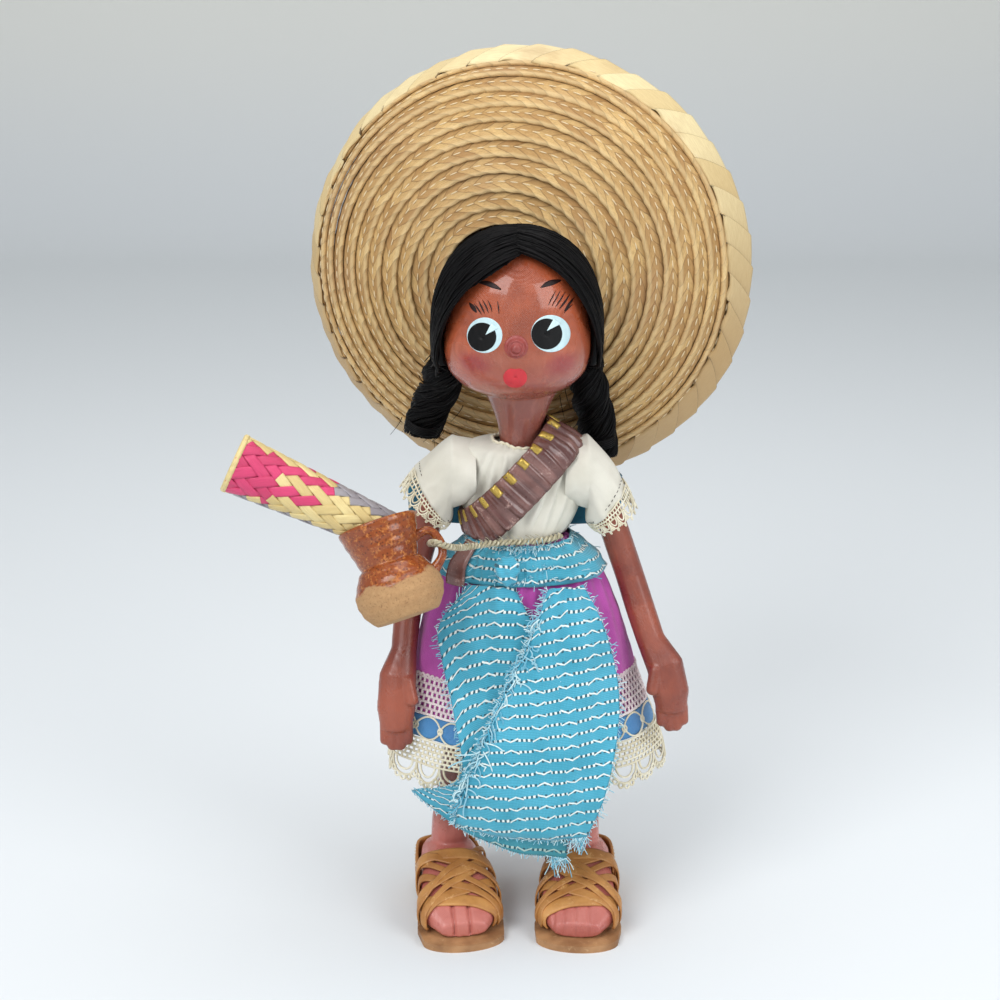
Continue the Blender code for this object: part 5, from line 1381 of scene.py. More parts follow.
    def bound_edge(self) -> Shape:
        """Leaf folded over the brim's edge, with the slanting folds of each turn and painted shade in their fold
        lines.
        """
        fine = np.linspace(0, TURN, 1201)
        rim = self.brim(fine, np.full(1201, self.slant), np.zeros(1201))
        run = run_along(rim)
        folds = round(run[-1] / (11.5 * MM))
        parts = np.array((0, 0.03, 0.09, 0.18, 0.28, 0.38, 0.48, 0.58, 0.68, 0.78, 0.87, 0.93, 0.965, 0.985))
        phase = (np.arange(folds)[:, None] + parts).ravel()
        count = len(phase)
        shares = np.concatenate((np.linspace(0, 1, 12), np.linspace(1, 0.06, 9)))
        half = np.concatenate((np.full(12, 1.0), np.full(9, -1.0))) * 0.8 * MM
        half[11], half[12] = 0.45 * MM, -0.45 * MM
        half[0] = 0.35 * MM
        place = ((phase[:, None] - shares[None] * 1.15) / folds) % 1 * run[-1]
        turn = np.interp(place, run, fine)
        part = np.tile(parts, folds)[:, None]
        step = part**1.4 * 0.85 * MM
        ragged = lumps((1, count), 71, 1.6, True)[0] * 0.45 * MM
        length = self.slant - self.binding + shares[None] * self.binding + ragged[:, None] * (1 - shares[None]) ** 6
        wave = lumps((1, count), 72, 9, True)[0] * 0.25 * MM
        sign = np.sign(half)
        proud = half[None] + sign[None] * step + wave[:, None] + 0.75 * MM * (1 - shares[None])
        proud = np.where(sign[None] < 0, half[None] - step - 0.55 * MM * (1 - shares[None]), proud)
        grid = self.brim(turn, length, proud)
        chance = np.random.default_rng(73).random(folds)
        # Painted shade: the fold lines get tint 2, which the finish paints dark brown.
        tint = np.where((part < 0.01) | (part > 0.98), 2.0, np.repeat(chance, len(parts))[:, None])
        tint = np.broadcast_to(tint, length.shape)
        shape = Shape()
        along = np.append(phase, folds)[:, None] * 11.5 + 0 * shares[None]
        across = shares[None] * self.binding / MM + 0 * along
        places = np.stack([along, across], axis=2)
        rows = np.transpose(grid, (1, 0, 2))
        shape.sheet(rows[::-1], 0.35 * MM, True, np.transpose(places, (1, 0, 2))[::-1], 1.0, tint.T[::-1])
        return shape

    def build(self, shop: Workshop) -> None:
        """Make the hat and put it on the doll."""
        brim, brim_seam = self.strip(self.brim, (0.0, self.slant - self.binding + 3.2 * MM), 11)
        shop.piece("hat_brim_braid", brim, "palm_braid", slot="palm_straw", replaces=["hat_brim"])
        top = self.crown_profile()[0][-1]
        crown, crown_seam = self.strip(self.crown, (0.0, top), 12)
        self.close_middle(crown)
        shop.piece("hat_crown_braid", crown, "palm_braid", slot="palm_straw", replaces=["hat_crown"])
        leaf = self.bound_edge()
        shop.piece("hat_leaf_binding", leaf, "binding_leaf", slot="palm_straw", replaces=["hat_binding"])
        seams, stitch = [brim_seam, crown_seam], (0.22 * MM, 1.4 * MM)
        shop.stitches("hat_stitches", seams, 4.2 * MM, stitch, "hat_thread", slot="palm_straw")


@dataclass
class Stage:
    """The plain room: floor, backdrop, soft lamps and the photograph's camera."""

    camera_place: tuple[float, float, float] = (0.001687, -0.576584, 0.3393)
    camera_tilt: float = math.radians(18)
    lens: float = 62.6
    floor_colour: Colour = tone(226, 230, 233)
    back_colour: Colour = tone(238, 238, 232)

    def camera(self) -> None:
        """Set the camera at the photograph's viewing angle."""
        data = bpy.data.cameras.new("photo_camera")
        data.lens, data.sensor_width = self.lens, 36.0
        data.clip_start, data.clip_end = 0.01, 20
        made = bpy.data.objects.new("photo_camera", data)
        made.location = self.camera_place
        made.rotation_euler = (math.pi / 2 - self.camera_tilt, 0, 0)
        bpy.context.scene.collection.objects.link(made)
        bpy.context.scene.camera = made

    def room(self) -> None:
        """Make the floor, which curves up into the backdrop."""
        points = [(y, 0.0) for y in np.linspace(-2.4, 1.3, 8)]
        points += [(1.3 + 0.3 * math.sin(turn), 0.3 - 0.3 * math.cos(turn)) for turn in np.linspace(0.1, 1.5, 14)]
        points += [(1.6, z) for z in np.linspace(0.4, 2.4, 6)]
        grid = np.array([[(x, y, z) for x in np.linspace(2.6, -2.6, 9)] for y, z in points])
        room = Shape()
        rows, columns = grid.shape[:2]
        first = room.take(grid, 0.0)
        number = first + np.arange(rows * columns).reshape(rows, columns)
        places = surface_places(grid, False)
        corners = (number[:-1, 1:], number[:-1, :-1], number[1:, :-1], number[1:, 1:])
        room.quads(corners, (places[:-1, 1:], places[:-1, :-1], places[1:, :-1], places[1:, 1:]))
        mesh = room.mesh("studio_floor")
        mix = Recipe("studio_paper")
        height = mix.stretch(mix.axes(Where.OBJECT)[2], 0.0, 0.3)
        mesh.materials.append(mix.finish(mix.mix(height, self.floor_colour, self.back_colour), 0.9))
        made = bpy.data.objects.new("studio_floor", mesh)
        bpy.context.scene.collection.objects.link(made)

    def lamp(self, name: str, place: Sequence[float], size: float, watts: float) -> None:
        """Add a soft square lamp that looks at the doll."""
        data = bpy.data.lights.new(name, "AREA")
        data.shape, data.size, data.energy = "SQUARE", size, watts
        made = bpy.data.objects.new(name, data)
        made.location = place
        way = Vector((0, 0, 0.14)) - Vector(place)
        made.rotation_euler = way.to_track_quat("-Z", "Y").to_euler()
        bpy.context.scene.collection.objects.link(made)

    def light(self) -> None:
        """Set the lamps and the world."""
        self.lamp("key_lamp", (-0.55, -0.75, 0.95), 0.7, 9.0)
        self.lamp("fill_lamp", (0.8, -0.6, 0.6), 0.6, 4.6)
        self.lamp("top_lamp", (0.1, 0.15, 1.1), 0.8, 4.0)
        world = bpy.data.worlds.new("studio_world")
        world.use_nodes = True
        world.node_tree.nodes["Background"].inputs["Color"].default_value = tone(236, 240, 244)
        world.node_tree.nodes["Background"].inputs["Strength"].default_value = 0.52
        bpy.context.scene.world = world
        bpy.context.scene.view_settings.view_transform = "Standard"


@dataclass
class Head:
    """The painted cloth head with its neck and button nose, and the face painted on it."""

    camera: tuple[float, float, float]
    tilt: float
    lens: float
    node: str = "head"
    place: tuple[float, float] = (-1.2 * MM, -4.5 * MM)
    chin: float = 193.2 * MM
    height: float = 53.0 * MM
    half_width: float = 24.25 * MM
    front: float = 23.5 * MM
    back: float = 19.5 * MM
    nose: tuple[float, float] = (516.3, 347.3)
    nose_radius: float = 4.0 * MM
    sides: int = 96
    shape: Table = (
        (0.0, 0.42, 0.36), (0.05, 0.68, 0.6), (0.13, 0.89, 0.83), (0.24, 0.995, 0.97), (0.5, 0.99, 1.0),
        (0.67, 0.91, 0.96), (0.82, 0.74, 0.82), (0.93, 0.5, 0.58), (1.0, 0.2, 0.24),
    )  # fmt: skip
    neck: Table = ((0.0, 0.94), (0.3, 1.1), (0.6, 1.5), (0.85, 1.92), (1.0, 1.85))
    neck_radius: float = 7.1 * MM
    neck_foot: float = 173.8 * MM
    eyes: tuple[tuple[float, ...], ...] = (
        (484.5, 335.3, 17.8, 17.8, 481.9, 337.0, 14.4),
        (550.8, 333.6, 19.7, 18.6, 546.8, 334.0, 15.5),
    )
    glints: tuple[tuple[tuple[float, float], ...], ...] = (
        ((491.0, 323.5), (498.0, 328.5), (485.3, 335.0)),
        ((554.0, 318.5), (561.5, 323.5), (546.8, 331.0)),
    )
    strokes: tuple[tuple[float, ...], ...] = (
        (469, 302.5, 472.5, 307, 476.5, 312.5, 4.4), (478.5, 301, 481.5, 307, 484.5, 313.5, 1.7),
        (482.5, 300, 486, 306.5, 488.5, 313, 1.4), (487.5, 300, 490.5, 306, 492, 312, 1.2),
        (474, 303.5, 478, 309, 481.5, 314.5, 1.5), (497.5, 301, 498.5, 308, 499, 314, 1.2),
        (574.5, 297, 570, 303, 564.5, 311, 2.6), (570, 294, 565.5, 301, 559.5, 309, 2.0),
        (565.5, 291.5, 561, 299, 555.5, 307, 1.5), (560.5, 290.5, 556.5, 298, 552, 306, 1.3),
        (556, 290.5, 552.5, 297, 548.5, 305, 1.2), (573.5, 304, 568.5, 308, 564, 313, 1.4),
        (477.5, 282.2, 488, 283.6, 501, 289.4, 5.4), (540.5, 287.6, 549, 283.4, 561, 280.2, 5.6),
    )  # fmt: skip
    mouth: tuple[float, float, float, float] = (515.2, 377.8, 11.5, 10.6)
    blushes: tuple[tuple[float, float], ...] = ((473.0, 363.0), (563.0, 364.0))

    def solid(self, shop: Workshop) -> bpy.types.Mesh:
        """The head and neck as one skin."""
        shares = np.concatenate((np.linspace(0, 0.9, 44), np.linspace(0.92, 0.998, 12)))
        sizes = smooth_table(self.shape, shares)
        turns = all_round(self.sides)
        rings = []
        for share, (wide, deep) in zip(shares, sizes):
            depth = np.where(np.sin(turns) > 0, self.back, self.front) * deep
            x = self.place[0] + self.half_width * wide * np.cos(turns)
            y = self.place[1] + depth * np.sin(turns)
            rings.append(np.stack([x, y, 0 * x + self.chin + share * self.height], 1))
        skull = Shape()
        skull.bar(np.array(rings) + DOLL)
        stops = np.linspace(0, 1, 18)
        radii = smooth_table(self.neck, stops)[:, 0] * self.neck_radius
        top = self.chin + 7 * MM
        path = np.stack([0 * stops, 0 * stops - 0.3 * MM, self.neck_foot + stops * (top - self.neck_foot)], axis=1)
        skull.bar(tube(path + DOLL, radii, 48))
        return shop.stuffed("painted_head", skull.mesh("head_form"), 0.5 * MM, 5, 0.06 * MM)

    def button(self, middle: np.ndarray) -> Shape:
        """The nose: a small cloth button gathered in rings, with a ball in its middle."""
        shape = Shape()
        turns = all_round(56)
        rows = []
        for share in np.linspace(1, 0.01, 40):
            dome = 1.7 * math.sqrt(max(1 - share**2, 0)) + math.exp(-((share / 0.4) ** 4))
            ring = 0.34 * math.cos((share - 0.62) * 15) * math.exp(-(((share - 0.68) / 0.24) ** 2))
            pleat = 0.1 * np.cos(turns * 9) * math.exp(-(((share - 0.75) / 0.2) ** 2))
            reach = self.nose_radius * share
            lift = (dome + ring + pleat - 0.15) * MM
            droop = 0.22 * (1 - share) * MM
            x, z = np.cos(turns) * reach, np.sin(turns) * reach - droop
            y = middle[1] - lift + 0.7 * MM * share**4 + 0 * x
            rows.append(np.stack([middle[0] + x, y, middle[2] + z], axis=1))
        shape.sheet(np.array(rows), 0.7 * MM, True)
        return shape

    def skin_paint(self, blushes: np.ndarray) -> bpy.types.Material:
        """Glossy brown paint over canvas, with red cheeks, painted shade on the neck and a mauve painted reflection on
        the jaw.
        """
        mix = Recipe("painted_head")
        where = mix.place(Where.OBJECT)
        patches = mix.stretch(mix.noise(where, 60, 4), 0.3, 0.72)
        colour = mix.mix(patches, tone(184, 90, 54), tone(146, 66, 38))
        _, _, z = mix.axes(Where.OBJECT)
        # Painted shade: the neck, under the chin, is darker.
        neck = mix.stretch(z, 0.199, 0.19)
        colour = mix.mix(neck, colour, tone(140, 74, 62))
        # Painted reflection: the jaw is turned mauve.
        jaw = mix.times(mix.stretch(z, 0.212, 0.2), mix.minus(1.0, neck))
        colour = mix.mix(mix.times(jaw, 0.45), colour, tone(160, 78, 76))
        for spot in blushes:
            squash = mix.tree.nodes.new("ShaderNodeVectorMath")
            squash.operation = "MULTIPLY"
            mix.feed(squash.inputs[0], mix.add("TexCoord", result="Object"))
            squash.inputs[1].default_value = (1.0, 1.0, 1.75)
            away = mix.tree.nodes.new("ShaderNodeVectorMath")
            away.operation = "DISTANCE"
            mix.feed(away.inputs[0], squash.outputs["Vector"])
            away.inputs[1].default_value = tuple(spot * (1.0, 1.0, 1.75))
            ragged = mix.math("MULTIPLY_ADD", mix.noise(where, 260, 3), 0.003)
            ragged.node.inputs[2].default_value = -0.0015
            near = mix.stretch(mix.plus(away.outputs["Value"], ragged), 0.0095, 0.002)
            colour = mix.mix(mix.times(near, 0.85), colour, tone(150, 28, 30))
        strokes = mix.noise(mix.place(Where.OBJECT, (1, 1, 0.3)), 380, 4, 0.65)
        colour = mix.mix(mix.stretch(strokes, 0.5, 0.8, 0, 0.3), colour, tone(214, 128, 96))
        height = mix.plus(mix.canvas(0.55), mix.times(mix.noise(where, 190, 3), 2.0))
        rough = mix.stretch(mix.noise(where, 90, 3), 0.3, 0.7, 0.16, 0.36)
        return mix.finish(colour, rough, height, 0.085, CoatWeight=0.75, CoatRoughness=0.12)

    def build(self, shop: Workshop) -> None:
        """Make the head and paint its face."""
        mesh = self.solid(shop)
        head = bpy.data.objects.new("head_form", mesh)
        rays = PhotoRays(Skin.over([head]), np.array(self.camera), self.tilt, self.lens)
        bpy.data.objects.remove(head)
        blushes = rays.onto(np.array([self.blushes]), 0.0)[0]
        mesh.materials.append(self.skin_paint(blushes))
        made = shop.piece("painted_head", mesh, "painted_arms", slot="cloth_skin", replaces=[self.node])
        nose = self.button(rays.onto(np.array([[self.nose]]), 0.0)[0, 0])
        shop.piece("button_nose", nose, "nose_paint", slot="cloth_skin")
        layers = {name: Shape() for name in ("eye_ring", "eye_dark", "eye_glint", "lash_brown", "mouth_red")}
        around = all_round(56)
        inward = np.array((1, 0.96, 0.85, 0.6, 0.3, 0.004))[:, None]

        def disc(x: float, y: float, wide: float, high: float, bend: np.ndarray | float = 1.0) -> np.ndarray:
            """Pixels of a filled oval, from its edge inwards."""
            across, up = np.cos(around) * wide * inward * bend, np.sin(around) * high * inward * bend
            return np.stack([x + across, y - up], axis=2)

        for x, y, wide, high, px, py, pupil in self.eyes:
            layers["eye_ring"].sheet(rays.onto(disc(x, y, wide, high), 0.06 * MM), 0.1 * MM, True)
            layers["eye_dark"].sheet(rays.onto(disc(px, py, pupil, pupil), 0.12 * MM), 0.1 * MM, True)
        for corners in self.glints:
            tips = np.array(corners)
            fan = np.array([[tips[0] + (tips[1] - tips[0]) * side for side in np.linspace(0, 1, 7)]])
            rows = np.concatenate([fan + (tips[2] - fan) * up * 0.97 for up in np.linspace(0, 1, 9)])
            layers["eye_glint"].sheet(rays.onto(rows[::-1], 0.17 * MM), 0.1 * MM)
        for ax, ay, bx, by, cx, cy, width in self.strokes:
            line = route(((ax, ay), (bx, by), (cx, cy)), 14)
            ahead = unit(np.gradient(line, axis=0))
            side = np.stack([-ahead[:, 1], ahead[:, 0]], axis=1)
            taper = np.sin(np.linspace(0.12, math.pi * 0.93, 14)) * width / 2
            row = np.stack([line + side * (taper * share)[:, None] for share in np.linspace(-1, 1, 5)], axis=1)
            layers["lash_brown"].sheet(rays.onto(row, 0.08 * MM), 0.1 * MM)
        x, y, wide, high = self.mouth
        heart = 1 - 0.16 * np.exp(-(((around - math.pi / 2) / 0.35) ** 2)) + 0.04 * np.cos(around * 2)
        layers["mouth_red"].sheet(rays.onto(disc(x, y, wide, high, heart), 0.1 * MM), 0.12 * MM, True)
        for name, shape in layers.items():
            shop.piece("face_" + name, shape, name, slot="cloth_skin")


@dataclass
class Hair:
    """Black hair combed from a middle parting into two plaits."""

    node: str = "hair_cap"
    middle: tuple[float, float, float] = (-1.2 * MM, -2.0 * MM, 216.0 * MM)
    strands: int = 620
    strand: float = 0.3 * MM
    plait_waves: dict[Side, float] = field(default_factory=lambda: {Side.RIGHT: 0.9, Side.LEFT: 1.15})
    fibres: int = 230
    stations: int = 40

    def build(self, shop: Workshop) -> None:
        """Make the cap, its strands and both plaits."""
        cap = shop.stuffed("hair_underlay", shop.nodes[self.node].data, 0.8 * MM, 3, -0.3 * MM)
        shop.piece("hair_underlay", cap, "hair_strands", slot="hair", replaces=[self.node])
        skin = Skin.over([shop.nodes[self.node]])
        paths, swells = [], []
        rng = np.random.default_rng(5)
        centre = np.array(self.middle) + DOLL
        for side in Side:
            ends = node_points(shop.nodes["plait_" + side.word])
            ends = ends[ends[:, 2] > ends[:, 2].max() - 5 * MM]
            root = (ends.min(axis=0) + ends.max(axis=0)) / 2 - (0, 0, 1.5 * MM)
            for number in range(self.strands):
                share = (number + rng.random()) / self.strands
                lift = math.radians(48 + 128 * share)
                start = np.array((side.value * (0.02 - 0.045 * rng.random()), -math.cos(lift), math.sin(lift)))
                low = math.radians(-20 + 24 * math.sin(share * 3) + rng.normal() * 7)
                swing = math.radians(-18 + 88 * share**1.2 + rng.normal() * 5)
                end = np.array((side.value * math.cos(swing), math.sin(swing), math.sin(low)))
                middle = unit(start + end + np.array((side.value * 0.25, -0.32 * (1 - share) ** 2, 0.12)))
                stops = np.linspace(0, 1, 13)[:, None]
                ways = unit((1 - stops) ** 2 * unit(start) + 2 * stops * (1 - stops) * middle + stops**2 * unit(end))
                reach = skin.from_outside(centre, ways[None], FAR)
                if np.isnan(reach).sum() > 3:
                    continue
                reach = blur(fill_gaps(reach), 1.0, 1, False)[0]
                lane = 0.1 * MM + rng.random() * 0.95 * MM
                lane = lane + 0.3 * MM * math.sin(share * 70) * np.sin(np.linspace(0, 3, 13))
                path = centre + ways * (reach + lane)[:, None]
                if np.linalg.norm(root - path[-1]) < 24 * MM:
                    grow = np.linspace(0, 1, 9)[1:, None]
                    goal = root + rng.normal(size=3) * (2.6, 2.6, 1.2) * MM
                    elbow = path[-1] + unit(path[-1] - path[-3]) * 3.5 * MM + (side.value * 0.8 * MM, 0, 0)
                    gather = (1 - grow) ** 2 * path[-1] + 2 * grow * (1 - grow) * elbow + grow**2 * goal
                    path = np.concatenate((path, gather))
                paths.append(path)
                swells.append(np.concatenate(([0.5, 0.8], np.ones(len(path) - 4), [0.8, 0.45])))
        shop.threads("combed_hair", paths, self.strand, "hair_strands", slot="hair", sides=4, swells=swells)
        for side in Side:
            self.plait(shop, side)

    def spread(self, end: float) -> np.ndarray:
        """Even values from none to an end, one for each station of a plait."""
        return np.linspace(0, end, self.stations)

    def plait(self, shop: Workshop, side: Side) -> None:
        """Make one twisted plait over a core, with some loose hairs and its tie."""
        node = "plait_" + side.word
        points = node_points(shop.nodes[node])
        top, bottom = points[:, 2].max(), points[:, 2].min()
        levels = np.linspace(top - 1.5 * MM, bottom + 1.5 * MM, 12)
        line, widths = [], []
        for level in levels:
            near = points[np.abs(points[:, 2] - level) < 3.2 * MM]
            line.append(((near[:, 0].min() + near[:, 0].max()) / 2, (near[:, 1].min() + near[:, 1].max()) / 2, level))
            widths.append(np.ptp(near[:, 0]) / 2)
        path = blur(route(line, self.stations), 1.8, 0, False)
        path[0] += (0, 0, 1.4 * MM)
        width = np.interp(np.linspace(0, 11, self.stations), range(12), widths)
        width = np.clip(blur(width, 2, 0, False), 3.6 * MM, 6.6 * MM)
        ahead = unit(np.gradient(path, axis=0))
        across = unit(np.cross(ahead, (0.0, 1.0, 0.0)))
        deep = np.cross(ahead, across)
        rng = np.random.default_rng(8 + side.value)
        turns = self.spread(TURN * self.plait_waves[side])
        paths, swells = [], []
        for number in range(self.fibres):
            angle = number / self.fibres * TURN + rng.normal() * 0.06
            lobe = 0.74 + 0.3 * abs(math.cos(1.5 * angle)) ** 0.8
            layer = (0.1 * rng.random() + 0.92) * lobe
            drift = angle + turns + self.spread(rng.normal() * 0.35) + 0.08 * np.sin(self.spread(9) + number)
            puff = layer * width * (1 + 0.05 * np.sin(self.spread(14) + number * 1.7))
            wide, thick = np.cos(drift) * puff, np.sin(drift) * puff * 0.72
            paths.append(path + across * wide[:, None] + deep * thick[:, None])
            swells.append(np.concatenate((np.full(self.stations - 6, 1.0), np.linspace(0.9, 0.4, 6))))
        core = Shape()
        core.bar(np.array([circle(c, (a, b * 0.74), w * 0.72, 20) for c, a, b, w in zip(path, across, deep, width)]))
        shop.piece(f"plait_{side.word}_core", core, "hair_strands", slot="hair")
        for _ in range(60 if side is Side.LEFT else 22):
            start = rng.integers(7, self.stations - 4)
            count = int(rng.integers(7, 12))
            grow = np.linspace(0, 1, count)[:, None]
            sweep = unit(rng.normal(size=3) * (0.8, 0.4, 0.3) + (side.value * 0.5, 0, 0))
            root = path[start] + across[start] * rng.normal() * width[start] * 0.6
            paths.append(root + (sweep * grow**1.4 * 4.5 + np.array((0, 0, -1.0)) * grow * 5.5) * MM)
            swells.append(np.linspace(0.5, 0.2, count))
        name = f"plait_{side.word}_strands"
        shop.threads(name, paths, 0.3 * MM, "hair_strands", slot="hair", replaces=[node], sides=4, swells=swells)
        tie = path[-7]
        places = [tie + ahead[-7] * step * 0.7 * MM for step in range(-2, 3)]
        rings = [looped(circle(place, (across[-7], deep[-7]), width[-7] * 0.98, 22)) for place in places]
        shop.threads(f"plait_{side.word}_tie", rings, 0.42 * MM, "hair_strands", slot="hair", sides=6)


# Each heel's place on the floor, and how many degrees the foot turns outwards
HEELS = {Side.RIGHT: (-28.5 * MM, 19.5 * MM, -9.5), Side.LEFT: (24.5 * MM, 19.5 * MM, 4.5)}


def foot_frame(side: Side) -> tuple[np.ndarray, np.ndarray, np.ndarray]:
    """A heel's place and the ways forward and sideways."""
    x, y, turn = HEELS[side]
    angle = math.radians(turn)
    forward = np.array((-math.sin(angle), -math.cos(angle), 0.0))
    return np.array((x, y, 0.0)) + DOLL, forward, np.cross(forward, (0, 0, 1.0))


@dataclass
class Limbs:
    """Stuffed arms and legs of painted cloth, and the body under the clothes."""

    skin: float = 0.5 * MM

    def build(self, shop: Workshop) -> None:
        """Make the limbs and the body."""
        for side in Side:
            node = "arm_" + side.word
            mesh = shop.stuffed("stuffed_" + node, shop.nodes[node].data, self.skin, 10, 0.2 * MM)
            arm = shop.piece("stuffed_" + node, mesh, "painted_arms", side.arm, "cloth_skin", [node])
            self.leg(shop, side)
        mesh = shop.stuffed("stuffed_body", shop.nodes["torso"].data, 0.8 * MM, 6, 0.05 * MM)
        body = shop.piece("stuffed_body", mesh, "blouse_muslin", slot="muslin", replaces=["torso"])

    def leg(self, shop: Workshop, side: Side) -> None:
        """Make a leg and foot, with the toes pressed in, and the shin painted darker than the foot, partly as painted
        shade.
        """
        node = "leg_" + side.word
        mesh = shop.stuffed("stuffed_" + node, shop.nodes[node].data, self.skin, 9, 0.12 * MM)
        points = vectors(mesh, "co").astype(float)
        heel, forward, sideways = foot_frame(side)
        from_heel = points - heel
        along = from_heel @ forward / MM
        across = from_heel @ sideways / MM
        toes = np.clip((along - 41.5) / 5.5, 0, 1) * np.clip((points[:, 2] / MM - 2.9) / 1.2, 0, 1)
        big = -side.value
        stops = np.array((-3.4, 2.2) if side is Side.RIGHT else (-3.9, 0.7, 4.7, 8.2)) * -big
        toes = toes * (1.1 if side is Side.RIGHT else 0.35)
        depth = sum(np.exp(-(((across - stop) / 0.55) ** 2)) for stop in stops) * toes
        points -= forward * (depth * 1.3 * MM)[:, None]
        points[:, 2] -= depth * 0.75 * MM
        set_points(mesh, points)
        mix = Recipe("painted_leg_" + side.word)
        where = mix.place(Where.OBJECT)
        patches = mix.stretch(mix.noise(where, 60, 4), 0.3, 0.72)
        # The shin's maroon is partly the leg's paint and partly painted shade under the skirt; the foot is pink.
        shin_paint_and_shade = mix.mix(patches, tone(140, 70, 52), tone(98, 44, 36))
        foot = mix.mix(patches, tone(206, 124, 112), tone(180, 96, 86))
        height = mix.plus(mix.axes(Where.OBJECT)[2], mix.times(mix.noise(where, 160, 3), 0.006))
        colour = mix.mix(mix.stretch(height, 0.027, 0.04), foot, shin_paint_and_shade)
        relief = mix.plus(mix.canvas(0.6), mix.times(mix.noise(where, 240, 3), 1.2))
        rough = mix.stretch(mix.noise(where, 130, 3), 0.3, 0.7, 0.24, 0.5)
        mesh.materials.append(mix.finish(colour, rough, relief, 0.05, CoatWeight=0.3, CoatRoughness=0.25))
        leg = shop.piece("stuffed_" + node, mesh, "painted_feet", slot="cloth_skin", replaces=[node])


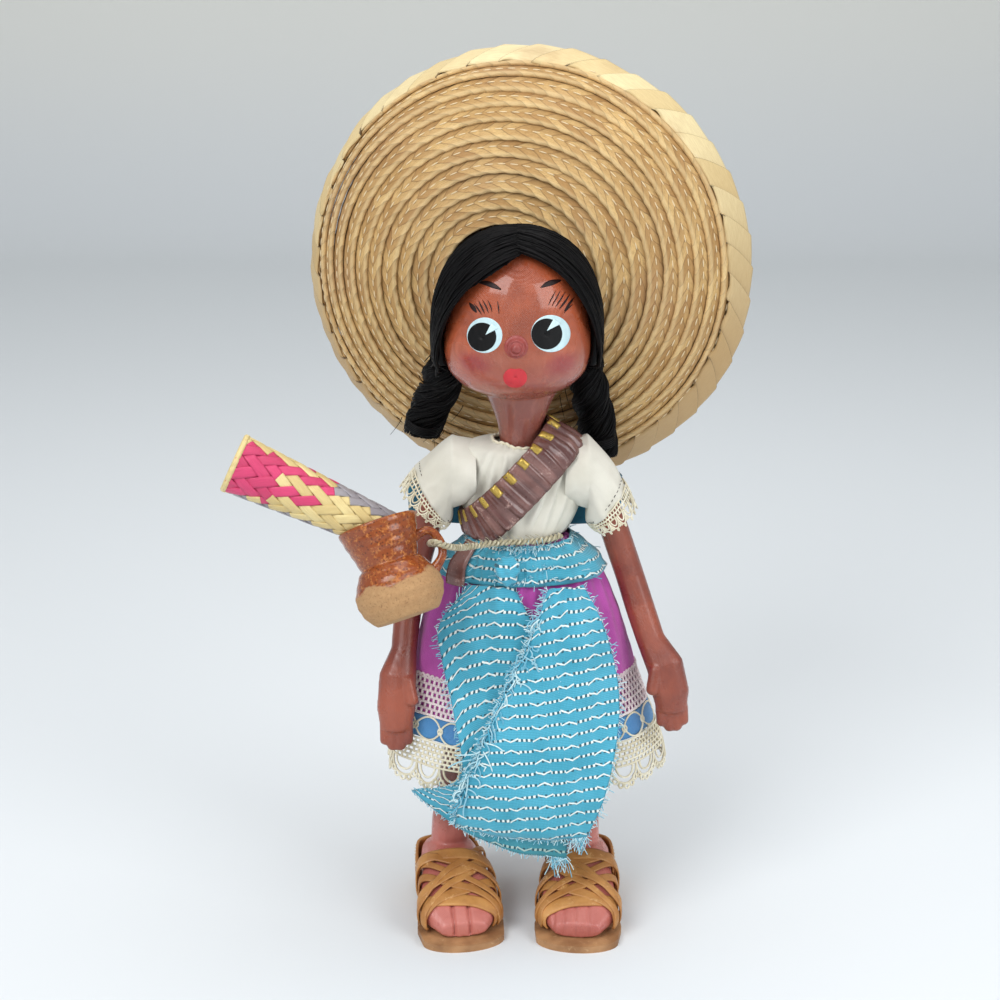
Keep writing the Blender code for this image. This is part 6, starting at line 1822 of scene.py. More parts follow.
@dataclass
class Blouse:
    """The muslin blouse, its short sleeves and their lace."""

    middle: tuple[float, float] = (0.0, 1.0 * MM)
    hem: float = 141.7 * MM
    turn_level: float = 163.0 * MM
    wall: float = 0.55 * MM
    columns: int = 220
    collar: float = 174.0 * MM
    # Degrees round the body of each pulled fold at the collar and at the waist
    pulls: Table = ((-40, -84), (-33, -62), (-24, -44), (-112, -118), (-124, -142), (-136, -166), (40, 62), (140, 118))
    sleeve_x: float = 23.2 * MM
    sleeve_radius: float = 12.2 * MM
    shoulder: float = 164.0 * MM
    hems: dict[Side, tuple[tuple[float, float], tuple[float, float]]] = field(
        default_factory=lambda: {
            Side.RIGHT: ((12.5 * MM, 0.3 * MM), (0.9 * MM, -17.2 * MM)),
            Side.LEFT: ((12.6 * MM, -4.5 * MM), (0.9 * MM, -17.8 * MM)),
        }
    )

    def build(self, shop: Workshop) -> None:
        """Make the blouse and the sleeves."""
        skin = Skin.over([shop.nodes["blouse"]])
        turns = all_round(self.columns)
        level = np.stack([np.cos(turns), np.sin(turns), 0 * turns], axis=1)
        rows = []
        base = np.array((*self.middle, 0)) + DOLL
        for height in np.linspace(self.hem, self.turn_level, 26):
            rows.append((base + (0, 0, height), level))
        for lift in np.radians(np.linspace(3, 56, 26)):
            ways = level * math.cos(lift) + np.array((0, 0, math.sin(lift)))
            rows.append((base + (0, 0, self.turn_level), ways))
        found = np.array([skin.from_outside(origin, ways[None], FAR)[0] for origin, ways in rows])
        last = np.where(np.isnan(found), 0, np.arange(len(rows))[:, None]).max(axis=0)
        filled = np.stack([self.column(found[:, place]) for place in range(self.columns)], axis=1)
        filled = blur(blur(filled, 3.2, 1, True), 1.2, 0, False)
        last = blur(last[None].astype(float), 3.0, 1, True)[0]
        made = np.empty((60, self.columns, 3))
        stops = np.linspace(0, 1, 60)
        origins = np.array([origin for origin, _ in rows])
        directions = np.array([ways for _, ways in rows])
        for place in range(self.columns):
            spots = stops * last[place]
            reach = np.interp(spots, range(len(rows)), filled[:, place])
            start = between(spots, range(len(rows)), origins)
            way = unit(between(spots, range(len(rows)), directions[:, place]))
            turn = turns[place]
            fold = 0.42 * MM * np.sin(turn * 11 + stops * 3.4 + 1.4 * math.sin(3 * turn)) * (1 - stops) ** 0.7
            ruffle = 0.3 * MM * math.sin(turn * 26) * np.clip((stops - 0.93) / 0.07, 0, 1)
            level = start[:, 2] + way[:, 2] * reach - DOLL[2]
            bag = np.sin(np.clip((level - self.hem) / (20 * MM), 0, 1) * math.pi) ** 0.8
            bag = bag * 2.2 * MM * abs(math.cos(turn)) ** 3
            bag = bag + self.creases(turn, level)
            made[:, place] = start + way * (reach + 0.15 * MM + fold + ruffle + bag)[:, None]
        made += unit(directions[0])[None] * (lumps((60, self.columns), 21, 6, True) * 0.3 * MM)[..., None]
        shape = Shape()
        shape.sheet(made, self.wall, True)
        blouse = shop.piece("muslin_blouse", shape, "blouse_muslin", slot="muslin", replaces=["blouse"])
        shop.cloth(blouse, 0.125, "gathered", ["stuffed_body"])
        neck = looped(made[-1]) + (0, 0, 0.1 * MM)
        shop.threads("neckline_roll", [neck], 0.5 * MM, "lace_cream", slot="muslin", sides=7)
        for side in Side:
            self.sleeve(shop, side)

    def creases(self, turn: float, levels: np.ndarray) -> np.ndarray:
        """How far the pulled folds from the collar to the waist stand out."""
        down = np.clip((self.collar - levels) / (self.collar - self.hem), 0, 1)
        proud = 0 * levels
        for high, low in self.pulls:
            line = np.radians(high + (low - high) * down)
            away = ((turn - line + math.pi) % TURN - math.pi) * 20
            ridge = np.exp(-((away / 1.5) ** 2)) - 0.7 * np.exp(-(((away - 2.2) / 1.0) ** 2))
            proud += ridge * 0.75 * MM * np.sin(np.clip(down * 1.1, 0, 1) * math.pi) ** 0.5
        return proud

    def column(self, values: np.ndarray) -> np.ndarray:
        """A column of reaches with the missing ones filled from above and below."""
        known = ~np.isnan(values)
        spots = np.arange(len(values))
        return np.interp(spots, spots[known], values[known])

    def ring(self, side: Side, share: float, turns: np.ndarray, grow: float) -> np.ndarray:
        """The sleeve's outline from its seam, 0, to its hem, 1, and on past it."""
        top, bottom = (np.array(place) for place in self.hems[side])
        hem_up = unit(top - bottom)
        centre = (top + bottom) / 2 * share
        lift = unit(np.array((0.0, 1.0)) * (1 - share) + hem_up * share)
        half = self.sleeve_radius + (np.linalg.norm(top - bottom) / 2 - self.sleeve_radius) * share
        gather = 0.45 * MM * max(min(share, 1.3), 0) * (1 + np.cos(11 * turns + np.sin(turns * 2))) / 2 + grow
        if share < 0:
            gather, half = grow, self.sleeve_radius + share * 2.4 * MM
            centre, lift = np.array((6.8 * MM * share, 0.0)), np.array((0.0, 1.0))
        across = lift[None] * ((half + gather) * np.sin(turns))[:, None]
        points = np.stack(
            [
                side.value * (self.sleeve_x + centre[0] + across[:, 0]),
                self.middle[1] + side.value * (self.sleeve_radius + gather) * np.cos(turns),
                self.shoulder + centre[1] + across[:, 1],
            ],
            axis=1,
        )
        return points + DOLL

    def sleeve(self, shop: Workshop, side: Side) -> None:
        """Make one sleeve, its stitched hem and its lace."""
        turns = all_round(150)
        shares = np.linspace(-1.2, 1, 46)
        grid = np.array([self.ring(side, share, turns, 0.55 * MM) for share in shares])
        out = unit(grid - grid.mean(axis=1, keepdims=True))
        grid += out * (lumps((46, 150), 31 + side.value, 5, True) * 0.3 * MM)[..., None]
        shape = Shape()
        shape.sheet(grid, self.wall, True)
        name = f"sleeve_{side.word}_muslin"
        sleeve = shop.piece(name, shape, "blouse_muslin", side.arm, "muslin", ["sleeve_" + side.word])
        shop.cloth(sleeve, 0.084, "gathered", [f"stuffed_arm_{side.word}"])
        seam = looped(self.ring(side, 0.86, turns, 0.62 * MM))
        stitch = (0.13 * MM, 0.62 * MM)
        shop.stitches(f"sleeve_{side.word}_stitches", [seam], 1.9 * MM, stitch, "lash_brown", side.arm, "muslin")
        cords, loops = (0.0, 0.1, 0.2), (0.2, 0.46)
        paths = lace_border(lambda turn, out: self.ring_points(side, 1 + out, turn), 17, cords, loops, 1)
        name = f"sleeve_{side.word}_lace"
        shop.threads(name, paths, 0.27 * MM, "lace_cream", side.arm, "cotton_lace", ["sleeve_lace_" + side.word])

    def ring_points(self, side: Side, share: np.ndarray, turns: np.ndarray) -> np.ndarray:
        """Places on the sleeve's outline, one for each turn and share."""
        pairs = zip(share, turns)
        return np.array([self.ring(side, float(part), np.array([turn]), 0.55 * MM)[0] for part, turn in pairs])


def lace_border(
    surface: Callable[[np.ndarray, np.ndarray], np.ndarray],
    scallops: int,
    cords: Sequence[float],
    loops: tuple[float, float],
    picots: int,
    bars: int = 3,
) -> list[np.ndarray]:
    """The threads of a lace edge round a hem.

    Args:
        surface: Gives places from turns and distances out.
        scallops: How many scallops go round.
        cords: How far out its straight cords lie.
        loops: Where the scallops start and end.
        picots: The loops on each scallop's own edge, besides the middle one.
        bars: The bars between two cords, for each scallop.

    Returns:
        The threads' paths.
    """
    paths = []
    ring = np.linspace(0, TURN * 1.004, 30 * 12)
    for out in cords:
        paths.append(surface(ring, np.full(len(ring), out)))
    for row, (above, below) in enumerate(zip(cords, cords[1:])):
        for number in range(scallops * bars):
            turn = (number + 0.5 * (row % 2)) / (scallops * bars) * TURN
            paths.append(surface(np.full(4, turn), np.linspace(above, below, 4)))
    low, high = loops
    for number in range(scallops):
        middle = (number + 0.5) / scallops * TURN
        half = TURN / scallops / 2
        sweep = np.linspace(0, math.pi, 16)
        for size in (1.0, 0.66):
            turn = middle - np.cos(sweep) * half * size
            paths.append(surface(turn, low + (high - low) * size * np.sin(sweep)))
        for tip in np.linspace(0.22, 0.78, 2 * picots + 1):
            angle = tip * math.pi
            foot_turn, foot_out = middle - math.cos(angle) * half, low + (high - low) * math.sin(angle)
            loop = np.linspace(0, TURN, 9)
            turn = foot_turn + np.sin(loop) * half * 0.17
            paths.append(surface(turn, foot_out + (1 - np.cos(loop)) * (high - low) * 0.16))
    return paths


@dataclass
class Turned:
    """A surface round an upright axis, read from a CAD node or from pieces."""

    middle: np.ndarray
    levels: np.ndarray
    reaches: np.ndarray

    @classmethod
    def over(
        cls,
        things: Sequence[bpy.types.Object],
        middle: tuple[float, float],
        levels: np.ndarray,
        columns: int,
        even: tuple[float, float] = (1.0, 1.0),
    ) -> "Turned":
        """Read a surface.

        Args:
            things: The objects that have it.
            middle: The axis, in the doll's own frame.
            levels: The heights to read at.
            columns: How many ways to read each height in.
            even: How far the reaches are blurred, up and round.

        Returns:
            The surface.
        """
        skin = Skin.over(things)
        turns = all_round(columns)
        ways = np.stack([np.cos(turns), np.sin(turns), 0 * turns], axis=1)
        centre = np.array((*middle, 0.0)) + DOLL
        rows = [skin.from_outside(centre + (0, 0, level), ways[None], 0.09)[0] for level in levels]
        found = np.array(rows)
        known = ~np.isnan(found)
        if not known.all():
            wide = fill_gaps(np.concatenate((found, found, found), axis=1))
            found = wide[:, columns : 2 * columns]
        found = blur(blur(found, even[1], 1, True), even[0], 0, False)
        return cls(centre, np.asarray(levels), found)

    def at(self, turns: np.ndarray, heights: np.ndarray, proud: np.ndarray | float = 0.0) -> np.ndarray:
        """Places on the surface.

        Args:
            turns: The turn of each place.
            heights: Its height.
            proud: How far it stands off the surface.

        Returns:
            The points.
        """
        columns = self.reaches.shape[1]
        turns, heights = np.broadcast_arrays(turns, heights)
        spot = (turns / TURN * columns) % columns
        left = np.floor(spot).astype(int) % columns
        part = spot - np.floor(spot)
        row = np.interp(heights, self.levels, np.arange(len(self.levels)))
        low = np.clip(np.floor(row).astype(int), 0, len(self.levels) - 2)
        up = row - low
        right = (left + 1) % columns
        below = self.reaches[low, left] * (1 - part) + self.reaches[low, right] * part
        above = self.reaches[low + 1, left] * (1 - part) + self.reaches[low + 1, right] * part
        reach = below * (1 - up) + above * up + proud
        x = self.middle[0] + reach * np.cos(turns)
        y = self.middle[1] + reach * np.sin(turns)
        return np.stack([x, y, heights], axis=-1)

    def girth(self) -> float:
        """The length once round, at half height."""
        loop = self.at(np.linspace(0, TURN, 361), np.full(361, self.levels[len(self.levels) // 2]))
        return float(np.linalg.norm(np.diff(loop, axis=0), axis=1).sum())


@dataclass
class Skirt:
    """The gathered skirt with its crocheted band, ribbon and hem lace."""

    middle: tuple[float, float] = (2.2 * MM, 3.2 * MM)
    columns: int = 360
    folds: int = 30
    band: tuple[float, float] = (78.9 * MM, 92.7 * MM)
    ribbon: tuple[float, float] = (70.9 * MM, 78.7 * MM)
    lace: tuple[float, float] = (54.6 * MM, 70.7 * MM)
    cross_step: float = 9.3 * MM
    scallops: int = 28

    def outside(self, shop: Workshop, node: str, levels: np.ndarray, even: tuple[float, float]) -> Turned:
        """The outside of a node, read at some levels."""
        return Turned.over([shop.nodes[node]], self.middle, levels, self.columns, even)

    def build(self, shop: Workshop) -> None:
        """Make the skirt and its trims."""
        upper = self.outside(shop, "skirt", np.linspace(93.1, 141.3, 40) * MM, (1.0, 2.0))
        turns = all_round(self.columns)
        heights = np.linspace(93.0, 141.3, 76) * MM
        share = (heights - heights[0]) / np.ptp(heights)
        sway = lumps((76, self.columns), 41, 9, True) * 0.5
        fold = np.sin(self.folds * turns[None] + sway + 1.2 * np.sin(3 * turns)[None])
        depth = (0.16 + 0.5 * share[:, None] ** 1.5) * MM
        proud = fold * depth + 0.2 * MM + lumps((76, self.columns), 42, 3, True) * 0.09 * MM
        skirt = Shape()
        skirt.sheet(upper.at(turns[None], heights[:, None], proud), 0.6 * MM, True)
        cloth = shop.piece("cotton_skirt", skirt, "magenta_cotton", slot="magenta_cloth", replaces=["skirt"])
        shop.cloth(cloth, 0.22, "gathered", ["stuffed_body"])
        self.crochet(shop, turns)
        self.satin(shop, turns)
        self.hem(shop)

    def crochet(self, shop: Workshop, turns: np.ndarray) -> None:
        """Make the crocheted band over its cloth backing."""
        wall = self.outside(shop, "crochet_band", np.linspace(79.0, 92.6, 10) * MM, (0.8, 2.0))
        backing = Shape()
        rows = np.linspace(self.band[0], self.band[1] + 0.5 * MM, 12)
        backing.sheet(wall.at(turns[None], rows[:, None], -0.55 * MM), 0.3 * MM, True)
        shop.piece("crochet_backing", backing, "magenta_cotton", slot="magenta_cloth")
        low, high = self.band
        cords = np.linspace(high - 0.6 * MM, low + 0.5 * MM, 7)
        count = round(wall.girth() / (1.8 * MM) / 12)

        def surface(turn: np.ndarray, out: np.ndarray) -> np.ndarray:
            """Places on the band, a number of millimetres below its top."""
            return wall.at(turn, high - out * MM, 0.0)

        paths = lace_border(surface, count, (high - cords) / MM, (0.2, -1.5), 0, 12)
        paths = paths[: len(cords) + (len(cords) - 1) * count * 12]
        ring = np.linspace(0, TURN, count * 12 * 6 + 1)
        paths.append(wall.at(ring, high - 0.5 * MM + 1.1 * MM * np.abs(np.sin(ring * count * 6)), 0.1 * MM))
        replaces = ["crochet_band"]
        shop.threads("crochet_threads", paths, 0.5 * MM, "crochet_white", slot="cotton_lace", replaces=replaces)

    def satin(self, shop: Workshop, turns: np.ndarray) -> None:
        """Make the ribbon with its crossed white stitches."""
        wall = self.outside(shop, "skirt_ribbon", np.linspace(71.0, 78.6, 8) * MM, (0.8, 2.0))
        rows = np.linspace(*self.ribbon, 12)
        bow = np.sin(np.linspace(0, math.pi, 12))[:, None] * 0.2 * MM
        ripple = lumps((12, self.columns), 43, 3, True) * 0.1 * MM
        shape = Shape()
        shape.sheet(wall.at(turns[None], rows[:, None], bow + ripple - 0.1 * MM), 0.4 * MM, True)
        shop.piece("satin_ribbon", shape, "satin_ribbon", slot="satin_ribbon", replaces=["skirt_ribbon"])
        crosses = round(wall.girth() / self.cross_step)
        middle, half = sum(self.ribbon) / 2, 0.52 * (self.ribbon[1] - self.ribbon[0])
        ring = np.linspace(0, TURN, crosses * 24 + 1)
        paths = []
        for sign in (-1, 1):
            swing = np.sin(ring * crosses / 2)
            lift = sign * half * np.sign(swing) * np.abs(swing) ** 0.62
            paths.append(wall.at(ring, middle + lift, 0.2 * MM + sign * 0.06 * MM))
        for number in range(crosses):
            centre = number / crosses * TURN
            knot = np.linspace(0, TURN, 9)
            spread = 0.9 * MM / (wall.girth() / TURN)
            paths.append(wall.at(centre + np.cos(knot) * spread, middle + np.sin(knot) * 1.1 * MM, 0.25 * MM))
        shop.threads("ribbon_cross_stitches", paths, 0.36 * MM, "lace_cream", slot="cotton_lace")

    def hem(self, shop: Workshop) -> None:
        """Make the scalloped lace round the hem."""
        low, high = self.lace
        levels = np.linspace(low + 2.6 * MM, high - 0.6 * MM, 9)
        wall = self.outside(shop, "hem_lace", levels, (0.8, 2.4))
        slope = (wall.reaches[0] - wall.reaches[4]) / (levels[4] - levels[0])
        wall.levels = np.concatenate(([low - 0.6 * MM], wall.levels))
        wall.reaches = np.concatenate((wall.reaches[:1] + slope * 3.2 * MM, wall.reaches))

        def surface(turn: np.ndarray, out: np.ndarray) -> np.ndarray:
            """Places on the lace, a number of millimetres below its top."""
            sway = 0.5 * MM * np.sin(turn * 7 + 1) + 0.3 * MM * np.sin(turn * 19)
            front = np.exp(-(((turn % TURN - 4.75) / 0.62) ** 4)) * 0.8 * MM
            return wall.at(turn, high - out * MM, sway * np.clip(out / 16, 0, 1) - front)

        cords = (0.3, 2.0, 3.7, 5.4, 7.1, 8.8)
        paths = lace_border(surface, self.scallops, cords, (9.0, 15.3), 2, 5)
        shop.threads("hem_lace_threads", paths, 0.42 * MM, "lace_cream", slot="cotton_lace", replaces=["hem_lace"])


@dataclass
class Shawl:
    """The woven shawl: a band round the waist, its knot, and two crossed panels with frayed edges."""

    top: float = 129.2 * MM
    rows: int = 110
    columns: int = 72
    wall: float = 0.75 * MM
    turns: dict[str, float] = field(default_factory=lambda: {"shawl_back_panel": -7.0, "shawl_front_panel": 5.0})
    folds: dict[str, int] = field(default_factory=lambda: {"shawl_back_panel": 51, "shawl_front_panel": 52})
    # Left and right edges, from the bottom up: millimetres across and down from the waist band
    edges: dict[str, tuple[Table, Table]] = field(
        default_factory=lambda: {
            "shawl_back_panel": (
                ((-38, 77.2), (-20.8, 67.2), (-22.8, 46.2), (-26.8, 28.2), (-27.8, 15.5), (-17.8, 0.4)),
                ((16.5, 97.7), (16.5, 67.2), (15, 46.2), (10.5, 28.2), (5.5, 15.5), (-2.2, 0.4)),
            ),
            "shawl_front_panel": (
                ((-22.8, 85.2), (-20.5, 73.2), (-12.2, 52.2), (-4.6, 34.7), (3.5, 16.7), (9.2, 0.4)),
                ((23.2, 88.7), (29.6, 72.7), (34, 51.2), (33.8, 34.7), (28.8, 15.7), (21.6, 0.4)),
            ),
        }
    )

    def build(self, shop: Workshop, middle: tuple[float, float]) -> Turned:
        """Make every part of the shawl, and give the outside of its band."""
        for name in self.edges:
            self.panel(shop, name)
        levels = np.linspace(129.3, 141.7, 12) * MM
        band = Turned.over([shop.nodes["shawl_waist"]], middle, levels, 300, (1.0, 2.5))
        turns = all_round(420)
        heights = np.linspace(128.6, 141.8, 30) * MM
        share = np.linspace(0, 1, 30)[:, None]
        folds = np.sin(share * 17 + 1.6 * np.sin(turns * 2 + 0.5)[None] + lumps((30, 420), 53, 7, True) * 0.7)
        edge = np.clip(np.minimum(share, 1 - share) / 0.12, 0.2, 1)
        near = np.exp(-((((turns - 4.6 + math.pi) % TURN - math.pi) / 0.7) ** 2))[None]
        gather = np.sin(turns[None] * 46 + 3 * np.sin(turns * 5)[None] + share * 2.0) * near
        crumple = lumps((30, 420), 58, 4, True) * 0.3 + lumps((30, 420), 59, 9, True) * 0.4
        proud = (0.25 + (0.42 * folds + 0.4 * gather + crumple) * edge) * MM
        shape = Shape()
        shape.sheet(band.at(turns[None], heights[:, None], proud), 0.55 * MM, True, tint=0.15)
        cloth = shop.piece("shawl_band", shape, "woven_shawl", slot="woven_blue", replaces=["shawl_waist"])
        shop.cloth(cloth, 0.165, "gathered", ["cotton_skirt"])
        knot = shop.stuffed("shawl_knot_folds", shop.nodes["shawl_knot"].data, 0.35 * MM, 4, 0.1 * MM)
        self.crease(knot)
        shop.piece("shawl_knot_folds", knot, "woven_shawl", slot="woven_blue", replaces=["shawl_knot"])
        rng = np.random.default_rng(54)
        ring = []
        for number in range(260):
            turn = rng.random() * TURN if number < 120 else 4.7 + rng.normal() * 0.45
            level = 141.6 if rng.random() < 0.75 else 129.4 + rng.random() * 12
            root = band.at(np.array(turn), np.array(level * MM), 0.1 * MM)
            ring.append((root, unit(np.array((math.cos(turn), math.sin(turn), 0.0)))))
        paths = [self.frayed(rng, root, out, UP, 2.0) for root, out in ring]
        shop.threads("shawl_band_frays", paths, 0.14 * MM, "fringe_blue", slot="woven_blue", sides=4)
        return band

    def crease(self, mesh: bpy.types.Mesh) -> None:
        """Press folds into the knot, and give it places in millimetres."""
        points = vectors(mesh, "co").astype(float)
        rel = (points - points.mean(axis=0)) / MM
        wave = np.sin(rel[:, 0] * 1.7 + rel[:, 2] * 0.9) + 0.5 * np.sin(rel[:, 2] * 2.1 - rel[:, 0])
        points += vectors(mesh, "normal") * (wave * 0.3 * MM)[:, None]
        set_points(mesh, points)
        spots = mesh.uv_layers.new(name="UVMap")
        corners = np.empty(len(mesh.loops), np.int32)
        mesh.loops.foreach_get("vertex_index", corners)
        flat = np.stack([rel[:, 0] + rel[:, 1] * 0.4, rel[:, 2]], axis=1)[corners]
        spots.uv.foreach_set("vector", flat.astype(np.float32).ravel())

    def frayed(
        self, rng: np.random.Generator, root: np.ndarray, out: np.ndarray, along: np.ndarray, length: float
    ) -> np.ndarray:
        """One frayed thread that starts at an edge.

        Args:
            rng: The random numbers to draw from.
            root: Where it starts.
            out: The way out of the cloth.
            along: The way along the edge.
            length: Its mean length, in millimetres.

        Returns:
            The thread's path.
        """
        way = unit(out * (0.5 + rng.random()) + along * rng.normal() * 0.7 + rng.normal(size=3) * 0.35)
        bend = unit(rng.normal(size=3) + np.array((0, 0, -0.8)))
        stops = np.linspace(0, 1, 6)[:, None]
        size = length * MM * (0.5 + rng.random())
        return root + way * stops * size + bend * stops**2 * size * 0.5

    def yarns(self, shop: Workshop, rng: np.random.Generator, edge: np.ndarray) -> None:
        """Long unravelled yarns that hang and curl along an edge."""
        paths = []
        for _ in range(64):
            start = int(rng.integers(14, len(edge) - 6))
            stops = np.linspace(0, 1, 18)[:, None]
            way = unit(np.array((rng.normal() * 0.5 - 0.1, 0, -0.8 + rng.normal() * 0.35)))
            size = (3.5 + 5.5 * rng.random()) * MM
            curl = rng.random() * TURN + stops[:, 0] * rng.normal() * 6
            loop = np.stack([np.cos(curl), 0 * curl - 0.2, np.sin(curl)], axis=1) * (0.5 + 0.9 * rng.random()) * MM
            root = edge[start] + (rng.normal() * 0.8 * MM, -0.5 * MM, 0)
            line = root + way * stops * size + (loop - loop[0]) * stops**0.5
            line[:, 1] = root[1] - (0.35 + 0.5 * rng.random()) * MM * np.sin(stops[:, 0] * math.pi) ** 0.5
            paths.append(line)
        shop.threads("unravelled_yarns", paths, 0.25 * MM, "fringe_blue", slot="woven_blue", sides=6)

    def panel(self, shop: Workshop, name: str) -> None:
        """Make one hanging panel with its frayed edges."""
        front = name == "shawl_front_panel"
        skin = Skin.over([shop.nodes[name]])
        left, right = (route(edge, self.rows) for edge in self.edges[name])
        shares = np.linspace(0, 1, self.columns)
        grid = left[:, None] * (1 - shares[None, :, None]) + right[:, None] * shares[None, :, None]
        drop = np.linspace(0, 1, self.rows)
        bulge = 2.2 if front else 4.5
        grid[..., 1] += (np.sin(shares * math.pi) * bulge)[None] * (1 - drop[:, None]) ** 3
        x = grid[..., 0] * MM + DOLL[0]
        z = self.top - grid[..., 1] * MM
        reach = np.full(x.shape, np.nan)
        for row, column in np.ndindex(x.shape):
            hit = skin.tree.ray_cast(Vector((x[row, column], -0.2, z[row, column])), Vector((0, 1, 0)))
            if hit[0] is not None:
                reach[row, column] = hit[0].y
        reach = blur(blur(fill_gaps(reach), 2.0, 0, False), 1.5, 1, False)
        seed = self.folds[name]
        soft = lumps(x.shape, seed, 6) * 0.28 + lumps(x.shape, seed + 10, 14) * 0.35
        pleats = np.sin(shares[None] * 9 + drop[:, None] * 2 + 0.6 * np.sin(drop * 6)[:, None])
        pleats = pleats * (0.3 + (0.6 if front else 0.9) * drop[:, None] ** 1.6)
        hang = 0.5 * MM if front else 0.2 * MM
        y = reach - hang - (soft + pleats) * 0.8 * MM
        points = np.stack([x, y, z], axis=2)
        steps = np.linalg.norm(np.diff(points, axis=0), axis=2)
        run = np.concatenate((np.zeros((1, self.columns)), np.cumsum(steps, axis=0)))
        up = run / MM - grid[:1, :, 1]
        turn = math.radians(self.turns[name])
        across = grid[..., 0] * math.cos(turn) + up * math.sin(turn)
        along = up * math.cos(turn) - grid[..., 0] * math.sin(turn)
        # Painted shade: the lowest 20 mm of the back panel, which hangs behind the front panel, gets a high tint; the
        # front panel gets a quarter of it.
        low = np.clip(1 - (z - z.min()) / (20 * MM), 0, 1)
        tint = low * 0.25 if front else low
        shape = Shape()
        shape.sheet(points, self.wall, False, np.stack([across, along], axis=2), tint=tint)
        piece = shop.piece(name.replace("shawl", "woven"), shape, "woven_shawl", slot="woven_blue", replaces=[name])
        shop.cloth(piece, 0.056, "hung", ["cotton_skirt"])
        self.edging(shop, name, points)

    def edging(self, shop: Workshop, name: str, points: np.ndarray) -> None:
        """Fray both sides and the lower edge of a panel."""
        front = name == "shawl_front_panel"
        rng = np.random.default_rng(self.folds[name] + 20)
        paths = []
        for edge, sign, dense in ((points[:, 0], -1, 4 if front else 1), (points[:, -1], 1, 1)):
            tangent = unit(np.gradient(edge, axis=0))
            out = np.stack([tangent[:, 2], 0 * tangent[:, 1], -tangent[:, 0]], axis=1) * sign
            for place in range(len(edge)):
                root = edge[place] + (0, -0.2 * MM, 0)
                for _ in range(dense):
                    paths.append(self.frayed(rng, root, out[place], tangent[place], 1.5 if dense < 4 else 2.0))
        tangent = unit(np.gradient(points[0], axis=0))
        down = np.array((0.0, -0.1, -1.0))
        for place in range(self.columns):
            corner = place > self.columns - 9
            root = points[0, place] + (0, -0.2 * MM, 0.3 * MM)
            for _ in range(6 if corner else 1):
                paths.append(self.frayed(rng, root, down, tangent[place], 3.6 if corner else 1.1))
        if front:
            self.yarns(shop, rng, points[:, 0])
        title = name.replace("shawl", "frayed").replace("_panel", "_edges")
        shop.threads(title, paths, 0.15 * MM, "fringe_blue", slot="woven_blue", sides=4)


@dataclass
class BackCloth:
    """The cloth behind the shoulders, in a dark teal that is the shawl's blue with painted shade."""

    node: str = "back_cloth"

    def build(self, shop: Workshop) -> None:
        """Make the cloth in the box of its node."""
        low, high = (np.array(corner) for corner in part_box(self.node))
        rows, columns = 34, 110
        z = np.linspace(low[2], high[2], rows)[:, None]
        share = np.linspace(0, 1, columns)[None]
        slack = np.sin(share * math.pi) ** 0.5
        x = low[0] + (high[0] - low[0]) * share + 0 * z
        rise = (z - low[2]) / (high[2] - low[2])
        z = low[2] + (high[2] - low[2]) * (0.5 + (rise - 0.5) * (0.8 + 0.2 * slack))
        y = (low[1] + high[1]) / 2 + 0.8 * MM * np.sin(rise * 9 + share * 5) + lumps((rows, columns), 61, 6) * 0.3 * MM
        shape = Shape()
        grid = np.stack(np.broadcast_arrays(x, y, z), axis=2)[:, ::-1]
        shape.sheet(grid, 0.6 * MM, False, None, 0.5)
        # Painted shade: the cloth is coloured the shawl's blue, darkened.
        cloth = shop.piece("shaded_back_cloth", shape, "shaded_shawl_blue", slot="teal_cloth", replaces=[self.node])
        shop.cloth(cloth, 0.078, "hung", ["muslin_blouse"])


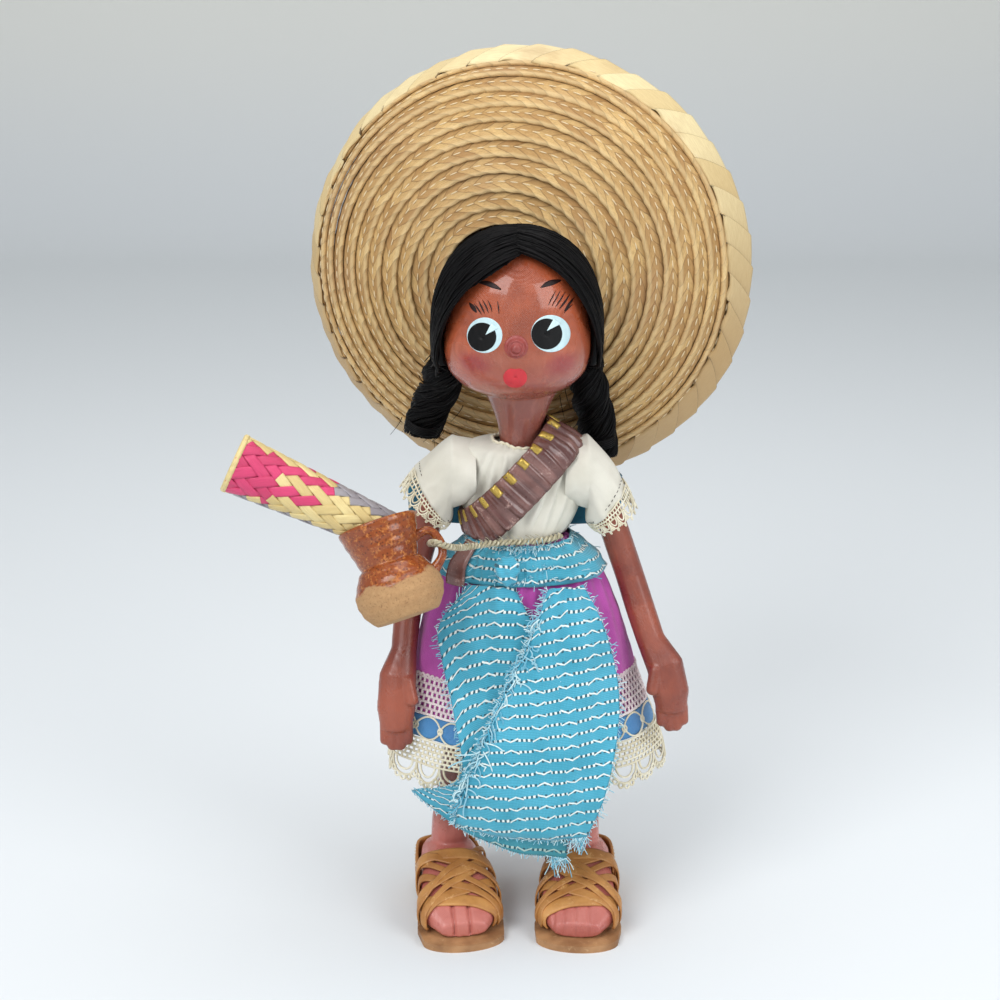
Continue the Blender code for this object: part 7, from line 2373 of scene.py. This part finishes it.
@dataclass
class Bandolier:
    """The ribbed leather belt over the left shoulder, with gold tips along its upper edge."""

    middle: tuple[float, float, float] = (-2.0 * MM, 1.0 * MM, 160.5 * MM)
    tilt: float = math.radians(47)
    width: float = 14.8 * MM
    pitch: float = 6.9 * MM
    station: float = 0.42 * MM

    def build(self, shop: Workshop, band: Turned) -> None:
        """Make the belt, its tips and its tail at the hip."""
        skin = Skin.over([shop.nodes["cartridge_belt"]])
        rise = np.array((math.cos(self.tilt), 0, math.sin(self.tilt)))
        across = np.array((-math.sin(self.tilt), 0, math.cos(self.tilt)))
        centre = np.array(self.middle) + DOLL
        count = 720
        turns = np.linspace(-math.pi, math.pi, count, endpoint=False)
        ways = rise * np.cos(turns)[:, None] + np.array((0, 1.0, 0)) * np.sin(turns)[:, None]
        offsets = np.linspace(-self.width / 2, self.width / 2, 15)
        centres = [centre + across * offset * 0.98 for offset in offsets]
        found = np.array([skin.from_outside(place, ways[None], FAR)[0] for place in centres])
        held = (~np.isnan(found)).sum(axis=0) >= 3
        home = count // 2
        first, last = home, home
        while held[first - 1] and first > 1:
            first -= 1
        while held[last + 1] and last < count - 2:
            last += 1
        reach = fill_gaps(found[:, first : last + 1])
        reach = blur(blur(reach, 2.0, 1, False), 0.8, 0, False)
        line = centre + ways[first : last + 1] * reach[7][:, None]
        run = run_along(line)
        even = np.linspace(0, run[-1], round(run[-1] / self.station))
        ways = unit(between(even, run, ways[first : last + 1]))
        reach = np.array([np.interp(even, run, row) for row in reach])
        half = even / self.pitch * 2
        main = np.floor(half) % 2 == 0
        rib = np.abs(np.sin(half * math.pi)) ** 0.6 * np.where(main, 1.2, 0.75)
        edge = np.clip((1 - np.abs(offsets / (self.width / 2))) / 0.12, 0, 1) ** 0.5
        proud = rib[None] * (0.55 + 0.45 * edge[:, None]) * MM - 0.45 * MM
        rows = centre + across * offsets[:, None, None] + ways[None] * (reach + proud)[..., None]
        low = band.levels[-1] + 0.5 * MM
        rows[..., 2] = np.maximum(rows[..., 2], low)
        # Painted light: the main ribs are dark, the smaller ribs light as a painted highlight, and the hollows between
        # ribs darker still as painted shade.
        chance = np.where(main, 0.85, 0.1) + 0.5 * (1 - np.abs(np.sin(half * math.pi))) ** 3
        places = np.stack(np.broadcast_arrays(even[None] / MM, offsets[:, None] / MM), axis=2)
        shape = Shape()
        shape.sheet(rows, 1.1 * MM, False, places, 1.0, np.broadcast_to(chance, rows.shape[:2]))
        shop.piece("ribbed_belt", shape, "belt_leather", slot="leather_belt", replaces=["cartridge_belt"])
        self.tips(shop, rows, ways, even)
        self.tail(shop, band)

    def tips(self, shop: Workshop, rows: np.ndarray, ways: np.ndarray, even: np.ndarray) -> None:
        """Make a worn patch of gold on the upper end of each rib.

        Args:
            shop: The workshop.
            rows: The belt's face, from its lower edge to its upper edge.
            ways: The way out at each station.
            even: The distance of each station along the belt.
        """
        shape = Shape()
        rng = np.random.default_rng(61)
        crest = 0.25 * self.pitch
        while crest < even[-1] * 0.62:
            size = (1.25 + 0.35 * rng.random(2)) * MM
            spots = (crest + np.linspace(-1, 1, 9) * size[0]) / even[-1] * (len(even) - 1)
            up = np.linspace(14.0 - 2.6 * size[1] / MM, 13.9, 7)
            low, left = np.floor(up).astype(int)[:, None], np.clip(spots, 0, len(even) - 2).astype(int)[None]
            down, over = (up[:, None] - low)[..., None], (spots[None] - left)[..., None]
            patch = sum(
                rows[low + a, left + b] * (down if a else 1 - down) * (over if b else 1 - over)
                for a in (0, 1)
                for b in (0, 1)
            )
            patch += ways[left] * 0.16 * MM + rng.normal(size=patch.shape) * 0.07 * MM
            shape.sheet(patch, 0.25 * MM)
            crest += self.pitch
        shop.piece("belt_gold_tips", shape, "tip_gold", slot="leather_belt")

    def tail(self, shop: Workshop, band: Turned) -> None:
        """Make the belt's end, which comes out under the shawl at the hip."""
        heights = np.linspace(141.4, 127.6, 46)
        turn = math.radians(211) + np.linspace(0, 0.05, 46)
        half = 2.5 * MM
        rib = 0.4 * MM * np.abs(np.sin(heights / 6.9 * math.pi))
        drop = np.stack([0 * rib, 0 * rib, np.clip(129.3 - heights, 0, 9) * MM], axis=1)
        rows = []
        for side in np.linspace(-1, 1, 7):
            spot = turn + side * half / (21 * MM)
            rows.append(band.at(spot, np.maximum(heights, 129.3) * MM, 1.15 * MM + rib) - drop)
        shape = Shape()
        shape.sheet(np.array(rows)[:, ::-1], 0.9 * MM, tint=0.4)
        shop.piece("belt_tail", shape, "belt_leather", slot="leather_belt")


@dataclass
class Twine:
    """Two-ply twine round the waist, to the jug's handle and back."""

    waist: float = 141.5 * MM
    points: Table = (
        (14.2, -7.4, 2.3), (10.5, -10.7, 2.2), (4, -13.4, 2.1), (-3, -14.5, 2.1), (-9, -15.6, 2.2),
        (-15.5, -19.2, 2.5), (-20.3, -26.2, 4.4), (-24.1, -33.4, 7.4), (-28, -34.6, 9.2), (-30.2, -26.2, 5.8),
        (-27.6, -24.3, 4.8), (-24.5, -23.6, 4.3),
    )  # fmt: skip
    lay: float = 3.6 * MM
    ply: float = 0.66 * MM

    def build(self, shop: Workshop) -> None:
        """Make the twine."""
        points = np.array(self.points) * MM + np.array((0, 0, self.waist)) + DOLL
        path = blur(route(points, 360), 5, 0, False)
        path[:, 1] -= 0.25 * MM
        ahead = unit(np.gradient(path, axis=0))
        side = unit(np.cross(ahead, (0, 0, 1.0)))
        up = np.cross(side, ahead)
        run = run_along(path)
        paths = []
        for ply in range(2):
            for strand in range(3):
                turn = run / self.lay * TURN + ply * math.pi
                twist = run / (self.lay * 0.7) * TURN + strand * TURN / 3
                big, small = self.ply * 0.86, self.ply * 0.42
                out = np.cos(turn)[:, None] * side + np.sin(turn)[:, None] * up
                round_way = -np.sin(turn)[:, None] * side + np.cos(turn)[:, None] * up
                reach, swing = (big + small * np.cos(twist))[:, None], (small * np.sin(twist))[:, None]
                paths.append(path + out * reach + round_way * swing)
        rng = np.random.default_rng(91)
        for _ in range(60):
            start = rng.integers(4, 205)
            way = unit(rng.normal(size=3))
            stops = np.linspace(0, 1, 5)[:, None]
            paths.append(path[start] + way * 0.8 * MM + way * stops * 1.6 * MM + ahead[start] * stops**2 * 1.4 * MM)
        swells, node = [np.ones(360)] * 6 + [np.full(5, 0.3)] * 60, ["waist_twine"]
        shop.threads("twisted_twine", paths, self.ply * 0.56, "twine_natural", Body.DOLL, "twine", node, swells=swells)


@dataclass
class Jug:
    """The small clay jug, glazed from its rim down over its belly, with a loop handle."""

    base: tuple[float, float, float] = (-37 * MM, -39.5 * MM, 126.3 * MM)
    height: float = 32 * MM
    belly: float = 14.6 * MM
    wall: float = 1.8 * MM
    lean_left: float = math.radians(20.7)
    lean_back: float = math.radians(23.4)
    shape: Table = ((0.0, 0.719), (0.1, 0.906), (0.3, 1.0), (0.48, 0.853), (0.6, 0.705), (0.72, 0.762), (1.0, 0.932))
    handle: Table = ((0.755, 0.66), (0.785, 0.98), (0.735, 1.15), (0.6, 1.235), (0.48, 1.16), (0.375, 0.9))

    def ways(self) -> tuple[np.ndarray, np.ndarray, np.ndarray]:
        """The jug's ways up, out to its handle and across."""
        up = unit(np.array((-math.tan(self.lean_left), math.tan(self.lean_back), 1.0)))
        out = unit(np.array((1.0, 0, 0)) - up * up[0])
        return up, out, np.cross(up, out)

    def build(self, shop: Workshop) -> None:
        """Make the jug."""
        up, out, side = self.ways()
        base = np.array(self.base) + DOLL
        shares = np.linspace(0, 1, 96)
        outer = smooth_table(self.shape, shares)[:, 0] * self.belly
        outer += 0.1 * MM * np.sin(shares * 60) + 0.08 * MM * np.sin(shares * 23 + 1)
        outer -= 0.55 * MM * np.exp(-(((shares - 0.585) / 0.02) ** 2))
        foot = [(0.0, radius) for radius in np.linspace(0.4 * MM, outer[0] - 0.5 * MM, 6)]
        line = [*foot, *zip(shares * self.height, outer)]
        lip = self.height
        for turn in np.linspace(0, math.pi, 9)[1:-1]:
            line.append((lip + 0.75 * MM * math.sin(turn), outer[-1] - self.wall / 2 * (1 - math.cos(turn))))
        inner = np.linspace(1, 0.09, 40)
        line += zip(inner * self.height, smooth_table(self.shape, inner)[:, 0] * self.belly - self.wall)
        floor = smooth_table(self.shape, [0.07])[0, 0] * self.belly - self.wall - 1 * MM
        line += [(0.07 * self.height, radius) for radius in np.linspace(floor, 0.4 * MM, 6)]
        turns = all_round(112)
        rings = []
        uneven = lumps((len(line), 112), 81, 6, True) * 0.07 * MM
        for number, (level, radius) in enumerate(line):
            reach = (radius + uneven[number] * min(radius / self.belly, 1))[:, None]
            across, ahead = out * np.cos(turns)[:, None] * reach, side * np.sin(turns)[:, None] * reach
            rings.append(base + up * level + across + ahead)
        levels = np.array([level / self.height for level, _ in line])
        places = np.stack(np.broadcast_arrays(np.linspace(0, 90, 113)[None], levels[:, None]), axis=2)
        shape = Shape()
        shape.bar(np.array(rings), places)
        loop = [tuple(up * along * self.height + out * reach * self.belly) for along, reach in self.handle]
        path = base + route(loop, 40)
        radii = 1.45 * MM * (1 + 0.42 * np.abs(np.linspace(-1, 1, 40)) ** 5)
        spots = np.stack(np.broadcast_arrays(np.linspace(0, 9, 19)[None], np.full((40, 1), 0.86)), axis=2)
        shape.bar(tube(path, radii, 18), spots)
        shop.piece("clay_jug", shape, "glazed_clay", Body.JUG, "clay", ["jug"])


DYES = ("roll_pink", "roll_cream", "roll_grey")


@dataclass
class PalmRoll:
    """The mat of coloured palm leaf, woven in two slanting layers and rolled up."""

    rise: float = math.radians(25.6)
    radii: tuple[float, float] = (6.2 * MM, 9.4 * MM)
    strips: int = 14
    stations: int = 150
    lean: float = math.radians(25)
    leaf: float = 0.36 * MM
    weave: float = 0.3 * MM

    def dyes(self, family: int, turn: np.ndarray, share: np.ndarray) -> np.ndarray:
        """The dye of each station of a strip, as a place in DYES."""
        angle = np.degrees(turn) % 360
        past = share - 0.42
        pink = (past > 0) & (angle > 150 + past * 95) & (angle < 262 + past * 130)
        if family < 0:
            pink = (share > 0.74) & (angle > 195) & (angle < 325)
        under = ((angle > 322) | (angle < 60)) & (share > 0.3) & (share < 0.96)
        over = (angle > 130) & (angle < 218) & (share < 0.42)
        return np.where(pink, 0, np.where(under | over, 2, 1))

    def build(self, shop: Workshop) -> None:
        """Make the strips, the rim and the rolled lining."""
        points = node_points(shop.nodes["palm_roll"])
        way = np.array((-math.cos(self.rise), 0, math.sin(self.rise)))
        along = points @ way
        start = points[along < along.min() + 0.4 * MM].mean(axis=0)
        end = points[along > along.max() - 0.4 * MM].mean(axis=0)
        length = float(np.linalg.norm(end - start))
        side = np.array((0, 1.0, 0))
        lift = np.cross(way, side)

        def place(turn: np.ndarray, far: np.ndarray, proud: np.ndarray | float) -> np.ndarray:
            """Places round the roll, at distances from its narrow end."""
            radius = self.radii[0] + (self.radii[1] - self.radii[0]) * far / length + proud
            ring = lift * np.cos(turn)[..., None] + side * np.sin(turn)[..., None]
            return start + way * far[..., None] + ring * radius[..., None]

        mean = sum(self.radii) / 2
        rate = math.tan(self.lean) / mean
        width = TURN * mean / self.strips * math.cos(self.lean) * 0.97
        far = np.linspace(-2 * MM, length + 2 * MM, self.stations)
        dyed = {name: Shape() for name in DYES}
        flat = np.linspace(-0.5, 0.5, 6)
        across = np.concatenate((flat, flat[::-1], flat[:1])) * width / MM
        for family in (1, -1):
            for number in range(self.strips):
                swing = family * rate * far + number * TURN / self.strips
                crossing = 2 * number + family * 2 * rate * far * self.strips / TURN
                rise = family * self.weave * np.clip(1.7 * np.cos((crossing - 0.5) * math.pi / 2), -1, 1)
                sections = []
                for top in (1, 0):
                    shares = flat if top else flat[::-1]
                    spread_turn = swing[:, None] - family * shares * width * math.cos(self.lean) / mean
                    spread_far = np.clip(far[:, None] + shares * width * math.sin(self.lean), 0, length)
                    bow = self.leaf * (0.5 if top else -0.5) - (shares * 2) ** 2 * 0.06 * MM
                    proud = rise[:, None] + bow + 0.1 * MM
                    sections.append(place(spread_turn, spread_far, proud))
                loop = np.concatenate(sections, axis=1)
                if family < 0:
                    loop = loop[:, ::-1]
                edge = across if family > 0 else across[::-1]
                spots = np.stack(np.broadcast_arrays(far[:, None] * 1.1 / MM, edge[None] + number * 7), axis=2)
                dyes = self.dyes(family, swing, far / length)
                cuts = [0, *(np.nonzero(dyes[1:] != dyes[:-1])[0] + 1), len(dyes)]
                for first, last in zip(cuts, cuts[1:]):
                    stop = min(last + 1, len(dyes))
                    if stop - first > 2:
                        tint = (number * 0.37 + family * 0.2) % 1
                        dyed[DYES[dyes[first]]].bar(loop[first:stop], spots[first:stop], tint)
        count = 240
        turn = np.linspace(0, TURN * 2.3, count)
        reach = np.linspace(-1.0 * MM, -3.6 * MM, count)
        stops = np.linspace(0.0, length - 0.6 * MM, 12)
        rows = [place(turn, np.full(count, stop), reach) for stop in stops]
        dyed["roll_cream"].sheet(np.array(rows), 0.4 * MM, False, None, 0.5, 0.6)
        ring = all_round(160)
        lip = []
        for past, proud in ((-1.4, 0.5), (-0.7, 0.62), (0.0, 0.5), (0.3, 0.1), (0.0, -0.5), (-1.6, -0.75)):
            wave = np.full(160, proud * MM) + 0.12 * MM * np.sin(ring * 22)
            lip.append(place(ring, np.full(160, length + past * MM), wave))
        dyed["roll_cream"].sheet(np.array(lip), 0.3 * MM, True, None, 0.5, 0.3)
        for name, shape in dyed.items():
            title = name.replace("roll", "palm_strips")
            shop.piece(title, shape, name, Body.ROLL, "palm_mat", ["palm_roll"] if name == "roll_cream" else [])


@dataclass
class Sandals:
    """Leather sandals: a sole, a heel counter with its stitches, and plaited instep straps."""

    foot_length: float = 52 * MM
    foot_width: float = 27 * MM
    instep: float = 18.5 * MM
    inset: float = 2.6 * MM
    floor: float = 2.9 * MM
    shape: Table = (
        (0.0, 0.36, 0.5), (0.06, 0.6, 0.76), (0.2, 0.76, 0.98), (0.4, 0.82, 1.0), (0.6, 0.94, 0.82),
        (0.78, 1.0, 0.62), (0.92, 0.92, 0.46), (1.0, 0.6, 0.3),
    )  # fmt: skip
    # Place along the foot, slant, width in millimetres and height above the foot in millimetres
    straps: Table = (
        (0.86, -0.05, 4.4, 0.1), (0.79, 0.1, 3.6, 0.45), (0.75, -0.16, 3.0, 0.75), (0.71, 0.2, 2.6, 0.95),
        (0.67, -0.2, 2.6, 1.15), (0.65, 0.13, 3.4, 1.3), (0.6, 0.24, 2.6, 1.5), (0.57, -0.14, 3.2, 1.6),
        (0.51, -0.03, 4.4, 1.75),
    )  # fmt: skip

    def build(self, shop: Workshop) -> None:
        """Make both sandals."""
        for side in Side:
            self.instep_straps(shop, side)
            self.heel(shop, side)
            shop.dress("sandal_sole_" + side.word, "sole_leather")

    def foot(self, side: Side, share: np.ndarray, turn: np.ndarray, grow: np.ndarray | float) -> np.ndarray:
        """Places on the foot's outline, from its heel, 0, to its toes, 1, grown by a layer."""
        heel, forward, sideways = foot_frame(side)
        share, turn, grow = np.broadcast_arrays(share, turn, grow)
        sizes = smooth_table(self.shape, share.ravel()).reshape(*share.shape, 2)
        half, height = sizes[..., 0] * self.foot_width / 2, sizes[..., 1] * self.instep
        side_power = np.sign(np.cos(turn)) * np.abs(np.cos(turn)) ** 0.8
        up_power = np.sign(np.sin(turn)) * np.abs(np.sin(turn)) ** 0.7
        across = (half + grow) * side_power
        up = np.maximum(self.floor + height / 2 + (height / 2 + grow) * up_power, self.floor)
        reach = self.inset + share * self.foot_length
        return heel + forward * reach[..., None] + sideways * across[..., None] + UP * up[..., None]

    def instep_straps(self, shop: Workshop, side: Side) -> None:
        """Make the straps that cross over the instep."""
        shape = Shape()
        turns = np.linspace(math.radians(-27), math.pi + math.radians(27), 46)
        for number, (place, slant, width, proud) in enumerate(self.straps):
            shares = np.linspace(0.5, -0.5, 7) * width * MM / self.foot_length
            wave = 0.28 * np.sin(turns * 5 + number * 2.2)
            bow = 0.08 * (1 - (np.linspace(-1, 1, 7)) ** 2)
            share = place + shares[:, None] - side.value * slant * np.cos(turns)[None]
            grow = (proud + 0.25 + wave[None] * 0.6 + bow[:, None]) * MM
            grid = self.foot(side, np.clip(share, 0, 1), turns[None], grow)
            shape.sheet(grid[::-1], 0.6 * MM, False, None, 0.5, (number * 0.41) % 1)
        name = "plaited_straps_" + side.word
        shop.piece(name, shape, "strap_leather", slot="leather", replaces=["sandal_straps_" + side.word])

    def heel(self, shop: Workshop, side: Side) -> None:
        """Make the counter round the heel, higher at its back, and its lacing."""
        shares = np.concatenate((np.linspace(0.46, 0, 20), np.linspace(0, 0.46, 20)[1:]))
        sign = np.concatenate((np.full(20, -1.0), np.full(19, 1.0)))
        heel, forward, sideways = foot_frame(side)
        half = smooth_table(self.shape, shares)[:, 0] * self.foot_width / 2
        along, across = self.inset + shares * self.foot_length, sign * (half + 1.1 * MM)
        line = heel + forward * along[:, None] + sideways * across[:, None]
        line = blur(line, 1.2, 0, False) - forward * 1.4 * MM
        rows = []
        for up in np.linspace(0, 1, 12):
            height = self.floor + (12.6 - 6.5 * (shares / 0.46) ** 2.2) * up * MM + 0.1 * MM
            flare = 0.35 * MM * math.sin(up * math.pi)
            out = unit(line - (heel + forward * 14 * MM))
            rows.append(line + out * flare + UP * height[:, None])
        shape = Shape()
        shape.sheet(np.array(rows), 1.0 * MM, False, None, 0.5, 0.3)
        name = "heel_counter_" + side.word
        shop.piece(name, shape, "strap_leather", slot="leather", replaces=["heel_band_" + side.word])
        seam, stitch = rows[-2] + out * 0.75 * MM, (0.16 * MM, 0.6 * MM)
        shop.stitches(name + "_stitches", [seam], 1.9 * MM, stitch, "hat_thread", slot="leather")


def main() -> None:
    """Build the doll's looks in order."""
    logging.basicConfig(level=logging.INFO, format="%(name)s: %(message)s")
    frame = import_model()
    stage = Stage()
    stage.camera()
    stage.room()
    stage.light()
    shop = Workshop(frame["nodes"])
    Sombrero(DOLL + np.array((-4.4, 14.856, 226.3)) * MM).build(shop)
    Head(stage.camera_place, stage.camera_tilt, stage.lens).build(shop)
    Hair().build(shop)
    Limbs().build(shop)
    Blouse().build(shop)
    skirt = Skirt()
    skirt.build(shop)
    band = Shawl().build(shop, skirt.middle)
    BackCloth().build(shop)
    Bandolier().build(shop, band)
    Twine().build(shop)
    Jug().build(shop)
    PalmRoll().build(shop)
    Sandals().build(shop)
    for node in ("hip_peg_left", "hip_peg_right", "neck_peg"):
        shop.dress(node, "wood_peg")
    shop.dress("shoulder_wire", "shoulder_steel")
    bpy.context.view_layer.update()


if __name__ == "__main__":
    main()
